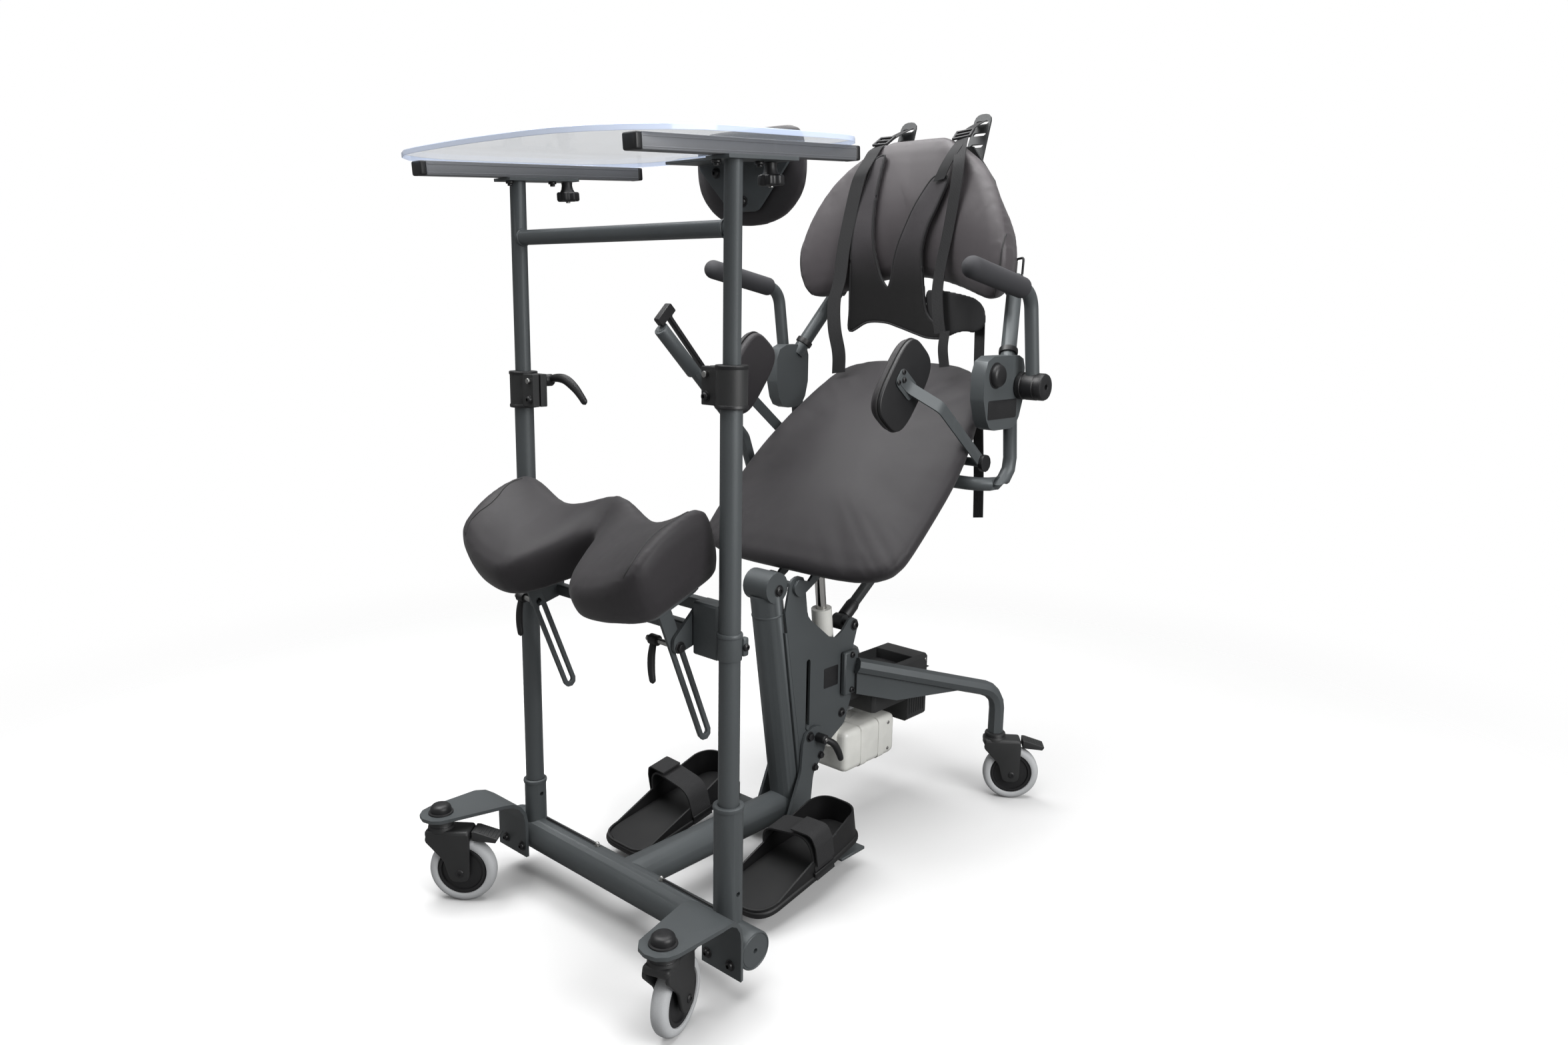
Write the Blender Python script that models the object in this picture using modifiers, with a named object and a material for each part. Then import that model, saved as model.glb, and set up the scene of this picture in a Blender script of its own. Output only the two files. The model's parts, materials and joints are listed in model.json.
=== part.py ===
"""Sit-to-stand standing frame with a swing-away front, tray, seat, back and foot plates.

Metres, +Z up. The user faces -Y and the user's left is +X. Sizes along Y are written from the
line of the two front posts, and the whole frame is then moved so that its middle is the origin.
"""

import math

import bmesh
import bpy
from mathutils import Matrix, Vector

# Whole object
ORIGIN_Y = 0.34229        # front post line to the middle of the footprint
GAP = 0.0003             # gap between touching pieces
SLIDE_GAP = 0.0005       # radial gap of a sliding or turning fit
SIDES = {"left": 1, "right": -1}

# Base weldment
BASE_R = 0.030
BASE_Z = 0.078
CROSS_HALF = 0.290
POST_X = 0.243
POST_R = 0.0159
STUB_R_LEFT = 0.0222
STUB_R_RIGHT = 0.0190
STUB_TOP_LEFT = 0.292
STUB_TOP_RIGHT = 0.180
STUB_FLOOR = 0.130
STUB_HOLE_Z = 0.155
STUB_HOLE_R = 0.004
MAST_FOOT = Vector((0, 0.409, 0.052))
MAST_TOP = Vector((0, 0.338, 0.505))
HEAD_R = 0.0285
HEAD_HALF = 0.0290
HEAD_RISE = 0.014

# Lift linkage: pivots as (y, z)
SEAT_PIVOT = (0.385, 0.515)
EAR_PIVOT = (0.555, 0.406)
LINK_RUN = (0.255, 0.185)
BACK_PIVOT = (SEAT_PIVOT[0] + LINK_RUN[0], SEAT_PIVOT[1] + LINK_RUN[1])
LINK_PIVOT = (EAR_PIVOT[0] + LINK_RUN[0], EAR_PIVOT[1] + LINK_RUN[1])
TRUNNION = (0.522, 0.235)
ROD_PIVOT = (0.482, 0.5555)
PIN_R = 0.006

# Side plates
PLATE_T = 0.005
PLATE_X = BASE_R + GAP
PLATE_OUT = PLATE_X + PLATE_T
SLOT_Y = 0.420
SLOT_Z = (0.232, 0.362)
SLOT_R = 0.0055

# Rear legs
LEG_R = 0.016
LEG_START = Vector((0.052, 0.545, 0.330))
LEG_KNEE_Z = 0.236
LEG_BEND = 0.050
LEG_WEB_T = 0.005
LEG_WEB_DEPTH = 0.058
LEG_PAD_T = 0.012

# Casters
WHEEL_R = 0.0575
WHEEL_W = 0.026
TRAIL = 0.036
HUB_R = 0.043
AXLE_R = 0.005
FORK_T = 0.007
FORK_TOP = 0.145
PEDAL_BACK = 0.020
COLLAR_R = 0.021
FRONT_CASTER = (0.2825, -0.165)
REAR_CASTER = (0.190, 0.848)
BRACKET_T = 0.006
BRACKET_TOP = 0.158
BRACKET_BEND = 0.046
BRACKET_DROP = 0.032
CAP_R = 0.017
CAP_H = 0.015

# Control box and actuator
BOX_HALF_X = 0.055
BOX_Y = (0.600, 0.790)
BOX_Z = (0.165, 0.300)
TONGUE_FRONT = 0.552
TUBE_R = 0.020
TUBE_LENGTH = 0.212
ROD_R = 0.010
ROD_INSIDE = 0.110
MOTOR_SIZE = (0.084, 0.165, 0.086)
MOTOR_MID = Vector((0, 0.612, 0.146))

# Seat: s runs back along the seat, n stands out of it
SEAT_PITCH = math.radians(42)
SEAT_ORIGIN = Vector((0, 0.378, 0.582))
SEAT_FRONT = -0.026
SEAT_REAR = 0.518
SEAT_HALF = 0.246
SEAT_FRONT_HALF = 0.240
SEAT_REAR_HALF = 0.165
SEAT_THICK = 0.064
SEAT_CROWN = 0.010
PAN_T = 0.004
PAN_HALF = 0.165
BAR_T = 0.006
BAR_IN = PLATE_OUT + GAP
ROD_EYE_HALF = 0.010
EAR_T = 0.005
HIP_S = 0.315
HIP_STUB_R = 0.008
HIP_LEAN = math.radians(10)
HIP_RISE = 0.240
HIP_STEP = 0.036
HIP_BAR_T = 0.003
HIP_CLEAR = 0.002
HIP_KNOB_T = 0.008
HIP_PAD_T = 0.026

# Back frame
ARM_X = 0.262
ARM_R = 0.0127
ARM_TOP = Vector((ARM_X, 0.708, 0.850))
ARM_LOW_Y = 0.724
POD_T = 0.028
POD_MID = (0.662, 0.868)
POD_HALF = (0.068, 0.066)
POD_SHORT = 0.036
BACK_POST_R = 0.0143
BACK_POST_TOP = Vector((0.205, 0.800, 1.075))
LINK_EAR_T = 0.005
LINK_EYE_HALF = 0.012
LINK_R = 0.011
LINK_EYE_R = 0.016

# Back cushion and shell
BACK_HALF = 0.254
BACK_TOP = 1.340
BACK_CAP = 0.062
BACK_LOW = 1.020
BACK_ARCH = 0.052
BACK_FRONT = 0.728
BACK_WRAP = 0.068
BACK_THICK = 0.056
SHELL_T = 0.005
SHELL_CLEAR = 0.0135     # the cushion's edge is set back by this much
STRAP_SLOTS = (0.018, 0.042, 0.066)
STRAP_X = 0.088
STRAP_TOP = BACK_TOP + 0.045
STRAP_FOOT = BACK_TOP - 0.105
STRAP_W = 0.046
STRAP_T = 0.004

# Harness
VEST_T = 0.004
VEST_CLEAR = 0.007

# Handles
HANDLE_X = 0.302
HANDLE_PIVOT = (0.716, 0.879)
HANDLE_R = 0.0125
HUB_LENGTH = 0.056
HUB_OUTER_R = 0.025
GRIP_R = 0.0185
HANDLE_BEND = Vector((HANDLE_X, 0.690, 1.047))
HANDLE_TIP = Vector((HANDLE_X, 0.479, 1.086))

# Hand lever on the right of the seat
LEVER_X = -SEAT_HALF - 0.017
LEVER_FOOT_S = 0.205
LEVER_BEND = (0.238, 0.010)
LEVER_TOP = (0.220, 0.326)
LEVER_FALL = math.atan2(LEVER_BEND[0] - LEVER_TOP[0], LEVER_TOP[1] - LEVER_BEND[1])
LEVER_R = 0.012
TRIGGER_HINGE = (0.0185, -0.150)

# Front frame
CLAMP_Z = {"left": 0.8765, "right": 0.8425}   # the right post is cut shorter
CLAMP_H = 0.0595
CLAMP_R = 0.0225
LUG_HALF = 0.014
UPPER_R = 0.0127
UPPER_FOOT = 0.630
BORE_FLOOR = 0.400
RAIL_Z = 1.2090         # underside of the rails at the post line
TRAY_TILT = math.radians(4.1)   # the user's edge of the tray stands higher
H_BAR_Z = RAIL_Z - 0.093
TOP_PLATE_T = 0.005
KNEE_BAR_Z = (0.540, 0.582)
KNEE_BAR_H = 0.018
KNEE_BAR_Y = (0.004, 0.022)
BAR_WELD = 0.002         # how far the bars run into the posts' walls

# Tray
RAIL_W = 0.026
RAIL_H = 0.021
RAIL_Y = (-0.178, 0.254)
TRAY_HALF = 0.302
TRAY_FRONT = -0.245
TRAY_REAR = 0.262
TRAY_T = 0.008
TRAY_CORNER = 0.190
TRAY_BACK_CORNER = 0.120
KNOB_Y = 0.086
KNOB_R = 0.019
KNOB_X = POST_X - 0.014

# Chest pad
CHEST_Y = 0.292
CHEST_T = 0.040
CHEST_HALF = 0.130
CHEST_Z = (RAIL_Z - 0.093, RAIL_Z + 0.073)

# Knee pad
KNEE_TILT = math.radians(20)
KNEE_FRONT = Vector((0, -0.154, 0.561))
KNEE_HALF = 0.220
KNEE_DEPTH = 0.210
KNEE_THICK = 0.080
KNEE_NOTCH = 0.165
KNEE_BASE_T = 0.005
STEM_X = 0.167
STEM_W = 0.024
STEM_T = 0.006
STEM_SLOT = 0.009
STEM_BOLT = Vector((0, -0.036, 0.527))
STEM_LOW = Vector((0, 0.023, 0.377))
STEM_PIN_R = 0.0035

# Feet
FOOT_X = 0.150
FOOT_HALF = 0.060
FOOT_Y = (0.108, 0.400)
FOOT_Z = 0.068
SOLE_T = 0.020
HEEL_WALL = 0.048
WALL_T = 0.004
WALL_INSET = 0.0006
FOOT_STRAP_RISE = 0.088
FOOT_STRAP_T = 0.004
FOOT_STRAP_W = 0.042
FOOT_STRAP_Y = 0.150     # toe edge to the middle of the strap
FOOT_PIVOT = (0.384, 0.058)
FOOT_TILT = math.radians(10)  # toes down at rest
FOOT_LOCK = (0.443, 0.209)
FOOT_ARM_T = 0.006
SHELF_Z = 0.036
FOOT_ARM_IN = PLATE_OUT + 0.0012


FINISHES = {
    "grey_paint": ((0.070, 0.078, 0.080), 0.42, 0.35),
    "black_plastic": ((0.016, 0.016, 0.018), 0.45, 0.0),
    "fork_plastic": ((0.045, 0.046, 0.050), 0.50, 0.0),
    "tyre": ((0.255, 0.270, 0.290), 0.62, 0.0),
    "cream_plastic": ((0.680, 0.680, 0.640), 0.40, 0.0),
    "chrome": ((0.620, 0.610, 0.590), 0.12, 1.0),
    "vinyl": ((0.040, 0.038, 0.042), 0.48, 0.0),
    "webbing": ((0.014, 0.014, 0.015), 0.80, 0.0),
    "clear": ((0.820, 0.880, 0.950), 0.05, 0.0),
}

parts = bpy.data.collections.new("standing_frame")
cutters = bpy.data.collections.new("cutters")


# Small building tools

def clear_scene():
    """Remove every object and link the two collections."""
    for obj in list(bpy.data.objects):
        bpy.data.objects.remove(obj, do_unlink=True)
    bpy.context.scene.collection.children.link(parts)
    bpy.context.scene.collection.children.link(cutters)


def add_object(name, data):
    """Link a new object holding the given mesh or curve."""
    obj = bpy.data.objects.new(name, data)
    parts.objects.link(obj)
    return obj


def from_bmesh(name, bm):
    """Turn a bmesh into a linked object."""
    mesh = bpy.data.meshes.new(name)
    bm.to_mesh(mesh)
    bm.free()
    return add_object(name, mesh)


def bake(obj):
    """Replace an object's data by its evaluated, welded mesh."""
    bpy.context.view_layer.update()
    graph = bpy.context.evaluated_depsgraph_get()
    mesh = bpy.data.meshes.new_from_object(obj.evaluated_get(graph))
    bm = bmesh.new()
    bm.from_mesh(mesh)
    bmesh.ops.remove_doubles(bm, verts=bm.verts, dist=1e-6)
    bmesh.ops.recalc_face_normals(bm, faces=bm.faces)
    bm.transform(obj.matrix_world)
    baked = from_bmesh(obj.name + "_baked", bm)
    name = obj.name
    bpy.data.objects.remove(obj, do_unlink=True)
    baked.name = name
    return baked


def combine(base, others, operation):
    """Join or cut a base with others through exact booleans, and drop the others."""
    for other in others:
        parts.objects.unlink(other)
        cutters.objects.link(other)
        other.hide_render = True
        other.display_type = "WIRE"
        modifier = base.modifiers.new(operation.lower(), "BOOLEAN")
        modifier.operation = operation
        modifier.solver = "EXACT"
        modifier.object = other
        base = bake(base)
        bpy.data.objects.remove(other, do_unlink=True)
    return base


def union(name, pieces):
    """Join pieces into one body."""
    body = combine(pieces[0], pieces[1:], "UNION")
    body.name = name
    return body


def cut(base, tools):
    """Cut the tools out of a base."""
    return combine(base, tools, "DIFFERENCE")


def cylinder(name, start, end, radius, sides=20, end_radius=None):
    """A round bar or cone between two points."""
    start, end = Vector(start), Vector(end)
    run = end - start
    top = radius if end_radius is None else end_radius
    bm = bmesh.new()
    bmesh.ops.create_cone(bm, cap_ends=True, segments=sides, radius1=radius, radius2=top, depth=run.length)
    turn = run.to_track_quat("Z", "Y").to_matrix().to_4x4()
    bm.transform(Matrix.Translation((start + end) / 2) @ turn)
    return from_bmesh(name, bm)


def block(name, low, high, bevel=0.0, segments=2):
    """A box between two corners, with rounded edges."""
    low, high = Vector(low), Vector(high)
    bm = bmesh.new()
    bmesh.ops.create_cube(bm, size=1.0)
    bmesh.ops.scale(bm, vec=high - low, verts=bm.verts)
    bmesh.ops.translate(bm, vec=(low + high) / 2, verts=bm.verts)
    if bevel:
        bmesh.ops.bevel(bm, geom=bm.edges[:], offset=bevel, segments=segments, profile=0.5,
                        affect="EDGES", material=-1)
    return from_bmesh(name, bm)


def fillet(corner, before, after, radius, steps):
    """Points of an arc that rounds one corner, in two or three dimensions."""
    corner, before, after = Vector(corner), Vector(before), Vector(after)
    to_before = (before - corner).normalized()
    to_after = (after - corner).normalized()
    half = to_before.angle(to_after) / 2
    if radius <= 0 or half > math.radians(89.5):
        return [corner]
    reach = radius / math.tan(half)
    centre = corner + (to_before + to_after).normalized() * (radius / math.sin(half))
    first = corner + to_before * reach - centre
    last = corner + to_after * reach - centre
    sweep = first.angle(last)
    points = []
    for step in range(steps + 1):
        part = step / steps
        blend = first * math.sin((1 - part) * sweep) + last * math.sin(part * sweep)
        points.append(centre + blend / math.sin(sweep))
    return points


def rounded(points, steps=3):
    """Closed outline from (a, b, radius) corners."""
    flat = [Vector((a, b, 0)) for a, b, _ in points]
    outline = []
    for index, (_, _, radius) in enumerate(points):
        after = flat[(index + 1) % len(flat)]
        outline += fillet(flat[index], flat[index - 1], after, radius, steps)
    return outline


def bent(points, radius, steps=4):
    """Open route whose inner corners are rounded."""
    route = [Vector(points[0])]
    for before, corner, after in zip(points, points[1:], points[2:]):
        route += fillet(corner, before, after, radius, steps)
    return route + [Vector(points[-1])]


def circle(centre, radius, steps=12):
    """Closed outline of a circle."""
    turn = [2 * math.pi * step / steps for step in range(steps)]
    return [Vector((centre[0] + radius * math.cos(t), centre[1] + radius * math.sin(t), 0)) for t in turn]


def slot(first, last, radius, steps=4):
    """Closed outline of a slot with round ends."""
    first, last = Vector((*first, 0)), Vector((*last, 0))
    heading = math.atan2(last.y - first.y, last.x - first.x)
    outline = []
    for centre, start in ((last, heading - math.pi / 2), (first, heading + math.pi / 2)):
        for step in range(steps + 1):
            angle = start + math.pi * step / steps
            outline.append(centre + Vector((math.cos(angle), math.sin(angle), 0)) * radius)
    return outline


def tube(name, route, radius, resolution=2):
    """A bent tube along a route, closed at both ends."""
    curve = bpy.data.curves.new(name, "CURVE")
    curve.dimensions = "3D"
    curve.bevel_depth = radius
    curve.bevel_resolution = resolution
    curve.use_fill_caps = True
    spline = curve.splines.new("POLY")
    spline.points.add(len(route) - 1)
    for point, place in zip(spline.points, route):
        point.co = (*place, 1)
    return bake(add_object(name, curve))


def sheet(name, outlines, thickness, plane):
    """A flat plate: the first outline is its edge, the others are holes."""
    curve = bpy.data.curves.new(name, "CURVE")
    curve.dimensions = "2D"
    curve.fill_mode = "BOTH"
    curve.extrude = thickness / 2
    for outline in outlines:
        spline = curve.splines.new("POLY")
        spline.points.add(len(outline) - 1)
        for point, place in zip(spline.points, outline):
            point.co = (place[0], place[1], 0, 1)
        spline.use_cyclic_u = True
    obj = add_object(name, curve)
    obj.matrix_world = plane
    return bake(obj)


def turned(name, profile, plane, steps=16):
    """A shape turned about its own Z; the profile's outer side runs from top to bottom."""
    mesh = bpy.data.meshes.new(name)
    edges = [(index, index + 1) for index in range(len(profile) - 1)]
    mesh.from_pydata([(r, 0, z) for r, z in profile], edges, [])
    obj = add_object(name, mesh)
    screw = obj.modifiers.new("turn", "SCREW")
    screw.axis = "Z"
    screw.angle = 2 * math.pi
    screw.steps = steps
    screw.render_steps = steps
    screw.use_merge_vertices = True
    screw.merge_threshold = 1e-5
    obj.matrix_world = plane
    return bake(obj)


def soft(name, counts, shape, levels=1):
    """A padded form: a gridded block whose points the shape function places, then smoothed."""
    bm = bmesh.new()
    bmesh.ops.create_cube(bm, size=2.0)
    for axis, count in enumerate(counts):
        for step in range(1, count):
            plane = Vector((0, 0, 0))
            plane[axis] = -1 + 2 * step / count
            normal = Vector((0, 0, 0))
            normal[axis] = 1
            geometry = bm.verts[:] + bm.edges[:] + bm.faces[:]
            bmesh.ops.bisect_plane(bm, geom=geometry, plane_co=plane, plane_no=normal, dist=1e-6)
    for vert in bm.verts:
        vert.co = shape(*vert.co)
    bmesh.ops.recalc_face_normals(bm, faces=bm.faces)
    obj = from_bmesh(name, bm)
    if levels:
        smooth = obj.modifiers.new("smooth", "SUBSURF")
        smooth.levels = levels
        smooth.render_levels = levels
    return bake(obj)


def side_plane(x):
    """Plane across X: outlines are drawn as (y, z)."""
    return Matrix(((0, 0, 1, x), (1, 0, 0, 0), (0, 1, 0, 0), (0, 0, 0, 1)))


def level_plane(z):
    """Level plane: outlines are drawn as (x, y)."""
    return Matrix.Translation((0, 0, z))


def front_plane(y):
    """Plane across Y: outlines are drawn as (x, z)."""
    return Matrix(((1, 0, 0, 0), (0, 0, -1, y), (0, 1, 0, 0), (0, 0, 0, 1)))


def along_x(origin):
    """Placement of a turned shape whose own Z lies along +X."""
    return Matrix.Translation(origin) @ Matrix.Rotation(math.pi / 2, 4, "Y")


def seat_plane(x):
    """Plane across X in the seat's own directions: outlines are drawn as (s, n)."""
    turn = Matrix.Rotation(SEAT_PITCH, 4, "X")
    return Matrix.Translation(SEAT_ORIGIN + Vector((x, 0, 0))) @ turn @ side_plane(0)


def seat_point(x, s, n):
    """A point given by its place on the seat."""
    return seat_plane(x) @ Vector((s, n, 0))


def seat_coordinates(pivot):
    """The (s, n) place of a (y, z) pivot on the seat."""
    local = seat_plane(0).inverted() @ Vector((0, *pivot))
    return (local.x, local.y)


def mirrored(obj, name):
    """A copy of an object mirrored in X."""
    bm = bmesh.new()
    bm.from_mesh(obj.data)
    bm.transform(obj.matrix_world)
    bmesh.ops.scale(bm, vec=(-1, 1, 1), verts=bm.verts)
    bmesh.ops.reverse_faces(bm, faces=bm.faces)
    return from_bmesh(name, bm)


def finish(obj, name, look, origin=(0, 0, 0)):
    """Name a part, give it its material and put its origin on its joint."""
    obj.name = name
    obj.data.name = name
    shift = Vector(origin)
    obj.data.transform(Matrix.Translation(-shift))
    obj.location = shift
    colour, roughness, metallic = FINISHES[look]
    material = bpy.data.materials.new(name)
    material.use_nodes = True
    shader = material.node_tree.nodes["Principled BSDF"]
    shader.inputs["Base Color"].default_value = (*colour, 1)
    shader.inputs["Roughness"].default_value = roughness
    shader.inputs["Metallic"].default_value = metallic
    obj.data.materials.clear()
    obj.data.materials.append(material)
    obj.data.shade_smooth()
    obj.data.set_sharp_from_angle(angle=math.radians(35))
    return obj


# Base

def base_frame():
    """Cross tube, post stubs, centre tube and mast, welded into one."""
    cross = cylinder("cross", (-CROSS_HALF, 0, BASE_Z), (CROSS_HALF, 0, BASE_Z), BASE_R)
    left = cylinder("left_stub", (POST_X, 0, BASE_Z), (POST_X, 0, STUB_TOP_LEFT), STUB_R_LEFT, 16)
    right = cylinder("right_stub", (-POST_X, 0, BASE_Z), (-POST_X, 0, STUB_TOP_RIGHT), STUB_R_RIGHT, 16)
    centre = cylinder("centre", (0, 0, BASE_Z), (0, MAST_FOOT.y, BASE_Z), BASE_R - 0.0004)
    mast = cylinder("mast", MAST_FOOT, MAST_TOP, BASE_R)
    crown = MAST_TOP + (MAST_TOP - MAST_FOOT).normalized() * HEAD_RISE
    head = cylinder("head", crown - Vector((HEAD_HALF, 0, 0)), crown + Vector((HEAD_HALF, 0, 0)), HEAD_R)
    frame = union("base_frame", [cross, left, right, centre, mast, head])
    over = STUB_TOP_LEFT + 0.01
    bore = cylinder("bore", (POST_X, 0, STUB_FLOOR), (POST_X, 0, over), POST_R + SLIDE_GAP, 16)
    holes = [cylinder("hole", (x - 0.03, 0, STUB_HOLE_Z), (x + 0.03, 0, STUB_HOLE_Z), STUB_HOLE_R, 8)
             for x in (POST_X, -POST_X)]
    return finish(cut(frame, [bore] + holes), "base_frame", "grey_paint")


def side_plate(side):
    """Gusset plate with the seat pivot lobe, the rear ear and the foot slot."""
    sign = SIDES[side]
    pivot, ear = SEAT_PIVOT, EAR_PIVOT
    edge = rounded([
        (0.352, 0.470, 0.004), (pivot[0] - 0.018, pivot[1] + 0.018, 0.016),
        (pivot[0] + 0.018, pivot[1] + 0.018, 0.016), (pivot[0] + 0.030, 0.450, 0.030),
        (0.500, 0.382, 0.030), (ear[0] - 0.016, ear[1] + 0.016, 0.014),
        (ear[0] + 0.018, ear[1] + 0.016, 0.016), (0.552, 0.360, 0.010),
        (0.552, 0.262, 0.020), (TRUNNION[0] + 0.010, TRUNNION[1] - 0.024, 0.020),
        (0.455, 0.168, 0.012), (0.404, 0.168, 0.004),
    ], 2)
    pin_hole = PIN_R + SLIDE_GAP
    holes = [circle(place, pin_hole, 10) for place in (pivot, ear, TRUNNION)]
    holes.append(slot((SLOT_Y, SLOT_Z[0]), (SLOT_Y, SLOT_Z[1]), SLOT_R))
    plate = sheet("plate", [edge] + holes, PLATE_T, side_plane(sign * (PLATE_X + PLATE_T / 2)))
    return finish(plate, f"side_plate_{side}", "grey_paint")


def rear_leg(side):
    """Bent leg tube with its web and bolting pad."""
    knee = Vector((*REAR_CASTER, LEG_KNEE_Z))
    foot = Vector((*REAR_CASTER, FORK_TOP + GAP))
    pipe = tube("pipe", bent([LEG_START, knee, foot], LEG_BEND), LEG_R)
    run = knee - LEG_START
    level = Vector((run.x, run.y, 0))
    fall = run.z / level.length
    heading = math.atan2(level.y, level.x)
    web_plane = (Matrix.Translation(LEG_START) @ Matrix.Rotation(heading, 4, "Z")
                 @ Matrix.Rotation(math.pi / 2, 4, "X"))
    reach = level.length * 0.78
    web = sheet("web", [[(0, 0), (0, -LEG_WEB_DEPTH), (reach * 0.35, -LEG_WEB_DEPTH + 0.35 * reach * fall),
                         (reach, reach * fall - LEG_R / 2), (reach, reach * fall)]], LEG_WEB_T, web_plane)
    pad_low = (PLATE_OUT + GAP, LEG_START.y - 0.030, LEG_START.z - LEG_WEB_DEPTH)
    pad_high = (PLATE_OUT + GAP + LEG_PAD_T, LEG_START.y + 0.012, LEG_START.z + LEG_R + 0.014)
    pad = block("pad", pad_low, pad_high, 0.003, 1)
    leg = union("leg", [pipe, pad, web])
    if side == "right":
        leg = replace_by_mirror(leg)
    return finish(leg, f"rear_leg_{side}", "grey_paint")


def replace_by_mirror(obj):
    """Swap a part for its mirror image."""
    copy = mirrored(obj, "mirror")
    bpy.data.objects.remove(obj, do_unlink=True)
    return copy


def caster_bracket(side):
    """Bent plate from the front of the cross tube out over the caster stem."""
    face = -BASE_R - GAP
    inner, outer = BRACKET_BEND - BRACKET_T, BRACKET_BEND
    front = FRONT_CASTER[1] - 0.040
    top = BRACKET_TOP
    skin = bent([(face, BASE_Z - BRACKET_DROP, 0), (face, top, 0), (front, top, 0)], outer)
    core = bent([(face - BRACKET_T, BASE_Z - BRACKET_DROP, 0), (face - BRACKET_T, top - BRACKET_T, 0),
                 (front, top - BRACKET_T, 0)], inner)
    middle = FRONT_CASTER[0] - 0.022
    strip = sheet("strip", [skin + core[::-1]], 0.200, side_plane(middle))
    x, y = FRONT_CASTER
    plan = rounded([
        (middle - 0.036, 0.01, 0.0), (middle - 0.036, -0.075, 0.030), (x - 0.034, y - 0.002, 0.020),
        (x - 0.034, y - 0.034, 0.032), (x + 0.034, y - 0.034, 0.032), (x + 0.034, -0.080, 0.020),
        (middle + 0.036, 0.01, 0.0),
    ])
    outline = sheet("outline", [plan], 0.400, level_plane(BRACKET_TOP))
    bracket = combine(strip, [outline], "INTERSECT")
    cap = turned("cap", [(0, CAP_H), (CAP_R * 0.7, CAP_H * 0.92), (CAP_R, CAP_H * 0.6), (CAP_R, -0.001),
                         (0, -0.001)], Matrix.Translation((x, y, BRACKET_TOP)), 12)
    bracket = union("bracket", [bracket, cap])
    if side == "right":
        bracket = replace_by_mirror(bracket)
    return finish(bracket, f"caster_bracket_{side}", "grey_paint")


def control_box():
    """Ribbed control and battery box with the tongue that holds it between the plates."""
    body = block("body", (-BOX_HALF_X, BOX_Y[0], BOX_Z[0]), (BOX_HALF_X, BOX_Y[1], BOX_Z[1]), 0.006, 1)
    half = PLATE_X - 0.001
    tongue_low = (-half, TONGUE_FRONT, BOX_Z[1] - 0.052)
    tongue = block("tongue", tongue_low, (half, BOX_Y[0] + 0.01, BOX_Z[1] - 0.012))
    box = union("box", [body, tongue])
    tray_low = (-BOX_HALF_X + 0.008, BOX_Y[0] + 0.060, BOX_Z[1] - 0.022)
    tray_high = (BOX_HALF_X - 0.008, BOX_Y[1] - 0.050, BOX_Z[1] + 0.02)
    notch_low = (-BOX_HALF_X - 0.02, BOX_Y[0] - 0.02, BOX_Z[0] - 0.02)
    notch_high = (BOX_HALF_X + 0.02, BOX_Y[0] + 0.118, BOX_Z[0] + 0.050)
    cuts = [block("recess", tray_low, tray_high), block("notch", notch_low, notch_high)]
    return finish(cut(box, cuts), "control_box", "black_plastic")


# Casters

def caster(position, place, heading, top):
    """Fork, wheel and brake pedal of one caster, turned to its heading."""
    swivel = bpy.data.objects.new(f"swivel_{position}", None)
    parts.objects.link(swivel)
    swivel.location = (place[0], place[1], 0)
    swivel.rotation_euler = (0, 0, heading)
    cheek = WHEEL_W / 2 + 0.002
    shoulder = WHEEL_R * 2 + 0.004
    collar = cylinder("collar", (0, 0, shoulder), (0, 0, top), COLLAR_R, 12)
    roof_half = cheek + FORK_T - 0.001
    roof = block("roof", (-roof_half, -0.024, shoulder), (roof_half, TRAIL + 0.018, FORK_TOP - 0.012))
    pieces = [roof, collar]
    for sign in (1, -1):
        leg = rounded([(-0.020, shoulder + 0.004, 0.0), (TRAIL - 0.012, WHEEL_R - 0.012, 0.011),
                       (TRAIL + 0.013, WHEEL_R - 0.012, 0.011), (TRAIL + 0.014, shoulder + 0.004, 0.0)], 2)
        pieces.append(sheet("leg", [leg], FORK_T, side_plane(sign * (cheek + FORK_T / 2))))
    axle_half = cheek + 0.001
    pieces.append(cylinder("axle", (-axle_half, TRAIL, WHEEL_R), (axle_half, TRAIL, WHEEL_R), AXLE_R, 8))
    fork = finish(union("fork", pieces), f"caster_fork_{position}", "fork_plastic")

    half = WHEEL_W / 2
    bore = AXLE_R + SLIDE_GAP
    profile = [(bore, half - 0.002), (HUB_R, half - 0.002), (HUB_R, half), (WHEEL_R - 0.007, half),
               (WHEEL_R, half - 0.006), (WHEEL_R, 0.006 - half), (WHEEL_R - 0.007, -half), (HUB_R, -half),
               (HUB_R, 0.002 - half), (bore, 0.002 - half), (bore, half - 0.002)]
    axle_place = Vector((0, TRAIL, WHEEL_R))
    wheel = turned("wheel", profile, along_x(axle_place), 18)
    finish(wheel, f"caster_wheel_{position}", "tyre", axle_place)

    hinge = Vector((0, TRAIL + PEDAL_BACK, FORK_TOP - PEDAL_BACK))
    y, z = hinge.y, hinge.z
    outline = [(y, z - 0.005), (y + 0.042, z - 0.012), (y + 0.046, z - 0.004), (y + 0.006, z + 0.008),
               (y, z + 0.007)]
    pedal = sheet("pedal", [outline], WHEEL_W + 0.008, side_plane(0))
    finish(pedal, f"brake_pedal_{position}", "fork_plastic", hinge)
    for piece in (fork, wheel, pedal):
        piece.parent = swivel
    return swivel


# Lift

def actuator_axis():
    """Unit vector from the trunnion towards the rod's eye."""
    return Vector((0, ROD_PIVOT[0] - TRUNNION[0], ROD_PIVOT[1] - TRUNNION[1])).normalized()


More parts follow.
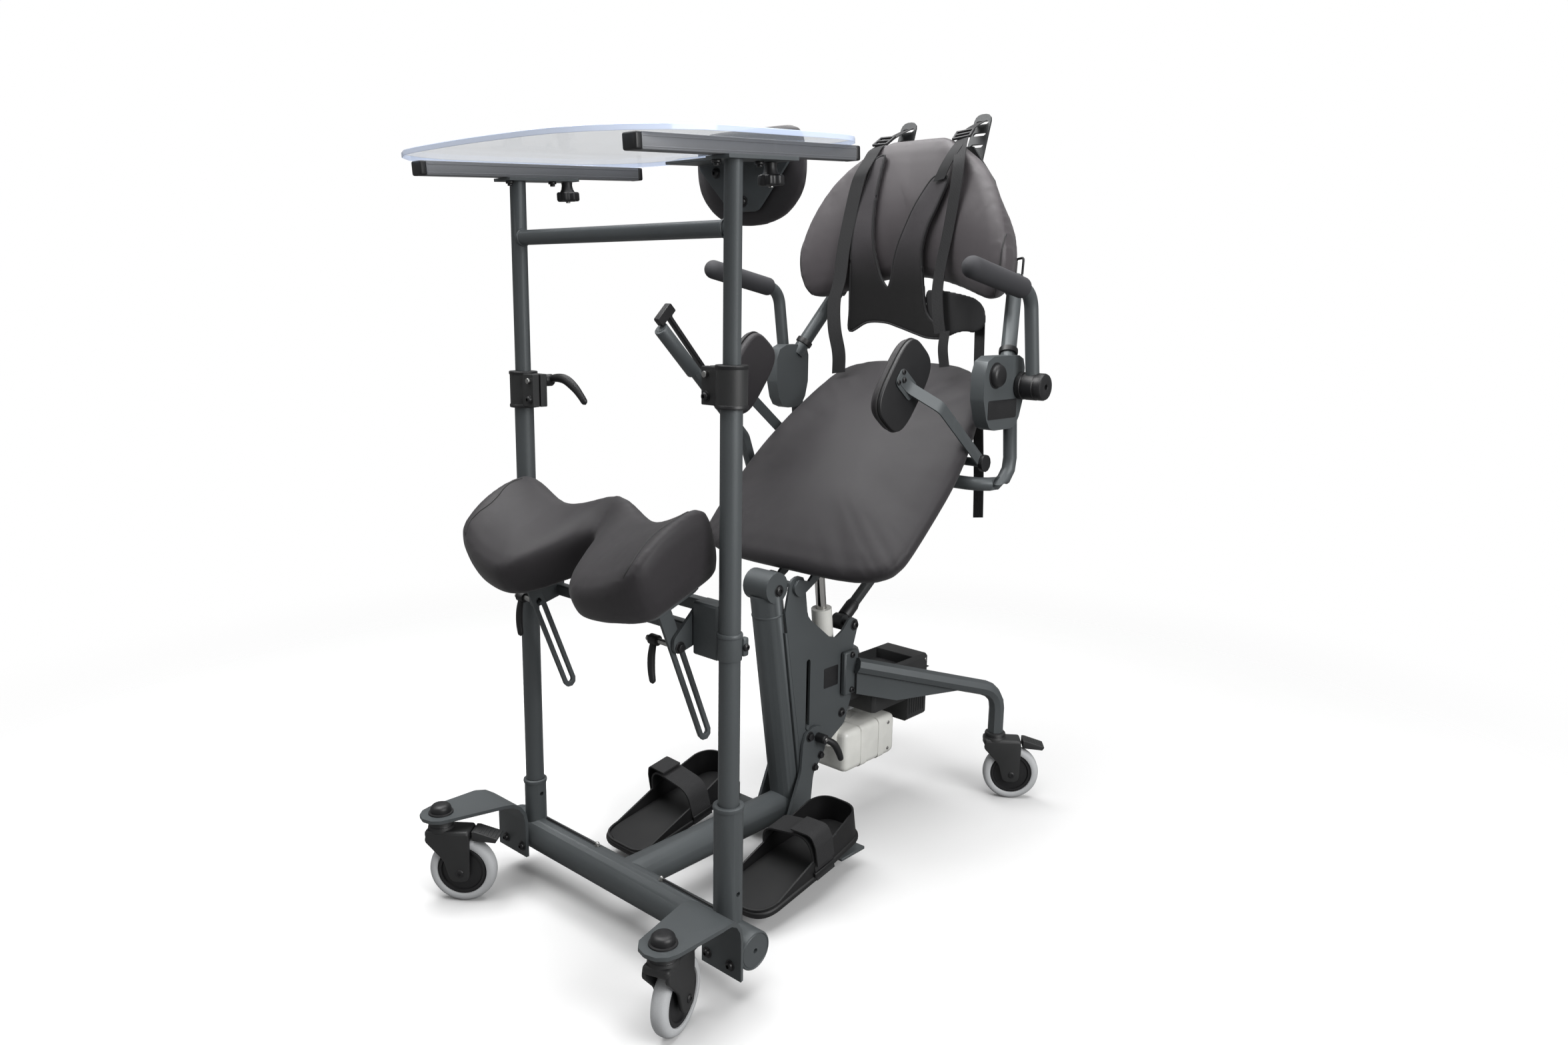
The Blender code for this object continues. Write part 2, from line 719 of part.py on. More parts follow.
def actuator_body():
    """Tube on its trunnions with the motor housing behind it."""
    axis = actuator_axis()
    pivot = Vector((0, *TRUNNION))
    foot = pivot - axis * 0.075
    shell = cylinder("shell", foot, pivot + axis * TUBE_LENGTH, TUBE_R)
    half = Vector(MOTOR_SIZE) / 2
    motor = block("motor", MOTOR_MID - half, MOTOR_MID + half, 0.012, 3)
    pins = cylinder("pins", pivot - Vector((PLATE_OUT, 0, 0)), pivot + Vector((PLATE_OUT, 0, 0)), PIN_R, 12)
    body = union("body", [shell, motor, pins])
    bore = cylinder("bore", pivot - axis * 0.040, pivot + axis * (TUBE_LENGTH + 0.01), ROD_R + SLIDE_GAP)
    return finish(cut(body, [bore]), "actuator_body", "cream_plastic", pivot)


def actuator_rod():
    """Chrome rod with the eye that sits between the seat's ears."""
    axis = actuator_axis()
    eye = Vector((0, *ROD_PIVOT))
    mouth = Vector((0, *TRUNNION)) + axis * TUBE_LENGTH
    rod = cylinder("rod", mouth - axis * ROD_INSIDE, eye - axis * 0.006, ROD_R)
    side = Vector((ROD_EYE_HALF, 0, 0))
    ring = cylinder("ring", eye - side, eye + side, 0.013, 18)
    return finish(union("rod", [rod, ring]), "actuator_rod", "chrome", eye)


def link_arm():
    """Tube between the plates' ear and the back frame, with an eye and a pin at each end."""
    low, high = Vector((0, *EAR_PIVOT)), Vector((0, *LINK_PIVOT))
    across = Vector((1, 0, 0))
    bar = cylinder("bar", low, high, LINK_R, 12)
    pieces = [bar]
    ear_reach = PLATE_OUT
    back_reach = LINK_EYE_HALF + GAP + LINK_EAR_T
    for place, reach in ((low, ear_reach), (high, back_reach)):
        eye_half = across * LINK_EYE_HALF
        pieces.append(cylinder("eye", place - eye_half, place + eye_half, LINK_EYE_R, 12))
        pieces.append(cylinder("pin", place - across * reach, place + across * reach, PIN_R, 12))
    return finish(union("link", pieces), "link_arm", "grey_paint", low)


def seat_frame():
    """Two side bars with the pivot pin, the pan, the rod ears and the hip guide stubs."""
    pivot = seat_coordinates(SEAT_PIVOT)
    rear = seat_coordinates(BACK_PIVOT)
    rod = seat_coordinates(ROD_PIVOT)
    under = -SEAT_THICK - GAP
    pan_mid = under - PAN_T / 2
    edge = rounded([
        (pivot[0] - 0.016, pivot[1] + 0.012, 0.010), (pivot[0] + 0.007, pivot[1] + 0.012, 0.008),
        (pivot[0] + 0.022, under - PAN_T / 2, 0.0), (rear[0] + 0.022, under - PAN_T / 2, 0.0),
        (rear[0] + 0.022, rear[1] - 0.022, 0.020), (rear[0] - 0.022, rear[1] - 0.022, 0.020),
        (pivot[0] + 0.040, pivot[1] - 0.030, 0.020), (pivot[0] - 0.016, pivot[1] - 0.016, 0.014),
    ])
    bearing = circle(rear, ARM_R + SLIDE_GAP, 16)
    bar_x = BAR_IN + BAR_T / 2
    bars = [sheet("bar", [edge, bearing], BAR_T, seat_plane(sign * bar_x)) for sign in (1, -1)]
    ear = rounded([(rod[0] - 0.014, pan_mid, 0.0), (rod[0] + 0.014, pan_mid, 0.0),
                   (rod[0] + 0.010, rod[1] - 0.012, 0.008), (rod[0] - 0.010, rod[1] - 0.012, 0.008)])
    ear_x = ROD_EYE_HALF + 0.001 + EAR_T / 2
    ears = [sheet("ear", [ear], EAR_T, seat_plane(sign * ear_x)) for sign in (1, -1)]
    slim, pan_rear = PAN_HALF * 0.8, SEAT_REAR - 0.040
    pan_edge = rounded([(-PAN_HALF, 0.036, 0.03), (PAN_HALF, 0.036, 0.03), (PAN_HALF, 0.40, 0.04),
                        (slim, pan_rear, 0.04), (-slim, pan_rear, 0.04), (-PAN_HALF, 0.40, 0.04)], 3)
    flat = Matrix.Translation(SEAT_ORIGIN) @ Matrix.Rotation(SEAT_PITCH, 4, "X")
    pan = sheet("pan", [pan_edge], PAN_T, flat @ level_plane(pan_mid))
    pin_half = Vector((BAR_IN + BAR_T / 2, 0, 0))
    centre = Vector((0, *SEAT_PIVOT))
    pin = cylinder("pin", centre - pin_half, centre + pin_half, PIN_R, 12)
    stub_n = stub_height()
    reach = hip_x() - GAP
    stub_ends = [seat_point(x, HIP_S, stub_n) for x in (-reach, reach)]
    stub = cylinder("stub", *stub_ends, HIP_STUB_R, 14)
    lever_reach = abs(LEVER_X) - LEVER_R - GAP
    arm_ends = [seat_point(x, LEVER_FOOT_S, stub_n) for x in (-lever_reach, 0)]
    arm = cylinder("arm", *arm_ends, HIP_STUB_R, 14)
    frame = union("seat", [pan] + bars + [pin] + ears + [stub, arm])
    return finish(frame, "seat_frame", "grey_paint", centre)


def seat_half_width(s):
    """Half width of the seat cushion along its length."""
    middle = 0.20
    if s < middle:
        part = (s - SEAT_FRONT) / (middle - SEAT_FRONT)
        return SEAT_FRONT_HALF + (SEAT_HALF - SEAT_FRONT_HALF) * math.sin(part * math.pi / 2)
    part = (s - middle) / (SEAT_REAR - middle)
    return SEAT_HALF - (SEAT_HALF - SEAT_REAR_HALF) * (1 - math.cos(part * math.pi / 2))


def seat_cushion():
    """Crowned cushion, wide in front and narrow behind, with drawn-in sides."""
    flat = Matrix.Translation(SEAT_ORIGIN) @ Matrix.Rotation(SEAT_PITCH, 4, "X")

    def place(u, v, w):
        s = SEAT_FRONT + (SEAT_REAR - SEAT_FRONT) * (v + 1) / 2
        pull = 0.030 * abs(u) ** 6 * (1 if v > 0 else 0.8)
        s -= math.copysign(pull, v) * abs(v) ** 3
        x = u * seat_half_width(s)
        low = -SEAT_THICK
        high = -SEAT_CROWN * (u ** 2 + v ** 2) / 2
        n = low + (high - low) * (w + 1) / 2
        tuck = 0.014 if w < -0.5 else 0.0
        return flat @ Vector((x * (1 - tuck / SEAT_HALF), s - v * tuck, n))

    cushion = soft("cushion", (6, 6, 2), place)
    return finish(cushion, "seat_cushion", "vinyl", (0, *SEAT_PIVOT))


# Back

def pod_outline(sign):
    """Rounded outline of a side pod, as (y, z); the right one is shorter, clear of the hand lever."""
    y, z = POD_MID
    a, b = POD_HALF
    if sign < 0:
        y, a = y + POD_SHORT / 2, a - POD_SHORT / 2
    foot = a * 0.72
    return rounded([(y - a, z + b, 0.030), (y + a, z + b, 0.022), (y + a, z - 0.012, 0.020),
                    (y + foot, z - b, 0.030), (y - foot, z - b, 0.030), (y - a, z - 0.010, 0.020)], 2)


def back_frame():
    """Bent tube under the seat, side pods, posts to the shell and the link ears."""
    y, z = BACK_PIVOT
    low = Vector((ARM_X, ARM_LOW_Y, z))
    corner = Vector((ARM_X, y, z))
    flip = Vector((-1, 1, 1))
    half = [ARM_TOP, low, corner]
    route = half + [Vector(p * q for p, q in zip(point, flip)) for point in reversed(half)]
    arms = tube("arms", bent(route, 0.040, 3), ARM_R, 3)
    pieces = [arms]
    for sign in (1, -1):
        pieces.append(sheet("pod", [pod_outline(sign)], POD_T, side_plane(sign * ARM_X)))
        foot = Vector((sign * (ARM_X - 0.006), POD_MID[0] + 0.038, POD_MID[1] + POD_HALF[1] - 0.02))
        top = Vector((sign * BACK_POST_TOP.x, BACK_POST_TOP.y, BACK_POST_TOP.z))
        pieces.append(cylinder("post", foot, top, BACK_POST_R, 12))
        inner = Vector((sign * (ARM_X + POD_T / 2 - 0.002), *HANDLE_PIVOT))
        outer = Vector((sign * (HANDLE_X + HUB_LENGTH / 2 - 0.012), *HANDLE_PIVOT))
        pieces.append(cylinder("pin", inner, outer, 0.008, 12))
        ear_x = LINK_EYE_HALF + GAP + LINK_EAR_T / 2
        ear = slot(BACK_PIVOT, LINK_PIVOT, 0.016)
        hole = circle(LINK_PIVOT, PIN_R + SLIDE_GAP)
        pieces.append(sheet("ear", [ear, hole], LINK_EAR_T, side_plane(sign * ear_x)))
    frame = union("back", pieces)
    return finish(frame, "back_frame", "grey_paint", (0, *BACK_PIVOT))


def back_half_width(z):
    """Half width of the back at a height: a dome over straight sides."""
    spring = BACK_LOW + 0.080
    if z <= spring:
        part = (spring - z) / (spring - BACK_LOW)
        return BACK_HALF - 0.030 * part ** 3
    part = min(1.0, (z - spring) / (BACK_TOP - spring))
    return BACK_CAP + (BACK_HALF - BACK_CAP) * (1 - part ** 1.7) ** 0.6


def back_face(x):
    """Y of the front of the back: the sides wrap forward."""
    return BACK_FRONT - BACK_WRAP * (abs(x) / BACK_HALF) ** 2.2


def back_height(u, v):
    """Height on the back for a grid place: the middle of the lower edge is arched."""
    low = BACK_LOW + BACK_ARCH * math.cos(u * math.pi / 2) ** 1.5
    return low + (BACK_TOP - low) * (v + 1) / 2


def back_cushion():
    """Domed cushion whose wings wrap forward and hang below its middle."""

    def place(u, v, w):
        z = back_height(u, v)
        x = u * back_half_width(z)
        edge = max(abs(u), abs(v)) ** 4
        thick = BACK_THICK * (1 - 0.22 * edge)
        y = back_face(x) + 0.012 * edge + thick * (1 - w) / 2
        return Vector((x, y, z))

    cushion = soft("cushion", (8, 6, 1), place)
    return finish(cushion, "back_cushion", "vinyl", (0, *BACK_PIVOT))


def back_shell():
    """Thin shell behind the cushion with the two slotted strap plates."""

    def place(u, v, w):
        z = back_height(u * 0.84, v * 0.86)
        x = u * 0.84 * back_half_width(z)
        y = back_face(x) + BACK_THICK + SHELL_CLEAR + SHELL_T * (1 - w) / 2
        return Vector((x, y, z))

    shell = soft("shell", (6, 4, 1), place, 0)
    pieces = [shell]
    lean = math.atan2(0.055, 0.150)
    foot_z = STRAP_FOOT
    for sign in (1, -1):
        tall = (STRAP_TOP - foot_z) / math.cos(lean)
        half, tip = STRAP_W / 2, STRAP_W * 0.4
        edge = rounded([(-half, 0, 0.004), (half, 0, 0.004), (tip, tall, 0.014), (-tip, tall, 0.014)])
        levels = [tall - depth for depth in STRAP_SLOTS]
        slots = [slot((-0.011, level), (0.011, level), 0.0035, 2) for level in levels]
        foot_y = back_face(STRAP_X) + BACK_THICK + SHELL_CLEAR + SHELL_T / 2
        plane = (Matrix.Translation((sign * STRAP_X, foot_y, foot_z)) @ Matrix.Rotation(-lean, 4, "X")
                 @ front_plane(0))
        pieces.append(sheet("strap_plate", [edge] + slots, STRAP_T, plane))
    return finish(union("shell", pieces), "back_shell", "grey_paint", (0, *BACK_PIVOT))


def harness():
    """Vest panel with its two padded straps and side webbing, lying on the back.

    Its outlines are (x, share of the back's height).
    """
    half = [
        (0.000, 0.131), (0.010, 0.144), (0.020, 0.219), (0.036, 0.344), (0.052, 0.469), (0.068, 0.609),
        (0.080, 0.734), (0.090, 0.859), (0.097, 0.963), (0.101, 1.031), (0.124, 1.031), (0.128, 0.963),
        (0.132, 0.844), (0.136, 0.703), (0.140, 0.547), (0.143, 0.375), (0.145, 0.203), (0.146, 0.031),
        (0.145, -0.078), (0.142, -0.163), (0.128, -0.188), (0.112, -0.194), (0.100, -0.163), (0.085, -0.144),
        (0.060, -0.156), (0.030, -0.166), (0.000, -0.169),
    ]
    window = [
        (0.072, 0.181), (0.080, 0.275), (0.090, 0.381), (0.099, 0.500), (0.106, 0.619), (0.112, 0.719),
        (0.115, 0.719), (0.118, 0.578), (0.121, 0.406), (0.122, 0.234), (0.121, 0.078), (0.110, -0.031),
        (0.088, -0.038), (0.074, 0.047),
    ]
    edge = half + [(-x, share) for x, share in reversed(half[1:-1])]
    left_hole = [(-x, share) for x, share in window]
    rise = BACK_TOP - BACK_LOW
    outlines = []
    for outline in (edge, window, left_hole):
        outlines.append([(x, BACK_LOW + rise * share) for x, share in outline])
    vest = sheet("vest", outlines, VEST_T, front_plane(0))
    bm = bmesh.new()
    bm.from_mesh(vest.data)
    for vert in bm.verts:
        behind = max(0.0, vert.co.z - BACK_TOP + 0.040)
        hang = max(0.0, BACK_LOW - vert.co.z)
        vert.co.y += back_face(vert.co.x) - VEST_CLEAR - VEST_T - 0.10 * hang + 0.9 * behind
    bm.to_mesh(vest.data)
    bm.free()
    return finish(vest, "harness", "webbing", (0, *BACK_PIVOT))


def handle(side):
    """Flip-back handle: hub, bent tube and foam grip."""
    sign = SIDES[side]
    pivot = Vector((HANDLE_X, *HANDLE_PIVOT))
    half = HUB_LENGTH / 2
    hub_in = ARM_X + POD_T / 2 + GAP
    hub = cylinder("hub", (hub_in, *HANDLE_PIVOT), (HANDLE_X + half, *HANDLE_PIVOT), HUB_OUTER_R, 16)
    bar = tube("bar", bent([pivot, HANDLE_BEND, HANDLE_TIP], 0.045), HANDLE_R)
    run = (HANDLE_TIP - HANDLE_BEND).normalized()
    grip = cylinder("grip", HANDLE_BEND + run * 0.040, HANDLE_TIP - run * 0.012, GRIP_R, 12)
    tip = cylinder("tip", HANDLE_TIP - run * 0.020, HANDLE_TIP, GRIP_R * 0.98, 12, GRIP_R * 0.6)
    whole = union("handle", [hub, bar, grip, tip])
    bore = cylinder("bore", (hub_in - 0.01, *HANDLE_PIVOT), (HANDLE_X + half - 0.010, *HANDLE_PIVOT),
                    0.008 + SLIDE_GAP, 12)
    whole = cut(whole, [bore])
    if sign < 0:
        whole = replace_by_mirror(whole)
    return finish(whole, f"handle_{side}", "grey_paint", (sign * HANDLE_X, *HANDLE_PIVOT))


def hip_x():
    """X of the hip guide bar's middle, just outside the cushion."""
    return seat_half_width(HIP_S) + HIP_CLEAR


def stub_height():
    """Place along n of the stubs welded under the pan."""
    return -SEAT_THICK - GAP - PAN_T - HIP_STUB_R + 0.001


def hip_plane():
    """Placement of a hip guide: its own z runs up the bar from the stub."""
    turn = Matrix.Rotation(SEAT_PITCH + HIP_LEAN, 4, "X")
    return Matrix.Translation(seat_point(0, HIP_S, stub_height())) @ turn


def hip_bar(side):
    """Flat bent bar from the stub under the seat up to the hip pad, with its knob."""
    sign = SIDES[side]
    x = hip_x()
    reach = HIP_RISE + 0.024
    bend = HIP_RISE - 0.060
    outer = bent([(x + HIP_BAR_T, -0.014, 0), (x + HIP_BAR_T, bend, 0), (x - HIP_STEP, bend + 0.055, 0),
                  (x - HIP_STEP, reach, 0)], 0.030, 3)
    inner = bent([(x, -0.014, 0), (x, bend - 0.0015, 0), (x - HIP_STEP - HIP_BAR_T, bend + 0.0535, 0),
                  (x - HIP_STEP - HIP_BAR_T, reach, 0)], 0.030, 3)
    strip = sheet("strip", [outer + inner[::-1]], 0.022, hip_plane() @ front_plane(0))
    knob_in = seat_point(x + 0.002, HIP_S, stub_height())
    knob_out = seat_point(x + HIP_BAR_T + HIP_KNOB_T, HIP_S, stub_height())
    knob = cylinder("knob", knob_in, knob_out, 0.016, 12)
    bar = union("bar", [strip, knob])
    if sign < 0:
        bar = replace_by_mirror(bar)
    origin = seat_point(sign * x, HIP_S, stub_height())
    return finish(bar, f"hip_bar_{side}", "grey_paint", origin)


def hip_pad(side):
    """Oval pad on the inner face of the hip guide bar."""
    sign = SIDES[side]
    x = hip_x() - HIP_STEP - HIP_BAR_T - GAP
    frame = hip_plane()

    def place(u, v, w):
        swell = 1 - 0.25 * max(abs(u), abs(v)) ** 4
        out = x - HIP_PAD_T * swell if w < 0 else x
        corner = 1 - 0.16 * u * u * v * v
        return frame @ Vector((out, u * 0.082 * corner, HIP_RISE + v * 0.050 * corner))

    pad = soft("pad", (4, 3, 1), place)
    if sign < 0:
        pad = replace_by_mirror(pad)
    return finish(pad, f"hip_pad_{side}", "vinyl", seat_point(sign * hip_x(), HIP_S, stub_height()))


def lever_plane():
    """Plane of the hand lever: its own y runs up the grip and its origin is the grip's top."""
    turn = Matrix.Rotation(LEVER_FALL, 4, "Z")
    return seat_plane(LEVER_X) @ Matrix.Translation((*LEVER_TOP, 0)) @ turn


def hand_lever():
    """Hand lever beside the seat, with the bracket that carries its trigger."""
    foot = seat_point(LEVER_X, LEVER_FOOT_S, stub_height())
    bend = seat_point(LEVER_X, *LEVER_BEND)
    top = seat_point(LEVER_X, *LEVER_TOP)
    bar = tube("bar", bent([foot, bend, top], 0.030), LEVER_R)
    side = Vector((LEVER_R, 0, 0))
    eye = cylinder("eye", foot - side, foot + side, 0.018, 18)
    a, b = TRIGGER_HINGE
    lug_top = b - 0.0045
    lug_edge = rounded([(0.002, b - 0.024, 0.0), (a + 0.008, b - 0.016, 0.004), (a + 0.008, lug_top, 0.0),
                        (0.002, lug_top, 0.0)])
    lug = sheet("lug", [lug_edge], 0.010, lever_plane())
    lever = union("lever", [bar, eye, lug])
    return finish(lever, "hand_lever", "black_plastic", foot)


def squeeze_trigger():
    """Squeeze bar behind the hand lever, with its thumb block over the lever's top."""
    a, b = TRIGGER_HINGE
    edge = rounded([(a - 0.0035, b - 0.004, 0.0), (a + 0.0035, b - 0.004, 0.0), (a + 0.011, 0.0, 0.003),
                    (a + 0.0255, 0.0, 0.002), (a + 0.0255, 0.020, 0.003), (a - 0.0185, 0.020, 0.003),
                    (a - 0.0185, 0.002, 0.002), (a + 0.0045, 0.002, 0.0)], 2)
    trigger = sheet("trigger", [edge], 0.014, lever_plane())
    return finish(trigger, "squeeze_trigger", "black_plastic", lever_plane() @ Vector((a, b, 0)))


# Front frame

def lower_frame():
    """The two posts with the knee cross bars, collars and the bolts that carry the knee stems."""
    pieces = []
    for side, sign in SIDES.items():
        foot = STUB_FLOOR + 0.001 if side == "left" else STUB_TOP_RIGHT + 0.001
        top = CLAMP_Z[side] - GAP
        bore = UPPER_R + SLIDE_GAP
        profile = [(0, BORE_FLOOR), (bore, BORE_FLOOR), (bore, top), (POST_R, top), (POST_R, foot),
                   (0, foot)]
        post = turned("post", profile, Matrix.Translation((sign * POST_X, 0, 0)))
        pieces.append(post)
    for z in KNEE_BAR_Z:
        half = POST_X - POST_R + BAR_WELD
        low = (-half, KNEE_BAR_Y[0], z - KNEE_BAR_H / 2)
        high = (half, KNEE_BAR_Y[1], z + KNEE_BAR_H / 2)
        pieces.append(block("bar", low, high, 0.002, 1))
    cover_low = (STEM_X + 0.010, KNEE_BAR_Y[0] - 0.016, KNEE_BAR_Z[0] - 0.028)
    cover_high = (POST_X - POST_R + BAR_WELD, KNEE_BAR_Y[1] - 0.002, KNEE_BAR_Z[0] + 0.053)
    pieces.append(block("cover", cover_low, cover_high, 0.003, 1))
    lug_mid = STEM_X + STEM_T / 2 + 0.001 + 0.003
    for sign in (1, -1):
        tip = STEM_BOLT.y - 0.011
        rear, low, high = KNEE_BAR_Y[1] - 0.002, KNEE_BAR_Z[0] - 0.008, KNEE_BAR_Z[1] + 0.008
        lug = rounded([(tip, STEM_BOLT.z - 0.012, 0.010), (rear, low, 0.004), (rear, high, 0.004),
                       (rear - 0.014, high, 0.004), (tip, STEM_BOLT.z + 0.014, 0.010)])
        pieces.append(sheet("lug", [lug], 0.006, side_plane(sign * lug_mid)))
        inner = Vector((sign * (STEM_X - STEM_T / 2 - 0.006), STEM_BOLT.y, STEM_BOLT.z))
        outer = Vector((sign * lug_mid, STEM_BOLT.y, STEM_BOLT.z))
        pieces.append(cylinder("bolt", inner, outer, STEM_PIN_R, 12))
    frame = union("lower", pieces)
    return finish(frame, "lower_frame", "grey_paint", (POST_X, 0, 0))


def upper_frame():
    """Telescoping tubes joined by the H bar, with the plates that carry the tray rails."""
    pieces = []
    for sign in (1, -1):
        x = sign * POST_X
        top = RAIL_Z - GAP
        pieces.append(cylinder("tube", (x, 0, UPPER_FOOT), (x, 0, top - 0.003), UPPER_R))
        pieces.append(tilt(block("top", (x - 0.022, -0.030, top - TOP_PLATE_T), (x + 0.022, 0.106, top))))
    pieces.append(cylinder("bar", (-POST_X, 0, H_BAR_Z), (POST_X, 0, H_BAR_Z), UPPER_R - 0.0008))
    frame = union("upper", pieces)
    return finish(frame, "upper_frame", "grey_paint", (POST_X, 0, UPPER_FOOT))


def clamp(side):
    """Split clamp on top of a lower post, with its lug facing inward."""
    sign = SIDES[side]
    low = CLAMP_Z[side]
    high = low + CLAMP_H
    inner = UPPER_R + SLIDE_GAP
    ring = turned("ring", [(inner, high), (CLAMP_R, high), (CLAMP_R, low), (inner, low), (inner, high)],
                  Matrix.Translation((POST_X, 0, 0)))
    lug_low = (POST_X - 0.046, -LUG_HALF, low + 0.003)
    lug = block("lug", lug_low, (POST_X - 0.016, LUG_HALF, high - 0.003))
    body = union("clamp", [ring, lug])
    under, over = low - 0.01, high + 0.01
    split_half = 0.0012
    split = block("split", (POST_X - 0.060, -split_half, under), (POST_X - inner + 0.003, split_half, over))
    core = cylinder("core", (POST_X, 0, under), (POST_X, 0, over), inner)
    body = cut(body, [split, core])
    if sign < 0:
        body = replace_by_mirror(body)
    return finish(body, f"clamp_{side}", "black_plastic", (sign * POST_X, 0, low))


def clamp_lever(side):
    """Curved cam lever behind a clamp's lug; the left one hangs behind its post."""
    sign = SIDES[side]
    pivot = Vector((POST_X - 0.036, LUG_HALF + GAP, CLAMP_Z[side] + CLAMP_H - 0.014))
    hub = cylinder("hub", pivot, pivot + Vector((0, 0.018, 0)), 0.010, 16)
    start = pivot + Vector((0, 0.010, 0))
    route = [start, start + Vector((-0.040, 0.004, 0.004)), start + Vector((-0.086, 0.010, -0.034))]
    if sign > 0:
        route = [start, start + Vector((0.004, 0.004, -0.040)), start + Vector((-0.012, 0.010, -0.090))]
    arm = tube("arm", bent(route, 0.060, 3), 0.0065, 2)
    lever = union("lever", [hub, arm])
    if sign < 0:
        lever = replace_by_mirror(lever)
    return finish(lever, f"clamp_lever_{side}", "black_plastic", (sign * pivot.x, pivot.y, pivot.z))


def tilt(obj):
    """Tip a tray piece about the line where the rails cross the posts."""
    pivot = Matrix.Translation((0, 0, RAIL_Z))
    obj.data.transform(pivot @ Matrix.Rotation(TRAY_TILT, 4, "X") @ pivot.inverted())
    return obj


def tray_rail(side):
    """Channel rail under the tray."""
    x = SIDES[side] * POST_X
    half = RAIL_W / 2
    rail = block("rail", (x - half, RAIL_Y[0], RAIL_Z), (x + half, RAIL_Y[1], RAIL_Z + RAIL_H), 0.002, 1)
    return finish(tilt(rail), f"tray_rail_{side}", "black_plastic")


def tray():
    """Clear tray with round corners, a bowed front and a shallow bay behind."""
    front, rear, half = TRAY_FRONT, TRAY_REAR, TRAY_HALF
    bay = 0.120
    edge = rounded([
        (-half, front + 0.012, TRAY_CORNER), (0, front - 0.008, 0.900), (half, front + 0.012, TRAY_CORNER),
        (half, rear, TRAY_BACK_CORNER), (bay + 0.040, rear, 0.030), (bay, rear - 0.018, 0.030),
        (-bay, rear - 0.018, 0.030), (-bay - 0.040, rear, 0.030), (-half, rear, TRAY_BACK_CORNER),
    ], 6)
    low = RAIL_Z + RAIL_H + GAP
    plate = sheet("tray", [edge], TRAY_T, level_plane(low + TRAY_T / 2))
    return finish(tilt(plate), "tray", "clear")


def tray_knob(side):
    """Star knob under a rail plate."""
    x = SIDES[side] * KNOB_X
    top = RAIL_Z - GAP - TOP_PLATE_T - GAP
    lobes = []
    for step in range(21):
        angle = 2 * math.pi * step / 21
        radius = KNOB_R * (0.90 + 0.10 * math.cos(7 * angle))
        lobes.append((radius * math.cos(angle), radius * math.sin(angle)))
    place = Matrix.Translation((x, KNOB_Y, top - 0.024))
    head = sheet("head", [lobes], 0.014, place)
    neck = cylinder("neck", (x, KNOB_Y, top - 0.020), (x, KNOB_Y, top), 0.008, 14)
    knob = tilt(union("knob", [head, neck]))
    origin = (x, KNOB_Y, top + KNOB_Y * math.sin(TRAY_TILT))
    return finish(knob, f"tray_knob_{side}", "black_plastic", origin)


def chest_bracket():
    """Plate from the tray's rear edge to the chest pad."""
    under = RAIL_Z + RAIL_H - GAP
    back = CHEST_Y - CHEST_T / 2 - GAP
    edge = rounded([(-0.100, under - 0.012, 0.006), (-0.100, under, 0.0), (0.100, under, 0.0),
                    (0.100, under - 0.012, 0.006), (0.030, CHEST_Z[0] + 0.030, 0.020),
                    (-0.030, CHEST_Z[0] + 0.030, 0.020)])
    web = sheet("web", [edge], 0.005, front_plane(back - 0.0025))
    shelf = block("shelf", (-0.100, TRAY_REAR - 0.072, under - 0.005), (0.100, back - 0.001, under))
    return finish(tilt(union("bracket", [web, shelf])), "chest_bracket", "grey_paint")


def chest_pad():
    """Round-bottomed pad with a crowned face."""
    low, high = CHEST_Z

    def place(u, v, w):
        z = low + (high - low) * (v + 1) / 2
        part = max(0.0, -v)
        half = CHEST_HALF * (1 - 0.42 * part ** 2.2) * (1 - 0.10 * max(0.0, v) ** 4)
        swell = CHEST_T * (1 - 0.30 * max(abs(u), abs(v)) ** 4)
        y = CHEST_Y - CHEST_T / 2 + swell * (1 - w) / 2 if w < 0.5 else CHEST_Y - CHEST_T / 2
        return Vector((u * half, y, z + 0.016 * part * u * u))

    return finish(tilt(soft("pad", (4, 4, 1), place)), "chest_pad", "vinyl")


# Knee pad

def knee_plane():
    """Placement of the knee pad: its own y runs back and up from the front edge."""
    return Matrix.Translation(KNEE_FRONT) @ Matrix.Rotation(KNEE_TILT, 4, "X")


def stem_direction():
    """Unit vector down a knee stem."""
    return (STEM_LOW - STEM_BOLT).normalized()


def knee_pad():
    """W-shaped pad: two troughs, high wings, a middle ridge and a notch in front."""
    frame = knee_plane()

    def place(u, v, w):
        back = (v + 1) / 2
        notch = KNEE_NOTCH * math.exp(-(u / 0.17) ** 2)
        front = notch + 0.034 * abs(u) ** 4
        rear = KNEE_DEPTH - 0.030 * math.exp(-((abs(u) - 0.5) / 0.22) ** 2) - 0.012 * abs(u) ** 6
        y = front + (rear - front) * back
        wing = 0.052 * max(0.0, abs(u) - 0.35) ** 2 / 0.4225
        ridge = 0.020 * math.exp(-(u / 0.20) ** 2)
        slope = 0.026 * back
        top = KNEE_THICK - 0.012 + wing * (1.15 - 0.45 * v * v) + ridge * back + slope
        z = top * (w + 1) / 2
        tuck = 0.008 if w < -0.5 else 0.0
        return frame @ Vector((u * (KNEE_HALF - tuck), y + tuck * (0.5 - back) * 2, z))

    pad = soft("pad", (12, 4, 2), place)
    return finish(pad, "knee_pad", "vinyl", (0, STEM_BOLT.y, STEM_BOLT.z))


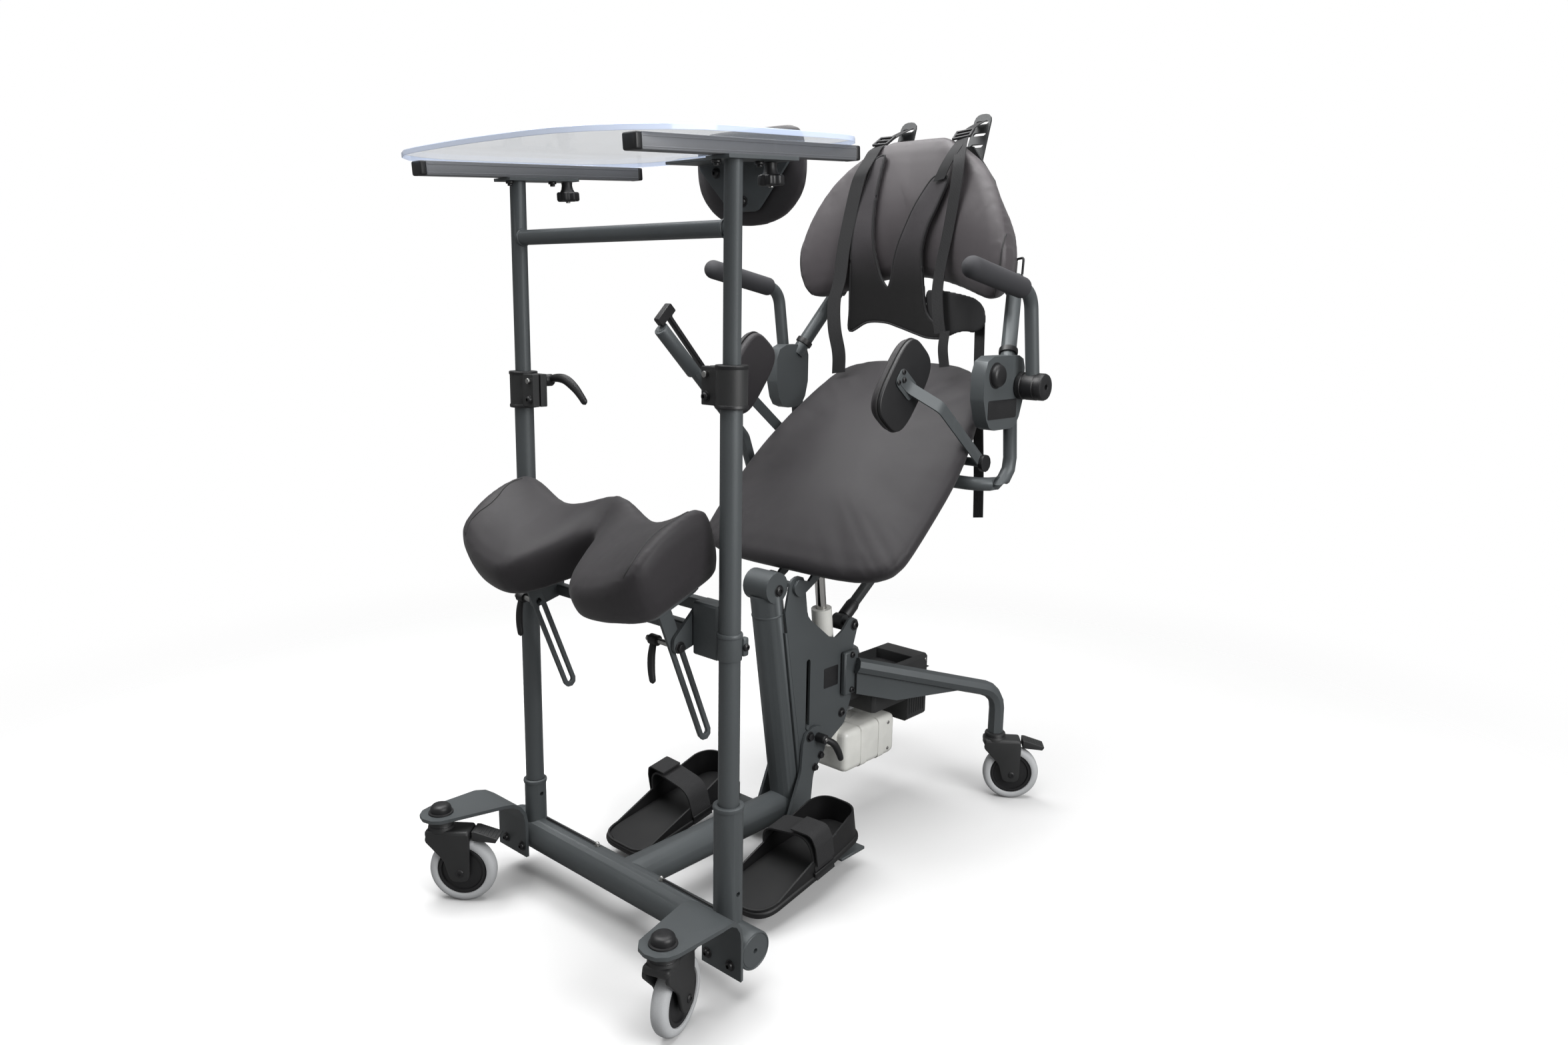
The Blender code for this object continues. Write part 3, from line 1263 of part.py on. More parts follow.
def knee_base():
    """Plate under the knee pad with the two slotted stems."""
    frame = knee_plane()
    half = KNEE_HALF - 0.035
    right = [(-half, 0.060, 0.02), (-0.100, 0.050, 0.02), (-0.060, 0.142, 0.02)]
    left = [(-x, y, radius) for x, y, radius in reversed(right)]
    edge = rounded(right + left + [(half, 0.168, 0.02), (-half, 0.168, 0.02)], 3)
    plate = sheet("plate", [edge], KNEE_BASE_T, frame @ level_plane(-GAP - KNEE_BASE_T / 2))
    down = stem_direction()
    length = (STEM_LOW - STEM_BOLT).length
    rise = 0.062
    top = STEM_BOLT - down * rise
    end = STEM_BOLT + down * length
    high_slot = STEM_BOLT - down * 0.004
    low_slot = end - down * 0.002
    pieces = [plate]
    for sign in (1, -1):
        bar = slot((top.y, top.z), (end.y, end.z), STEM_W / 2)
        gap = slot((high_slot.y, high_slot.z), (low_slot.y, low_slot.z), STEM_SLOT / 2)
        stem = sheet("stem", [bar, gap], STEM_T, side_plane(sign * STEM_X))
        keep = block("keep", (-1, -1, -1), (1, 1, -GAP - 0.001))
        keep.data.transform(frame)
        pieces.append(combine(stem, [keep], "INTERSECT"))
    return finish(union("base", pieces), "knee_base", "grey_paint", (0, STEM_BOLT.y, STEM_BOLT.z))


def knee_lever(side):
    """Cam lever on a knee stem's bolt; both hang on the user's right of their stem."""
    sign = SIDES[side]
    clear = 0.0068 if sign > 0 else 0.0078
    x = sign * STEM_X - STEM_T / 2 - clear
    pivot = Vector((x, STEM_BOLT.y, STEM_BOLT.z))
    rod = cylinder("rod", pivot, pivot - Vector((0.052, 0, 0)), 0.0045, 12)
    hub = cylinder("hub", pivot - Vector((0.027, 0, 0)), pivot - Vector((0.045, 0, 0)), 0.008, 14)
    start = pivot - Vector((0.036, 0, 0))
    route = [start, start + Vector((0.0, -0.006, -0.026)), start + Vector((0.006, -0.008, -0.066))]
    arm = tube("arm", bent(route, 0.020, 3), 0.0055, 2)
    return finish(union("lever", [rod, hub, arm]), f"knee_lever_{side}", "black_plastic", pivot)


# Feet

def foot_arm(side):
    """Arm plate beside the gusset plate, with the shelf under the foot plate and its slot bolt."""
    sign = SIDES[side]
    y, z = FOOT_LOCK
    toe, floor = FOOT_PIVOT[0] - 0.030, SHELF_Z
    edge = rounded([(y - 0.040, z + 0.022, 0.030), (y + 0.016, z + 0.024, 0.022),
                    (y + 0.026, z - 0.030, 0.030), (y - 0.010, z - 0.070, 0.030),
                    (y - 0.022, floor, 0.006), (toe, floor, 0.006), (toe, floor + 0.014, 0.006),
                    (y - 0.046, z - 0.060, 0.060)], 2)
    mid = FOOT_ARM_IN + FOOT_ARM_T / 2
    plate = sheet("plate", [edge], FOOT_ARM_T, side_plane(mid))
    shelf_top = floor + 0.006
    shelf = block("shelf", (FOOT_ARM_IN, toe, floor), (FOOT_X + 0.030, y - 0.022, shelf_top), 0.001, 1)
    lug_top = FOOT_PIVOT[1] + 0.010
    lug_low = (FOOT_X - 0.012, FOOT_PIVOT[0] + 0.021, shelf_top - 0.002)
    lug = block("lug", lug_low, (FOOT_X + 0.012, y - 0.024, lug_top), 0.001, 1)
    bolt_z = SLOT_Z[0] + 0.001
    bolt = cylinder("bolt", (PLATE_X + 0.001, SLOT_Y, bolt_z), (FOOT_ARM_IN + 0.001, SLOT_Y, bolt_z),
                    SLOT_R - SLIDE_GAP, 12)
    arm = union("arm", [plate, shelf, lug, bolt])
    if sign < 0:
        arm = replace_by_mirror(arm)
    return finish(arm, f"foot_arm_{side}", "grey_paint", (sign * mid, SLOT_Y, SLOT_Z[0]))


def sole_outline(grow=0.0):
    """Sandal outline as (x, y): narrow heel behind, broad toe in front."""
    toe, heel = FOOT_Y
    wide = FOOT_HALF - grow
    slim = FOOT_HALF * 0.80 - grow
    return rounded([(FOOT_X - wide, toe + grow, 0.030), (FOOT_X + wide, toe + grow, 0.045),
                    (FOOT_X + wide, toe + 0.140, 0.100), (FOOT_X + slim, heel - grow, 0.040),
                    (FOOT_X - slim, heel - grow, 0.040), (FOOT_X - wide, toe + 0.140, 0.100)], 2)


def foot_plate(side):
    """Sandal: sole, heel cup, and the strap arched over the foot."""
    sign = SIDES[side]
    sole = sheet("sole", [sole_outline()], SOLE_T, level_plane(FOOT_Z + SOLE_T / 2))
    wall_mid = FOOT_Z + SOLE_T / 2 + HEEL_WALL / 2
    cup = sheet("cup", [sole_outline(WALL_INSET), sole_outline(WALL_T)], HEEL_WALL, level_plane(wall_mid))
    front = block("front", (0, -0.1, 0), (0.4, FOOT_Y[1] - 0.120, 0.4))
    cup = cut(cup, [front])
    reach = FOOT_HALF + WALL_T / 2
    low, high = FOOT_Z + 0.004, FOOT_Z + FOOT_STRAP_RISE
    routes = []
    for inset in (0.0, FOOT_STRAP_T):
        left, right = FOOT_X + reach - inset, FOOT_X - reach + inset
        corners = [(right, low, 0), (right, high - inset, 0), (left, high - inset, 0), (left, low, 0)]
        routes.append(bent(corners, 0.038 - inset))
    arch, under = routes
    strap_y = FOOT_Y[0] + FOOT_STRAP_Y
    strap = sheet("strap", [arch + under[::-1]], FOOT_STRAP_W, front_plane(strap_y))
    lug_mid_y = FOOT_PIVOT[0]
    lug = block("lug", (FOOT_X - 0.016, lug_mid_y - 0.012, FOOT_PIVOT[1] - 0.008),
                (FOOT_X + 0.016, lug_mid_y + 0.012, FOOT_Z + 0.002), 0.002, 1)
    plate = union("plate", [sole, cup, strap, lug])
    away = Matrix.Translation((0, *FOOT_PIVOT))
    plate.data.transform(away @ Matrix.Rotation(FOOT_TILT, 4, "X") @ away.inverted())
    if sign < 0:
        plate = replace_by_mirror(plate)
    return finish(plate, f"foot_plate_{side}", "black_plastic", (sign * FOOT_X, *FOOT_PIVOT))


def foot_lever(side):
    """Clamping lever on the foot arm's lock bolt."""
    sign = SIDES[side]
    x = FOOT_ARM_IN + FOOT_ARM_T + GAP
    pivot = Vector((x, *FOOT_LOCK))
    hub = cylinder("hub", pivot, pivot + Vector((0.022, 0, 0)), 0.009, 16)
    start = pivot + Vector((0.015, 0, 0))
    route = [start, start + Vector((0.010, 0.018, -0.012)), start + Vector((0.012, 0.040, -0.052))]
    arm = tube("arm", bent(route, 0.020, 3), 0.006, 2)
    lever = union("lever", [hub, arm])
    if sign < 0:
        lever = replace_by_mirror(lever)
    return finish(lever, f"foot_lever_{side}", "black_plastic", (sign * x, *FOOT_LOCK))


def main():
    """Build every part and hang it on the frame's own origin."""
    clear_scene()
    pieces = [base_frame(), control_box(), actuator_body(), actuator_rod(), link_arm(), seat_frame(),
              seat_cushion(), back_frame(), back_cushion(), back_shell(), harness(), hand_lever(),
              squeeze_trigger(), lower_frame(), upper_frame(), tray(), chest_bracket(), chest_pad(),
              knee_pad(), knee_base()]
    sided = (side_plate, rear_leg, caster_bracket, handle, hip_bar, hip_pad, clamp, clamp_lever, tray_rail,
             tray_knob, knee_lever, foot_arm, foot_plate, foot_lever)
    for make in sided:
        pieces += [make(side) for side in SIDES]
    front_top = BRACKET_TOP - BRACKET_T - GAP
    headings = {"front_left": 19, "front_right": -51, "rear_left": -53, "rear_right": 40}
    for position, degrees in headings.items():
        sign = SIDES[position.split("_")[1]]
        x, y = FRONT_CASTER if position.startswith("front") else REAR_CASTER
        top = front_top if position.startswith("front") else FORK_TOP
        pieces.append(caster(position, (sign * x, y), math.radians(degrees), top))
    root = bpy.data.objects.new("standing_frame", None)
    parts.objects.link(root)
    root.location = (0, -ORIGIN_Y, 0)
    for piece in pieces:
        piece.parent = root


main()
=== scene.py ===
"""Dressed model of a sit-to-stand standing frame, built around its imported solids.

Metres, +Z up. The user faces -Y and the user's left is +X. Places along Y are written from the line
of the two front posts, as the solids' sizes are, and POST_LINE moves them into the shared frame.
"""

from __future__ import annotations

import json
import logging
import math
from dataclasses import dataclass, field
from enum import Enum
from typing import Callable, Sequence

import bmesh
import bpy
import numpy as np
from mathutils import Matrix, Vector
from mathutils.bvhtree import BVHTree

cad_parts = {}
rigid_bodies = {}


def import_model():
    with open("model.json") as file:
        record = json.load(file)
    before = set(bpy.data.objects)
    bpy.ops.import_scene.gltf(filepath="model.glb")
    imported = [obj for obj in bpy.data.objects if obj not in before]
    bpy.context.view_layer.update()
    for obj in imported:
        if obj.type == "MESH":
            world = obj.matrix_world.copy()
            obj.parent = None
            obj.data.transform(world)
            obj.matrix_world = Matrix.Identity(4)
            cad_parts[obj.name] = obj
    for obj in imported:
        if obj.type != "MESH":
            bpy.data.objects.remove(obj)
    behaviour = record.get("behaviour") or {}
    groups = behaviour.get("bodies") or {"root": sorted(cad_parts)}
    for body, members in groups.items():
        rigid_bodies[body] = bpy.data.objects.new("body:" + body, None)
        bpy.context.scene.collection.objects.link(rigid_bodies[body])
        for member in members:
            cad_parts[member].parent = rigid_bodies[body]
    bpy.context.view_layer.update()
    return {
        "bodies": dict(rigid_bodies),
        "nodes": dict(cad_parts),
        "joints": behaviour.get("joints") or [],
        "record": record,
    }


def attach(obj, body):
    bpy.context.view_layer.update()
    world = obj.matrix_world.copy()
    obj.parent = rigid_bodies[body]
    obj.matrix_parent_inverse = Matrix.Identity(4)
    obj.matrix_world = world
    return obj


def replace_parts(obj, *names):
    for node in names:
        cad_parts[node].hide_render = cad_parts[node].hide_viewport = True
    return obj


LOG = logging.getLogger("standing_frame")
POST_LINE = -0.34229
LEVEL = 1e-7
X_AXIS, Y_AXIS, Z_AXIS = Vector((1, 0, 0)), Vector((0, 1, 0)), Vector((0, 0, 1))
Colour = tuple[float, float, float]
Point = Sequence[float]
Spot = tuple[float, float]


class Side(Enum):
    """The user's two sides, as the sign of X."""

    LEFT = 1
    RIGHT = -1

    @property
    def word(self) -> str:
        """The side's name in node names."""
        return self.name.lower()


class Caster(Enum):
    """The four casters: stem place from the post line, and heading in degrees."""

    FRONT_LEFT = (0.2825, -0.165, 19)
    FRONT_RIGHT = (-0.2825, -0.165, -51)
    REAR_LEFT = (0.190, 0.848, -53)
    REAR_RIGHT = (-0.190, 0.848, 40)

    @property
    def word(self) -> str:
        """The caster's name in node names."""
        return self.name.lower()

    @property
    def collar_top(self) -> float:
        """Height of the top of the swivel collar."""
        return 0.1517 if self.name.startswith("FRONT") else 0.145

    def placement(self) -> Matrix:
        """Matrix from the caster's own stem to the shared frame.

        Returns:
            The placement.
        """
        x, y, degrees = self.value
        turn = Matrix.Rotation(math.radians(degrees), 4, "Z")
        return Matrix.Translation(at(x, y, 0.0)) @ turn


def at(x: float, y: float, z: float) -> Vector:
    """A point of the shared frame, with y taken from the post line."""
    return Vector((x, y + POST_LINE, z))


# Shader expressions


class Value:
    """A shader socket that takes part in Python arithmetic."""

    def __init__(self, graph: "Graph", socket: bpy.types.NodeSocket) -> None:
        """Keep the socket and the graph that owns it."""
        self.graph = graph
        self.socket = socket

    def _math(self, operation: str, first: "Value | float", second: "Value | float" = 0.0) -> "Value":
        """Add one Math node.

        Args:
            operation: the Math node's operation.
            first: its first value or link.
            second: its second value or link.

        Returns:
            The node's result.
        """
        node = self.graph.node("ShaderNodeMath", {"operation": operation}, {0: first, 1: second})
        return Value(self.graph, node.outputs[0])

    def __add__(self, other: "Value | float") -> "Value":
        """Sum."""
        return self._math("ADD", self, other)

    def __sub__(self, other: "Value | float") -> "Value":
        """Difference."""
        return self._math("SUBTRACT", self, other)

    def __rsub__(self, other: "Value | float") -> "Value":
        """Difference from a number."""
        return self._math("SUBTRACT", other, self)

    def __mul__(self, other: "Value | float") -> "Value":
        """Product."""
        return self._math("MULTIPLY", self, other)

    def sine(self) -> "Value":
        """Sine of an angle in radians."""
        return self._math("SINE", self)

    def largest(self, other: "Value | float") -> "Value":
        """The greater of two values."""
        return self._math("MAXIMUM", self, other)

    __radd__ = __add__
    __rmul__ = __mul__


class Graph:
    """The node tree of one material or of the surroundings."""

    def __init__(self, name: str, world: bool = False) -> None:
        """Start a material with its Principled shader, or empty surroundings.

        Args:
            name: what it is called.
            world: whether it is for the surroundings.
        """
        self.owner = (bpy.data.worlds if world else bpy.data.materials).new(name)
        self.owner.use_nodes = True
        self.tree = self.owner.node_tree
        if world:
            self.tree.nodes.clear()
        self.shader = self.tree.nodes.get("Principled BSDF")

    def node(self, kind: str, settings: dict | None = None, sockets: dict | None = None) -> bpy.types.Node:
        """Add a node, with its settings first and its sockets after.

        Args:
            kind: the node's type.
            settings: attributes of the node; "stops" fills a ramp.
            sockets: values or links by socket name or index.

        Returns:
            The new node.
        """
        node = self.tree.nodes.new(kind)
        for key, value in (settings or {}).items():
            if key == "stops":
                ramp = node.color_ramp
                for place, level in value:
                    ends = {0.0: 0, 1.0: -1}
                    stop = ramp.elements[ends[place]] if place in ends else ramp.elements.new(place)
                    stop.color = (level, level, level, 1.0)
            else:
                setattr(node, key, value)
        self.fill(node, sockets or {})
        return node

    def fill(self, node: bpy.types.Node, sockets: dict) -> None:
        """Set or link a node's sockets.

        Args:
            node: the node.
            sockets: values or links by socket name or index.
        """
        for key, value in sockets.items():
            target = node.inputs[key]
            if isinstance(value, Value):
                self.tree.links.new(value.socket, target)
            elif isinstance(value, tuple) and len(value) == 3 and target.type == "RGBA":
                target.default_value = (*value, 1.0)
            else:
                target.default_value = value

    def paint(self, **sockets: object) -> None:
        """Set the shader's own sockets, with underscores for spaces."""
        self.fill(self.shader, {key.replace("_", " "): value for key, value in sockets.items()})

    def place(self, stretch: Point = (1.0, 1.0, 1.0)) -> Value:
        """Object coordinates, scaled along each axis.

        Args:
            stretch: the scale along each axis.

        Returns:
            The coordinates.
        """
        source = Value(self, self.node("ShaderNodeTexCoord").outputs["Object"])
        mapped = self.node("ShaderNodeMapping", None, {"Vector": source, "Scale": stretch})
        return Value(self, mapped.outputs[0])

    def rise(self, low: float, high: float) -> Value:
        """Height over the floor, eased from 0 at the low level to 1 at the high one.

        Args:
            low: the height where it is 0.
            high: the height where it is 1.

        Returns:
            The share, 0 to 1.
        """
        split = self.node("ShaderNodeSeparateXYZ", None, {0: self.place()})
        node = self.node("ShaderNodeMapRange", {"interpolation_type": "SMOOTHSTEP"},
                         {"Value": Value(self, split.outputs[2]), "From Min": low, "From Max": high})
        return Value(self, node.outputs[0])

    def across(self) -> tuple[Value, Value]:
        """The piece's UV map, split in two.

        Returns:
            The places across and along.
        """
        source = Value(self, self.node("ShaderNodeTexCoord").outputs["UV"])
        split = self.node("ShaderNodeSeparateXYZ", None, {0: source})
        return Value(self, split.outputs[0]), Value(self, split.outputs[1])

    def noise(self, scale: float, detail: float = 3.0, where: Value | None = None) -> Value:
        """Noise from 0 to 1.

        Args:
            scale: cells in a metre.
            detail: octaves.
            where: coordinates, or none for the object's own.

        Returns:
            The noise.
        """
        spot = where or self.place()
        node = self.node("ShaderNodeTexNoise", None, {"Vector": spot, "Scale": scale, "Detail": detail})
        return Value(self, node.outputs[0])

    def cells(self, scale: float) -> Value:
        """Distance to the edge of Voronoi cells.

        Args:
            scale: cells in a metre.

        Returns:
            The distance.
        """
        settings = {"feature": "DISTANCE_TO_EDGE"}
        node = self.node("ShaderNodeTexVoronoi", settings, {"Vector": self.place(), "Scale": scale})
        return Value(self, node.outputs[0])

    def ramp(self, value: Value, *stops: Spot) -> Value:
        """A value passed through grey stops."""
        node = self.node("ShaderNodeValToRGB", {"stops": stops}, {0: value})
        return Value(self, node.outputs[0])

    def tint(self, factor: Value, low: Colour, high: Colour) -> Value:
        """A colour between two.

        Args:
            factor: place between them, 0 to 1.
            low: the colour at 0.
            high: the colour at 1.

        Returns:
            The colour.
        """
        settings = {"data_type": "RGBA"}
        node = self.node("ShaderNodeMix", settings, {0: factor, 6: (*low, 1.0), 7: (*high, 1.0)})
        return Value(self, node.outputs[2])

    def bump(self, height: Value, depth: float) -> Value:
        """A normal from a height of 0 to 1, with its depth in metres at 1."""
        node = self.node("ShaderNodeBump", None, {"Height": height, "Distance": depth, "Strength": 1.0})
        return Value(self, node.outputs[0])


def shade(colour: Colour, factor: float) -> Colour:
    """A colour made lighter or darker."""
    return (colour[0] * factor, colour[1] * factor, colour[2] * factor)


# Finishes


@dataclass(frozen=True)
class Finish:
    """A surface finish; the subclasses give its detail."""

    name: str
    colour: Colour
    roughness: float
    slot: str

    def graph(self) -> Graph:
        """The finish's material graph."""
        raise NotImplementedError

    def material(self) -> bpy.types.Material:
        """The finish's material, made once."""
        return bpy.data.materials.get(self.name) or self.graph().owner


@dataclass(frozen=True)
class PowderCoat(Finish):
    """Fine-textured powder coat with faint scuffs."""

    peel: float = 0.00016

    def graph(self) -> Graph:
        """Orange-peel bump, slow colour drift and thin pale scuffs.

        Returns:
            The finish's graph.
        """
        graph = Graph(self.name)
        drift = graph.noise(7.0, 2.0)
        speck = graph.noise(1500.0, 2.0)
        streak = graph.noise(34.0, 4.0, graph.place((1.0, 1.0, 0.12)))
        scuff = graph.ramp(streak, (0.0, 0.0), (0.70, 0.0), (0.76, 0.35), (1.0, 0.5))
        tone = drift * 0.55 + speck * 0.35 + scuff * 0.30
        graph.paint(Base_Color=graph.tint(tone, shade(self.colour, 0.80), shade(self.colour, 1.32)))
        graph.paint(Roughness=speck * 0.12 + scuff * 0.10 + (self.roughness - 0.06), Metallic=0.25)
        graph.paint(Normal=graph.bump(speck + graph.noise(420.0, 1.0) * 0.6, self.peel))
        return graph


@dataclass(frozen=True)
class Moulded(Finish):
    """Moulded plastic with a fine spark-eroded grain."""

    grain: float = 0.00010
    gloss: float = 0.0

    def graph(self) -> Graph:
        """Grain bump, handling marks in the roughness and a slow tone.

        Returns:
            The finish's graph.
        """
        graph = Graph(self.name)
        grain = graph.noise(1900.0, 2.0)
        wear = graph.noise(22.0, 4.0)
        tone = wear * 0.6 + grain * 0.4
        graph.paint(Base_Color=graph.tint(tone, shade(self.colour, 0.78), shade(self.colour, 1.30)))
        graph.paint(Roughness=wear * 0.16 + (self.roughness - 0.08), Coat_Weight=self.gloss)
        graph.paint(Normal=graph.bump(grain, self.grain))
        return graph


@dataclass(frozen=True)
class Vinyl(Finish):
    """Soft upholstery vinyl with a leather grain; it may carry painted shade that darkens it towards the
    bottom.
    """

    low: float = 0.80
    high: float = 1.20
    shine: float = 0.5
    hem: Spot | None = None

    def graph(self) -> Graph:
        """Pebble grain from cells, finer noise over it, and a soft sheen.

        Returns:
            The finish's graph.
        """
        graph = Graph(self.name)
        pebble = graph.ramp(graph.cells(780.0), (0.0, 0.0), (0.10, 0.75), (1.0, 1.0))
        fine = graph.noise(2300.0, 2.0)
        slow = graph.noise(9.0, 3.0)
        tone = slow * 0.55 + pebble * 0.25 + fine * 0.15
        # Painted shade: below the given heights the tone fades to the low colour, darkening the lower part.
        if self.hem:
            tone = tone * graph.rise(*self.hem)
        graph.paint(Base_Color=graph.tint(tone, shade(self.colour, self.low),
                                          shade(self.colour, self.high)))
        graph.paint(Roughness=slow * 0.10 + fine * 0.06 + (self.roughness - 0.06))
        graph.paint(Normal=graph.bump(pebble + fine * 0.5 + slow * 0.8, 0.00010))
        graph.paint(Sheen_Weight=0.12, Sheen_Roughness=0.5, Specular_IOR_Level=self.shine)
        return graph


@dataclass(frozen=True)
class Webbing(Finish):
    """Woven polyester webbing; the weave follows the strap's own UV map, in metres."""

    rib: float = 0.0016

    def graph(self) -> Graph:
        """Herringbone ribs across and along, with a fuzz over them.

        Returns:
            The finish's graph.
        """
        graph = Graph(self.name)
        side, along = graph.across()
        wave = 2.0 * math.pi / self.rib
        weft = (along * wave).sine()
        warp = (side * (wave * 0.75) + weft * 1.1).sine()
        weave = warp * 0.5 + weft * 0.25 + 0.5
        fuzz = graph.noise(1600.0, 2.0)
        tone = weave * 0.55 + fuzz * 0.45
        graph.paint(Base_Color=graph.tint(tone, shade(self.colour, 0.55), shade(self.colour, 1.6)))
        graph.paint(Roughness=fuzz * 0.12 + (self.roughness - 0.06))
        graph.paint(Normal=graph.bump(weave + fuzz * 0.4, 0.00025))
        return graph


@dataclass(frozen=True)
class Foam(Finish):
    """Closed-cell foam or rubber with a fine skin."""

    pores: float = 1300.0

    def graph(self) -> Graph:
        """Pore bump and a dusty tone.

        Returns:
            The finish's graph.
        """
        graph = Graph(self.name)
        pores = graph.noise(self.pores, 3.0)
        dust = graph.noise(16.0, 4.0)
        tone = dust * 0.6 + pores * 0.4
        graph.paint(Base_Color=graph.tint(tone, shade(self.colour, 0.78), shade(self.colour, 1.28)))
        graph.paint(Roughness=dust * 0.14 + (self.roughness - 0.07))
        graph.paint(Normal=graph.bump(pores, 0.00018))
        return graph


@dataclass(frozen=True)
class Metal(Finish):
    """Bare or plated steel with fine turning marks."""

    def graph(self) -> Graph:
        """Lines along the piece in roughness and tone.

        Returns:
            The finish's graph.
        """
        graph = Graph(self.name)
        lines = graph.noise(240.0, 2.0, graph.place((1.0, 1.0, 0.06)))
        graph.paint(Base_Color=graph.tint(lines, shade(self.colour, 0.86), shade(self.colour, 1.10)))
        graph.paint(Roughness=lines * 0.16 + (self.roughness - 0.08), Metallic=1.0)
        return graph


@dataclass(frozen=True)
class Acrylic(Finish):
    """Clear sheet with a pale haze; the cut edge is bluer and denser."""

    haze: float = 0.03

    def graph(self) -> Graph:
        """Even haze with faint wiping marks in the roughness.

        Returns:
            The finish's graph.
        """
        graph = Graph(self.name)
        wipe = graph.noise(12.0, 4.0, graph.place((1.0, 0.2, 1.0)))
        graph.paint(Base_Color=graph.tint(wipe, shade(self.colour, 0.97), self.colour))
        graph.paint(Roughness=wipe * 0.08 + (self.roughness - 0.03), Alpha=self.haze, IOR=1.49)
        return graph


GREY = PowderCoat("grey_powder_coat", (0.080, 0.089, 0.093), 0.44, "frame_paint")
RAIL_GREY = PowderCoat("rail_powder_coat", (0.150, 0.155, 0.165), 0.42, "frame_paint")
DARK_GREY = PowderCoat("dark_powder_coat", (0.030, 0.032, 0.033), 0.48, "frame_paint")
BLACK = Moulded("black_moulding", (0.011, 0.011, 0.012), 0.42, "black_plastic")
FORK = Moulded("fork_moulding", (0.022, 0.0225, 0.023), 0.50, "fork_plastic")
CREAM = Moulded("cream_moulding", (0.740, 0.740, 0.700), 0.38, "cream_plastic", gloss=0.2)
TYRE = Foam("grey_tyre", (0.500, 0.510, 0.520), 0.60, "tyre", pores=600.0)
GRIP = Foam("foam_grip", (0.031, 0.031, 0.035), 0.80, "black_plastic")
SANDAL = Moulded("sandal_moulding", (0.0050, 0.0050, 0.0055), 0.48, "black_plastic")
MAT = Foam("sole_mat", (0.0055, 0.0055, 0.0060), 0.70, "black_plastic")
VINYL = Vinyl("charcoal_vinyl", (0.0200, 0.0175, 0.0200), 0.45, "vinyl", shine=0.36)
# Lighter copy of the charcoal vinyl above: painted light for the light from above on the high back cushion.
LIT_BACK_VINYL = Vinyl("back_vinyl", (0.0530, 0.0465, 0.0505), 0.42, "vinyl")
SEAM = Vinyl("seam_cord", (0.007, 0.0065, 0.007), 0.50, "vinyl")
WEB = Webbing("black_webbing", (0.015, 0.015, 0.016), 0.82, "webbing")
# The vest's cloth: its low and high colours and its height band paint shade that darkens its lower part.
VEST = Vinyl("vest_cloth", (0.046, 0.042, 0.046), 0.52, "webbing", 0.07, 1.60, 0.28, (1.050, 1.160))
CHROME = Metal("chrome_rod", (0.600, 0.590, 0.570), 0.14, "chrome")
STEEL = Metal("zinc_bolt", (0.420, 0.420, 0.410), 0.30, "chrome")
BLACK_BOLT = Moulded("black_bolt", (0.012, 0.012, 0.013), 0.34, "black_plastic")
CLEAR = Acrylic("clear_tray", (0.860, 0.880, 0.960), 0.06, "clear_tray")
CLEAR_EDGE = Acrylic("clear_tray_edge", (0.640, 0.740, 0.960), 0.08, "clear_tray", haze=0.80)


# Mesh making


def frame_of(direction: Vector, up: Vector = Z_AXIS) -> Matrix:
    """A turn whose Z runs along a direction.

    Args:
        direction: where Z goes.
        up: which way X leans, as far as it can.

    Returns:
        The 3 by 3 turn.
    """
    z = direction.normalized()
    hint = up if abs(z.dot(up)) < 0.99 else X_AXIS
    y = z.cross(hint).normalized()
    return Matrix((y.cross(z), y, z)).transposed()


def aimed(spot: Point, way: Point) -> Matrix:
    """Placement at a spot, with its own Z along a direction."""
    return Matrix.Translation(Vector(spot)) @ frame_of(Vector(way)).to_4x4()


def across_x(x: float, y: float = 0.0) -> Matrix:
    """Placement of a plate across X, drawn as (y, z)."""
    return Matrix(((0, 0, 1, x), (1, 0, 0, y), (0, 1, 0, 0), (0, 0, 0, 1)))


def eased(value: float, low: float, high: float) -> float:
    """Share of the way from a low to a high value, slow at both ends."""
    share = max(0.0, min(1.0, (value - low) / (high - low)))
    return share * share * (3 - 2 * share)


def both_faces(profile: Sequence[Spot]) -> list[Spot]:
    """A wheel's profile from the half of it on one side."""
    return [*profile, *((radius, -level) for radius, level in reversed(profile))]


def linked(bm: bmesh.types.BMesh, name: str) -> bpy.types.Object:
    """An object of the scene made from a bmesh, which is freed.

    Args:
        bm: the bmesh.
        name: what it is called.

    Returns:
        The object.
    """
    mesh = bpy.data.meshes.new(name)
    bm.to_mesh(mesh)
    bm.free()
    obj = bpy.data.objects.new(name, mesh)
    bpy.context.scene.collection.objects.link(obj)
    return obj


def fillet(points: Sequence[Point], radius: float, steps: int = 8) -> list[Vector]:
    """An open route whose inner corners are rounded.

    Args:
        points: the corners.
        radius: bend radius.
        steps: points in each bend.

    Returns:
        The route.
    """
    spots = [Vector(p) for p in points]
    route = [spots[0]]
    for before, corner, after in zip(spots, spots[1:], spots[2:]):
        back, on = (before - corner).normalized(), (after - corner).normalized()
        half = back.angle(on) / 2
        reach = min(radius / math.tan(half), 0.49 * (before - corner).length,
                    0.49 * (after - corner).length)
        first, last = corner + back * reach, corner + on * reach
        for step in range(steps + 1):
            t = step / steps
            route.append(first * (1 - t) ** 2 + corner * (2 * t * (1 - t)) + last * t ** 2)
    return route + [spots[-1]]


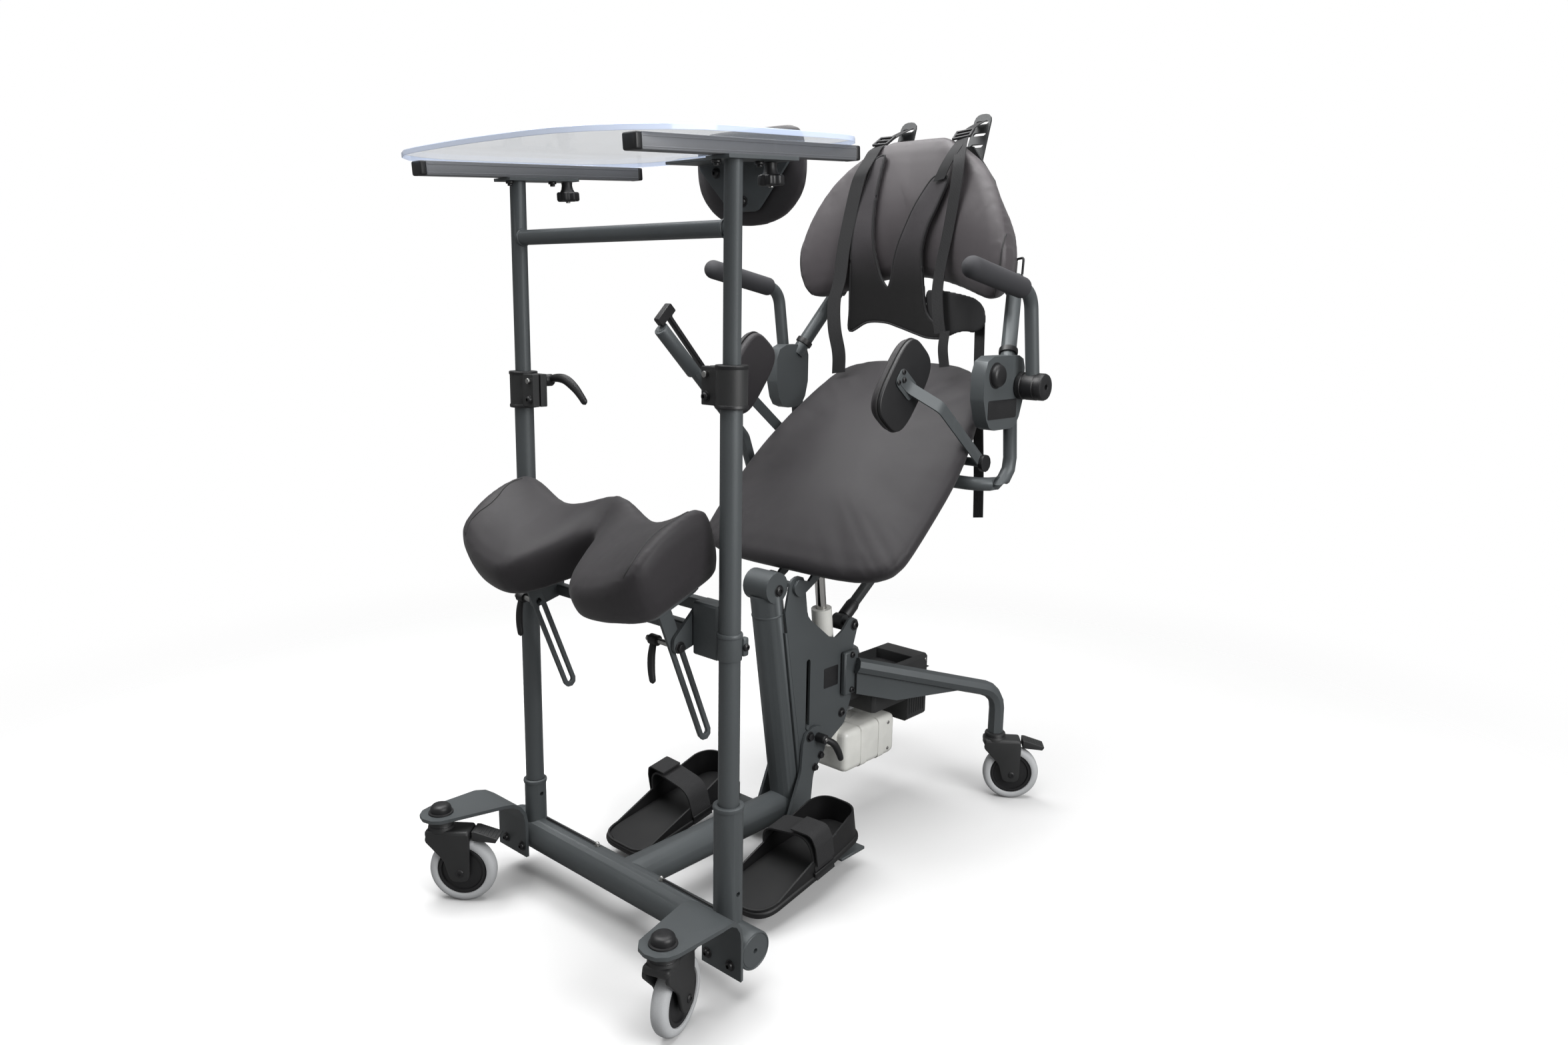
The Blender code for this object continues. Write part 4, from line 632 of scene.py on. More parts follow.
def rounded(corners: Sequence[tuple[float, float, float]], steps: int = 6) -> list[Spot]:
    """A closed flat outline with rounded corners.

    Args:
        corners: each corner's place and radius, (a, b, radius).
        steps: points in each rounded corner.

    Returns:
        The outline as (a, b) points.
    """
    outline = []
    for index, (a, b, radius) in enumerate(corners):
        before, after = corners[index - 1], corners[(index + 1) % len(corners)]
        bend = fillet([(*before[:2], 0.0), (a, b, 0.0), (*after[:2], 0.0)], radius, steps)
        outline += [(spot.x, spot.y) for spot in bend[1:-1]]
    return outline


def smooth_route(points: Sequence[Point], steps: int = 6) -> list[Vector]:
    """A Catmull-Rom curve through points.

    Args:
        points: what it passes through.
        steps: pieces between two points.

    Returns:
        The curve's points.
    """
    spots = [Vector(p) for p in points]
    spots = [spots[0] * 2 - spots[1]] + spots + [spots[-1] * 2 - spots[-2]]
    route = []
    for a, b, c, d in zip(spots, spots[1:], spots[2:], spots[3:]):
        for step in range(steps):
            t = step / steps
            route.append(0.5 * ((2 * b) + (c - a) * t + (2 * a - 5 * b + 4 * c - d) * t ** 2
                                + (3 * b - a - 3 * c + d) * t ** 3))
    return route + [spots[-2]]


class Shape:
    """A mesh in the making, shaped with bmesh operators."""

    def __init__(self) -> None:
        """Start with nothing."""
        self.bm = bmesh.new()

    def take(self, other: bmesh.types.BMesh, place: Matrix | None = None) -> "Shape":
        """Add another bmesh to this one and free it.

        Args:
            other: the bmesh.
            place: where it goes.

        Returns:
            This shape.
        """
        if place is not None:
            other.transform(place)
            if place.to_3x3().determinant() < 0:
                bmesh.ops.reverse_faces(other, faces=other.faces)
        mesh = bpy.data.meshes.new("part")
        other.to_mesh(mesh)
        other.free()
        self.bm.from_mesh(mesh)
        bpy.data.meshes.remove(mesh)
        return self

    def rod(self, start: Point, end: Point, radius: float, sides: int = 32, edge: float = 0.0,
            tip: float | None = None) -> "Shape":
        """Add a round bar with softened ends.

        Args:
            start: middle of the first end.
            end: middle of the last end.
            radius: its radius.
            sides: faces round it.
            edge: width of the end's bevel.
            tip: radius at the last end, where it differs.

        Returns:
            This shape.
        """
        first, last = Vector(start), Vector(end)
        run = last - first
        bm = bmesh.new()
        bmesh.ops.create_cone(bm, cap_ends=True, segments=sides, radius1=radius,
                              radius2=radius if tip is None else tip, depth=run.length)
        if edge:
            rims = [e for e in bm.edges if abs(e.verts[0].co.z - e.verts[1].co.z) < LEVEL]
            bmesh.ops.bevel(bm, geom=rims, offset=edge, segments=3, profile=0.5, affect="EDGES",
                            material=-1)
        return self.take(bm, aimed((first + last) / 2, run))

    def box(self, low: Point, high: Point, edge: float = 0.001, segments: int = 2,
            place: Matrix | None = None) -> "Shape":
        """Add a box with rounded edges.

        Args:
            low: lowest corner.
            high: highest corner.
            edge: width of the rounding.
            segments: steps of the rounding.
            place: where its own frame goes.

        Returns:
            This shape.
        """
        first, last = Vector(low), Vector(high)
        bm = bmesh.new()
        bmesh.ops.create_cube(bm, size=1.0)
        bmesh.ops.scale(bm, vec=last - first, verts=bm.verts)
        bmesh.ops.translate(bm, vec=(first + last) / 2, verts=bm.verts)
        bmesh.ops.bevel(bm, geom=bm.edges[:], offset=edge, segments=segments, profile=0.5, affect="EDGES",
                        material=-1)
        return self.take(bm, place)

    def turned(self, profile: Sequence[Spot], place: Matrix, steps: int = 48) -> "Shape":
        """Add a shape spun about its own Z.

        Args:
            profile: (radius, height) points from one end of the axis to the other.
            place: where its own frame goes.
            steps: faces round it.

        Returns:
            This shape.
        """
        bm = bmesh.new()
        verts = [bm.verts.new((r, 0.0, z)) for r, z in profile]
        edges = [bm.edges.new(pair) for pair in zip(verts, verts[1:])]
        bmesh.ops.spin(bm, geom=verts + edges, cent=(0, 0, 0), axis=(0, 0, 1), angle=2 * math.pi,
                       steps=steps, use_merge=True)
        bmesh.ops.remove_doubles(bm, verts=bm.verts, dist=1e-6)
        bmesh.ops.recalc_face_normals(bm, faces=bm.faces)
        return self.take(bm, place)

    def plate(self, outline: Sequence[Point], thickness: float, place: Matrix, edge: float = 0.0008,
              segments: int = 2) -> "Shape":
        """Add a flat plate with softened rims.

        Args:
            outline: its edge as (a, b) points.
            thickness: along its own Z, half to each side.
            place: where its own frame goes.
            edge: width of the rim's bevel.
            segments: steps of the bevel.

        Returns:
            This shape.
        """
        bm = bmesh.new()
        verts = [bm.verts.new((p[0], p[1], -thickness / 2)) for p in outline]
        face = bm.faces.new(verts)
        moved = bmesh.ops.extrude_face_region(bm, geom=[face])["geom"]
        top = [v for v in moved if isinstance(v, bmesh.types.BMVert)]
        bmesh.ops.translate(bm, vec=(0, 0, thickness), verts=top)
        bmesh.ops.recalc_face_normals(bm, faces=bm.faces)
        if edge:
            rims = [e for e in bm.edges if abs(e.verts[0].co.z - e.verts[1].co.z) < LEVEL]
            bmesh.ops.bevel(bm, geom=rims, offset=edge, segments=segments, profile=0.5, affect="EDGES",
                            material=-1)
        return self.take(bm, place)

    def swept(self, route: Sequence[Vector], radius: float | Callable[[float], float], sides: int = 24,
              flat: float = 1.0, up: Vector = Z_AXIS) -> "Shape":
        """Add a tube along a route, with closed ends.

        Args:
            route: points along its middle.
            radius: its radius, or a function of the share of the length.
            sides: faces round it.
            flat: its width across, as a share of its height.
            up: which way its height leans.

        Returns:
            This shape.
        """
        lengths = [0.0]
        for a, b in zip(route, route[1:]):
            lengths.append(lengths[-1] + (b - a).length)
        bm = bmesh.new()
        ring: list = []
        for index, spot in enumerate(route):
            share = lengths[index] / lengths[-1]
            size = radius(share) if callable(radius) else radius
            ahead = route[min(index + 1, len(route) - 1)] - route[max(index - 1, 0)]
            swell = Matrix.Diagonal((size, size * flat, 1, 1))
            place = Matrix.Translation(spot) @ frame_of(ahead, up).to_4x4() @ swell
            if not ring:
                made = bmesh.ops.create_circle(bm, cap_ends=False, segments=sides, radius=1.0)["verts"]
            else:
                edges = [e for e in bm.edges if e.verts[0] in ring and e.verts[1] in ring]
                grown = bmesh.ops.extrude_edge_only(bm, edges=edges)["geom"]
                made = [v for v in grown if isinstance(v, bmesh.types.BMVert)]
                bmesh.ops.transform(bm, matrix=last.inverted(), verts=made)
            bmesh.ops.transform(bm, matrix=place, verts=made)
            ring, last = set(made), place
        bmesh.ops.holes_fill(bm, edges=[e for e in bm.edges if e.is_boundary], sides=0)
        bmesh.ops.recalc_face_normals(bm, faces=bm.faces)
        return self.take(bm)

    def ribbon(self, route: Sequence[Vector], width: float, thickness: float, across: Vector) -> "Shape":
        """Add a flat strap along a route, with a UV map in metres.

        Args:
            route: points along its middle.
            width: its width.
            thickness: its thickness.
            across: the direction of its width.

        Returns:
            This shape.
        """
        bm = bmesh.new()
        layer = bm.loops.layers.uv.new("UVMap")
        edge = None
        run = 0.0
        half = across.normalized() * (width / 2)
        for index, spot in enumerate(route):
            if edge is None:
                edge = bm.edges.new((bm.verts.new(spot - half), bm.verts.new(spot + half)))
                continue
            start = run
            run += (spot - route[index - 1]).length
            grown = bmesh.ops.extrude_edge_only(bm, edges=[edge])["geom"]
            edge = next(g for g in grown if isinstance(g, bmesh.types.BMEdge))
            face = next(g for g in grown if isinstance(g, bmesh.types.BMFace))
            new = set(edge.verts)
            links = {v: next(e.other_vert(v) for e in v.link_edges if e is not edge) for v in edge.verts}
            low = min(edge.verts, key=lambda v: (v.co - (route[index - 1] - half)).length)
            for vert in edge.verts:
                vert.co = spot - half if vert is low else spot + half
            lows = {low, links[low]}
            for loop in face.loops:
                loop[layer].uv = (0.0 if loop.vert in lows else width, run if loop.vert in new else start)
        bmesh.ops.recalc_face_normals(bm, faces=bm.faces)
        bmesh.ops.solidify(bm, geom=bm.faces[:], thickness=thickness)
        return self.take(bm)

    def bolt(self, spot: Point, direction: Point, radius: float = 0.006, height: float = 0.004) -> "Shape":
        """Add a button head with a hex socket.

        Args:
            spot: where it sits.
            direction: outward.
            radius: the head's radius.
            height: the head's height.

        Returns:
            This shape.
        """
        key, deep = radius * 0.42, height * 0.55
        profile = [(0.0, -0.0004), (radius, -0.0004), (radius, height * 0.35),
                   (radius * 0.86, height * 0.78), (radius * 0.62, height), (key, height),
                   (key, height - deep), (0.0, height - deep)]
        return self.turned(profile, aimed(spot, direction), 18)

    def seated_bolt(self, spot: Point, out: Point, washer: Spot, head: Spot, sides: int = 28) -> "Shape":
        """Add a button head on a washer.

        Args:
            spot: where it sits.
            out: outward.
            washer: the washer's radius and thickness.
            head: the head's radius and height.
            sides: faces round the washer.

        Returns:
            This shape.
        """
        seat = Vector(spot) + Vector(out) * washer[1]
        return self.rod(spot, seat, washer[0], sides, 0.0004).bolt(seat, out, *head)

    def hex_bolt(self, spot: Point, out: Point, washer: Spot, head: Spot) -> "Shape":
        """Add a six-sided head on a washer.

        Args:
            spot: where it sits.
            out: outward.
            washer: the washer's radius and thickness.
            head: the head's radius, and the height of its top.

        Returns:
            This shape.
        """
        first, way = Vector(spot), Vector(out)
        self.rod(first, first + way * washer[1], washer[0], 28, 0.0004)
        return self.rod(first + way * washer[1], first + way * head[1], head[0], 6, 0.0006)

    def mirrored(self) -> "Shape":
        """Turn the shape into its mirror image in X.

        Returns:
            This shape.
        """
        bmesh.ops.scale(self.bm, vec=(-1, 1, 1), verts=self.bm.verts)
        bmesh.ops.reverse_faces(self.bm, faces=self.bm.faces)
        return self

    def piece(self, name: str, body: str, finish: Finish, angle: float = 38.0) -> bpy.types.Object:
        """Turn the shape into a finished piece on a body.

        Args:
            name: the piece's name.
            body: what it moves with.
            finish: its finish.
            angle: edges sharper than this stay sharp, in degrees.

        Returns:
            The piece.
        """
        return settle(linked(self.bm, name), body, finish, angle)


def settle(obj: bpy.types.Object, body: str, finish: Finish, angle: float = 38.0) -> bpy.types.Object:
    """Give a piece its finish, its shading and its body.

    Args:
        obj: the piece.
        body: what it moves with.
        finish: its finish.
        angle: edges sharper than this stay sharp, in degrees.

    Returns:
        The piece.
    """
    obj.data.materials.clear()
    obj.data.materials.append(finish.material())
    obj.data.shade_smooth()
    obj.data.set_sharp_from_angle(angle=math.radians(angle))
    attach(obj, body)
    LOG.info("%s rides on %s", obj.name, body)
    return obj


def side_place(x: float) -> Matrix:
    """Placement of a plate across X, drawn as (y, z) from the post line."""
    return across_x(x, POST_LINE)


def front_place(y: float) -> Matrix:
    """Placement of a plate across Y, drawn as (x, z)."""
    return Matrix(((1, 0, 0, 0), (0, 0, -1, y + POST_LINE), (0, 1, 0, 0), (0, 0, 0, 1)))


class Solids:
    """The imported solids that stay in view, as merged copies with fine edges."""

    def __init__(self, frame: dict) -> None:
        """Keep the frame and which body each node is on.

        Args:
            frame: the loaded frame.
        """
        self.nodes = frame["nodes"]
        groups = frame["record"]["behaviour"]["bodies"]
        self.body = {node: body for body, nodes in groups.items() for node in nodes}

    def merged(self, node: str) -> bmesh.types.BMesh:
        """A node's mesh with its loose triangles joined and its flats whole.

        Args:
            node: the node's name.

        Returns:
            The bmesh.
        """
        bm = bmesh.new()
        bm.from_mesh(self.nodes[node].data)
        bmesh.ops.remove_doubles(bm, verts=bm.verts, dist=1e-5)
        bmesh.ops.dissolve_limit(bm, angle_limit=math.radians(0.5), verts=bm.verts, edges=bm.edges)
        return bm

    def dress(self, node: str, finish: Finish, edge: float = 0.0010) -> bpy.types.Object:
        """Replace a node by its merged copy with bevelled edges.

        Args:
            node: the node.
            finish: its finish.
            edge: width of the bevel.

        Returns:
            The piece.
        """
        obj = Shape().take(self.merged(node)).piece(f"{node}_body", self.body[node], finish)
        bevel = obj.modifiers.new("edge", "BEVEL")
        bevel.width = edge
        bevel.segments = 2
        bevel.limit_method = "ANGLE"
        bevel.angle_limit = math.radians(42)
        bevel.harden_normals = True
        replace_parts(obj, node)
        return obj


# Upholstery


def freeze(obj: bpy.types.Object) -> None:
    """Replace a piece's mesh by what its modifiers make of it.

    Args:
        obj: the piece.
    """
    graph = bpy.context.evaluated_depsgraph_get()
    made = bpy.data.meshes.new_from_object(obj.evaluated_get(graph))
    old = obj.data
    obj.modifiers.clear()
    obj.data = made
    bpy.data.meshes.remove(old)


def evened(bm: bmesh.types.BMesh, name: str, cell: float,
           rounds: int) -> tuple[bpy.types.Object, bmesh.types.BMesh]:
    """Make a piece with an even mesh, eased a few times.

    Args:
        bm: its rough shape, which is freed.
        name: the piece's name.
        cell: size of the even mesh's cells.
        rounds: how often the mesh is eased.

    Returns:
        The piece, and its mesh still open for changes.
    """
    bmesh.ops.triangulate(bm, faces=bm.faces)
    obj = linked(bm, name)
    remesh = obj.modifiers.new("even", "REMESH")
    remesh.mode = "VOXEL"
    remesh.voxel_size = cell
    freeze(obj)
    even = bmesh.new()
    even.from_mesh(obj.data)
    for _ in range(rounds):
        bmesh.ops.smooth_vert(even, verts=even.verts, factor=0.5, use_axis_x=True, use_axis_y=True,
                              use_axis_z=True)
    return obj, even


def points_of(obj: bpy.types.Object) -> np.ndarray:
    """A piece's points, one row each.

    Args:
        obj: the piece.

    Returns:
        The points.
    """
    flat = np.empty(len(obj.data.vertices) * 3)
    obj.data.vertices.foreach_get("co", flat)
    return flat.reshape(-1, 3)


@dataclass
class Padding:
    """A vinyl cover over a foam block; its face swells as cloth held at the base board."""

    solids: Solids
    node: str
    face: Vector
    cell: float = 0.006
    rounds: int = 4
    shrink: float = 0.003
    pressure: float = 4.0
    reach: float = 0.012
    crease: float = 0.15
    fold: float = 0.004
    frames: int = 20
    held_below: float = 0.25
    eased_rounds: int = 40

    def foam(self) -> bpy.types.Object:
        """The foam block: an even mesh of the solid, eased and drawn in a little.

        Returns:
            The block, with the points held by the base board in a vertex group.
        """
        obj, bm = evened(self.solids.merged(self.node), f"{self.node}_cover", self.cell, self.rounds)
        bm.normal_update()
        held = [v.index for v in bm.verts if v.normal.dot(self.face) < self.held_below]
        for vert in bm.verts:
            vert.co -= vert.normal * self.shrink
        bm.to_mesh(obj.data)
        bm.free()
        obj.vertex_groups.new(name="board").add(held, 1.0, "REPLACE")
        return obj

    def swell(self, obj: bpy.types.Object) -> None:
        """Let the cover swell as cloth; its crown is kept and its finest creases are eased.

        Args:
            obj: the cover.
        """
        rest = points_of(obj)
        cloth = obj.modifiers.new("swell", "CLOTH")
        given = cloth.settings
        given.quality = 6
        given.mass = 0.3
        given.tension_stiffness = given.compression_stiffness = 15.0
        given.shear_stiffness = 6.0
        given.bending_stiffness = 1.5
        given.use_pressure = True
        given.uniform_pressure_force = self.pressure
        given.vertex_group_mass = "board"
        given.effector_weights.gravity = 0.0
        cloth.point_cache.frame_start = 1
        cloth.point_cache.frame_end = self.frames
        for frame in range(1, self.frames + 1):
            bpy.context.scene.frame_set(frame)
        freeze(obj)
        bpy.context.scene.frame_set(1)
        move = points_of(obj) - rest
        ends = np.array([edge.vertices[:] for edge in obj.data.edges])
        count = np.bincount(ends.ravel(), minlength=len(rest))[:, None]
        crown = move.copy()
        for _ in range(self.eased_rounds):
            total = np.zeros_like(crown)
            np.add.at(total, ends[:, 0], crown[ends[:, 1]])
            np.add.at(total, ends[:, 1], crown[ends[:, 0]])
            crown = 0.5 * crown + 0.5 * total / count
        high = float(np.linalg.norm(crown, axis=1).max())
        crown *= self.reach / max(high, 1e-6)
        fine = np.clip(move - crown * (high / self.reach), -self.fold, self.fold)
        obj.data.vertices.foreach_set("co", (rest + crown + fine * self.crease).ravel())

    def build(self, finish: Finish, fill: float) -> bpy.types.Object:
        """Make the cover and put it in the solid's place.

        Args:
            finish: its finish.
            fill: how tight it is stuffed, 0 to 1; not used.

        Returns:
            The cover.
        """
        obj = self.foam()
        self.swell(obj)
        finer = obj.modifiers.new("finer", "SUBSURF")
        finer.levels = finer.render_levels = 1
        freeze(obj)
        settle(obj, self.solids.body[self.node], finish, 180.0)
        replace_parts(obj, self.node)
        return obj


class Skin:
    """The outer face of a finished cover, for laying seams on it."""

    near: float = 0.04

    def __init__(self, obj: bpy.types.Object) -> None:
        """Keep a search tree of the cover's faces.

        Args:
            obj: the piece.
        """
        bm = bmesh.new()
        bm.from_mesh(obj.data)
        self.tree = BVHTree.FromBMesh(bm)
        bm.free()

    def hit(self, start: Point, way: Point) -> Vector | None:
        """Where a ray meets the cover."""
        return self.tree.ray_cast(Vector(start), Vector(way).normalized())[0]

    def lay(self, spots: Sequence[Point], way: Point) -> list[Vector]:
        """Carry points along a direction onto the cover.

        Args:
            spots: where each ray starts.
            way: the rays' direction.

        Returns:
            Those that meet the cover.
        """
        found = [self.hit(spot, way) for spot in spots]
        return [spot for spot in found if spot is not None]

    def clear(self, route: Sequence[Vector], gap: float) -> list[Vector]:
        """Push a route's points out until each stands off the cover.

        Args:
            route: the points.
            gap: the least distance from the cover.

        Returns:
            The moved points.
        """
        moved = []
        for spot in route:
            foot, normal, _, _ = self.tree.find_nearest(spot)
            away = spot - foot
            sunk = away.dot(normal) < gap and away.length < self.near
            moved.append(foot + normal * gap if sunk else spot)
        return moved


@dataclass(frozen=True)
class CamLever:
    """A cam lever: round hub on its pivot, curved handle with a blunt tip, and the pin's bright end."""

    body: str
    axis: Vector
    hub: Sequence[Spot]
    pin: Sequence[Spot]
    slim: float = 0.0052
    belly: float = 0.0012
    reach: float = 1.0
    power: float = 1.0
    least: float = 0.05
    flat: float = 1.1
    steps: tuple[int, int] = (32, 20)
    blunt_from: float = 0.93

    def girth(self, share: float) -> float:
        """The handle's radius at a share of its length.

        Args:
            share: the place along it, 0 to 1.

        Returns:
            The radius.
        """
        belly = self.belly * math.sin(math.pi * min(1.0, share * self.reach)) ** self.power
        tip = max(0.0, (share - self.blunt_from) / (1 - self.blunt_from))
        return (self.slim + belly) * math.sqrt(max(self.least, 1 - tip ** 2))

    def build(self, pivot: Vector, spots: Sequence[Point], names: tuple[str, str],
              mirrored: bool = False) -> None:
        """Make the lever and put it in its solid's place.

        Args:
            pivot: where its hub starts.
            spots: the middle of its handle, from the pivot.
            names: what its handle and its pin are called.
            mirrored: whether it is made on the left and mirrored.
        """
        route = smooth_route([pivot + Vector(spot) for spot in spots], 8)
        up = Vector([abs(part) for part in self.axis])
        place = aimed(pivot, self.axis)
        handle = Shape().swept(route, self.girth, 24, self.flat, up).turned(self.hub, place, self.steps[0])
        pin = Shape().turned(self.pin, place, self.steps[1])
        if mirrored:
            handle.mirrored()
            pin.mirrored()
        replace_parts(handle.piece(names[0], self.body, BLACK), self.body)
        pin.piece(names[1], self.body, STEEL)


# Base


@dataclass
class Base:
    """Cross tube, mast, side plates, rear legs and caster brackets, with their caps and bolts."""

    solids: Solids
    tube_radius: float = 0.030
    tube_height: float = 0.078
    tube_half: float = 0.290
    post_x: float = 0.243
    plate_out: float = 0.0353
    bracket_x: float = 0.2605
    bracket_face: float = -0.0363
    bracket_top: float = 0.158
    cap_radius: float = 0.0174
    cap_height: float = 0.0156
    cap_out: float = 0.010
    stub_left: Spot = (0.0222, 0.292)
    stub_right: Spot = (0.0190, 0.180)
    stub_bore: float = 0.0166
    stud_left: float = 0.089
    stud_right: float = -0.074
    bracket_bolt: Spot = (0.024, 0.064)
    plate_bolt: tuple[Point, ...] = ((0.555, 0.406, 0.0085), (0.522, 0.235, 0.0075))
    leg_pad: Spot = (0.0476, 0.536)
    leg_bolt: Spot = (0.2815, 0.3525)
    mast: tuple[Point, Point] = ((0.409, 0.052), (0.338, 0.505))
    weld: tuple[Spot, ...] = ((0.112, 0.004), (0.112, 0.030), (0.260, 0.036), (0.400, 0.036),
                              (0.432, 0.014), (0.432, 0.004))

    def end_cap(self, side: Side) -> None:
        """Pressed disc with a centre hole in an end of the cross tube.

        Args:
            side: which side it is on.
        """
        r = self.tube_radius
        profile = [(0.0, -0.004), (0.0036, -0.004), (0.0040, 0.0012), (r - 0.0050, 0.0012),
                   (r - 0.0042, 0.0004), (r - 0.0036, 0.0004), (r - 0.0026, 0.0016), (r - 0.0008, 0.0010),
                   (r, -0.0006), (r, -self.cap_out - 0.001)]
        spot = at(side.value * (self.tube_half + self.cap_out), 0.0, self.tube_height)
        place = aimed(spot, (side.value, 0, 0))
        Shape().turned(profile, place, 56).piece(f"tube_cap_{side.word}", "base", GREY)

    def stub_ring(self, side: Side) -> None:
        """Rolled lip at the top of a post's stub.

        Args:
            side: which side it is on.
        """
        radius, top = self.stub_left if side is Side.LEFT else self.stub_right
        profile = [(self.stub_bore, top - 0.001), (self.stub_bore, top + 0.0008),
                   (radius - 0.001, top + 0.0012), (radius + 0.0012, top - 0.0002),
                   (radius + 0.0016, top - 0.003), (radius + 0.0010, top - 0.006),
                   (radius - 0.0006, top - 0.0066)]
        place = Matrix.Translation(at(side.value * self.post_x, 0.0, 0.0))
        Shape().turned(profile, place, 40).piece(f"stub_lip_{side.word}", "base", GREY)

    def stem_cap(self, side: Side) -> None:
        """Domed black cap over a front caster's stem, with a pressed rim.

        Args:
            side: which side it is on.
        """
        r, h = self.cap_radius, self.cap_height
        profile = [(0.0, h + 0.0006), (r * 0.45, h + 0.0003), (r * 0.78, h * 0.93), (r * 0.95, h * 0.74),
                   (r, h * 0.52), (r, 0.0030), (r + 0.0030, 0.0024), (r + 0.0034, 0.0002), (r, 0.0001)]
        x, y, _ = Caster.FRONT_LEFT.value
        place = Matrix.Translation(at(side.value * x, y, self.bracket_top))
        Shape().turned(profile, place, 40).piece(f"stem_cap_{side.word}", "base", BLACK)

    def bracket_bolts(self, side: Side) -> None:
        """Two black bolts through each bracket into the cross tube.

        Args:
            side: which side it is on.
        """
        shape = Shape()
        half, z = self.bracket_bolt
        for step in (-half, half):
            spot = at(side.value * self.bracket_x + step, self.bracket_face, z)
            shape.seated_bolt(spot, -Y_AXIS, (0.0088, 0.0012), (0.0066, 0.0048))
        shape.piece(f"bracket_bolts_{side.word}", "base", BLACK_BOLT)

    def cable_stud(self, side: Side) -> None:
        """Silver stud on the cross tube and the dark rod that runs out from it to the stub.

        Args:
            side: which side it is on.
        """
        x = self.stud_left if side is Side.LEFT else self.stud_right
        top = self.tube_height + self.tube_radius
        spot = at(x, 0.004, top)
        profile = [(0.0, 0.0075), (0.0022, 0.0070), (0.0034, 0.0056), (0.0036, 0.0042), (0.0026, 0.0030),
                   (0.0026, 0.0014), (0.0050, 0.0012), (0.0050, -0.0010)]
        Shape().turned(profile, Matrix.Translation(spot), 24).piece(f"stud_{side.word}", "base", STEEL)
        start = spot + Vector((side.value * 0.004, 0, 0.0024))
        end = at(side.value * (self.post_x - 0.026), 0.004, top + 0.0018)
        Shape().rod(start, end, 0.0016, 12, 0.0004).piece(f"stud_rod_{side.word}", "base", BLACK_BOLT)

    def plate_bolts(self, side: Side) -> None:
        """Bolt heads on a side plate: ear, trunnion and leg pad.

        Args:
            side: which side it is on.
        """
        shape = Shape()
        out = (side.value, 0, 0)
        for y, z, radius in self.plate_bolt:
            spot = at(side.value * self.plate_out, y, z)
            shape.seated_bolt(spot, out, (radius * 1.30, 0.0010), (radius, 0.0046), 32)
        for z in self.leg_bolt:
            shape.bolt(at(side.value * self.leg_pad[0], self.leg_pad[1], z), out, 0.0062, 0.0042)
        shape.piece(f"plate_bolts_{side.word}", "base", BLACK_BOLT)

    def bare_plate(self, side: Side) -> None:
        """Bare black plate on a side plate.

        Args:
            side: which side it is on.
        """
        outline = rounded([(0.466, 0.297, 0.003), (0.508, 0.297, 0.003), (0.508, 0.337, 0.003),
                           (0.466, 0.337, 0.003)])
        place = side_place(side.value * (self.plate_out + 0.0003))
        Shape().plate(outline, 0.0006, place, 0.0002).piece(f"bare_plate_{side.word}", "base", BLACK)

    def mast_head(self) -> None:
        """Seam of the mast's cap and the bolt heads on its two cheeks."""
        foot, top = at(0, *self.mast[0]), at(0, *self.mast[1])
        way = (top - foot).normalized()
        place = aimed(top - way * 0.040, way)
        r = self.tube_radius
        profile = [(r - 0.0010, -0.0022), (r + 0.0003, -0.0018), (r + 0.0007, -0.0008),
                   (r + 0.0007, 0.0008), (r + 0.0003, 0.0018), (r - 0.0010, 0.0022)]
        Shape().turned(profile, place, 48).piece("mast_seam", "base", GREY)
        bolts = Shape()
        for side in Side:
            spot = top + way * 0.008 + Vector((side.value * 0.0289, 0.004, 0))
            bolts.seated_bolt(spot, (side.value, 0, 0), (0.0112, 0.0010), (0.0086, 0.0042), 32)
        bolts.piece("mast_bolts", "base", BLACK_BOLT)

    def plate_weld(self, side: Side) -> None:
        """Front flange of a side plate, welded along the mast.

        Args:
            side: which side it is on.
        """
        (foot_y, foot_z), (top_y, top_z) = self.mast
        slope = (top_y - foot_y) / (top_z - foot_z)
        edge = [(foot_y + slope * (z - foot_z) + reach, z) for z, reach in self.weld]
        place = side_place(side.value * (self.plate_out - 0.0030))
        Shape().plate(edge, 0.0050, place, 0.0006).piece(f"plate_weld_{side.word}", "base", GREY)

    def build(self) -> None:
        """Dress the base's solids and add its small parts."""
        for node in ("base_frame", "side_plate_left", "side_plate_right", "rear_leg_left", "rear_leg_right",
                     "caster_bracket_left", "caster_bracket_right"):
            self.solids.dress(node, GREY)
        for side in Side:
            self.end_cap(side)
            self.stub_ring(side)
            self.stem_cap(side)
            self.bracket_bolts(side)
            self.cable_stud(side)
            self.plate_bolts(side)
            self.plate_weld(side)
            self.bare_plate(side)
        self.mast_head()


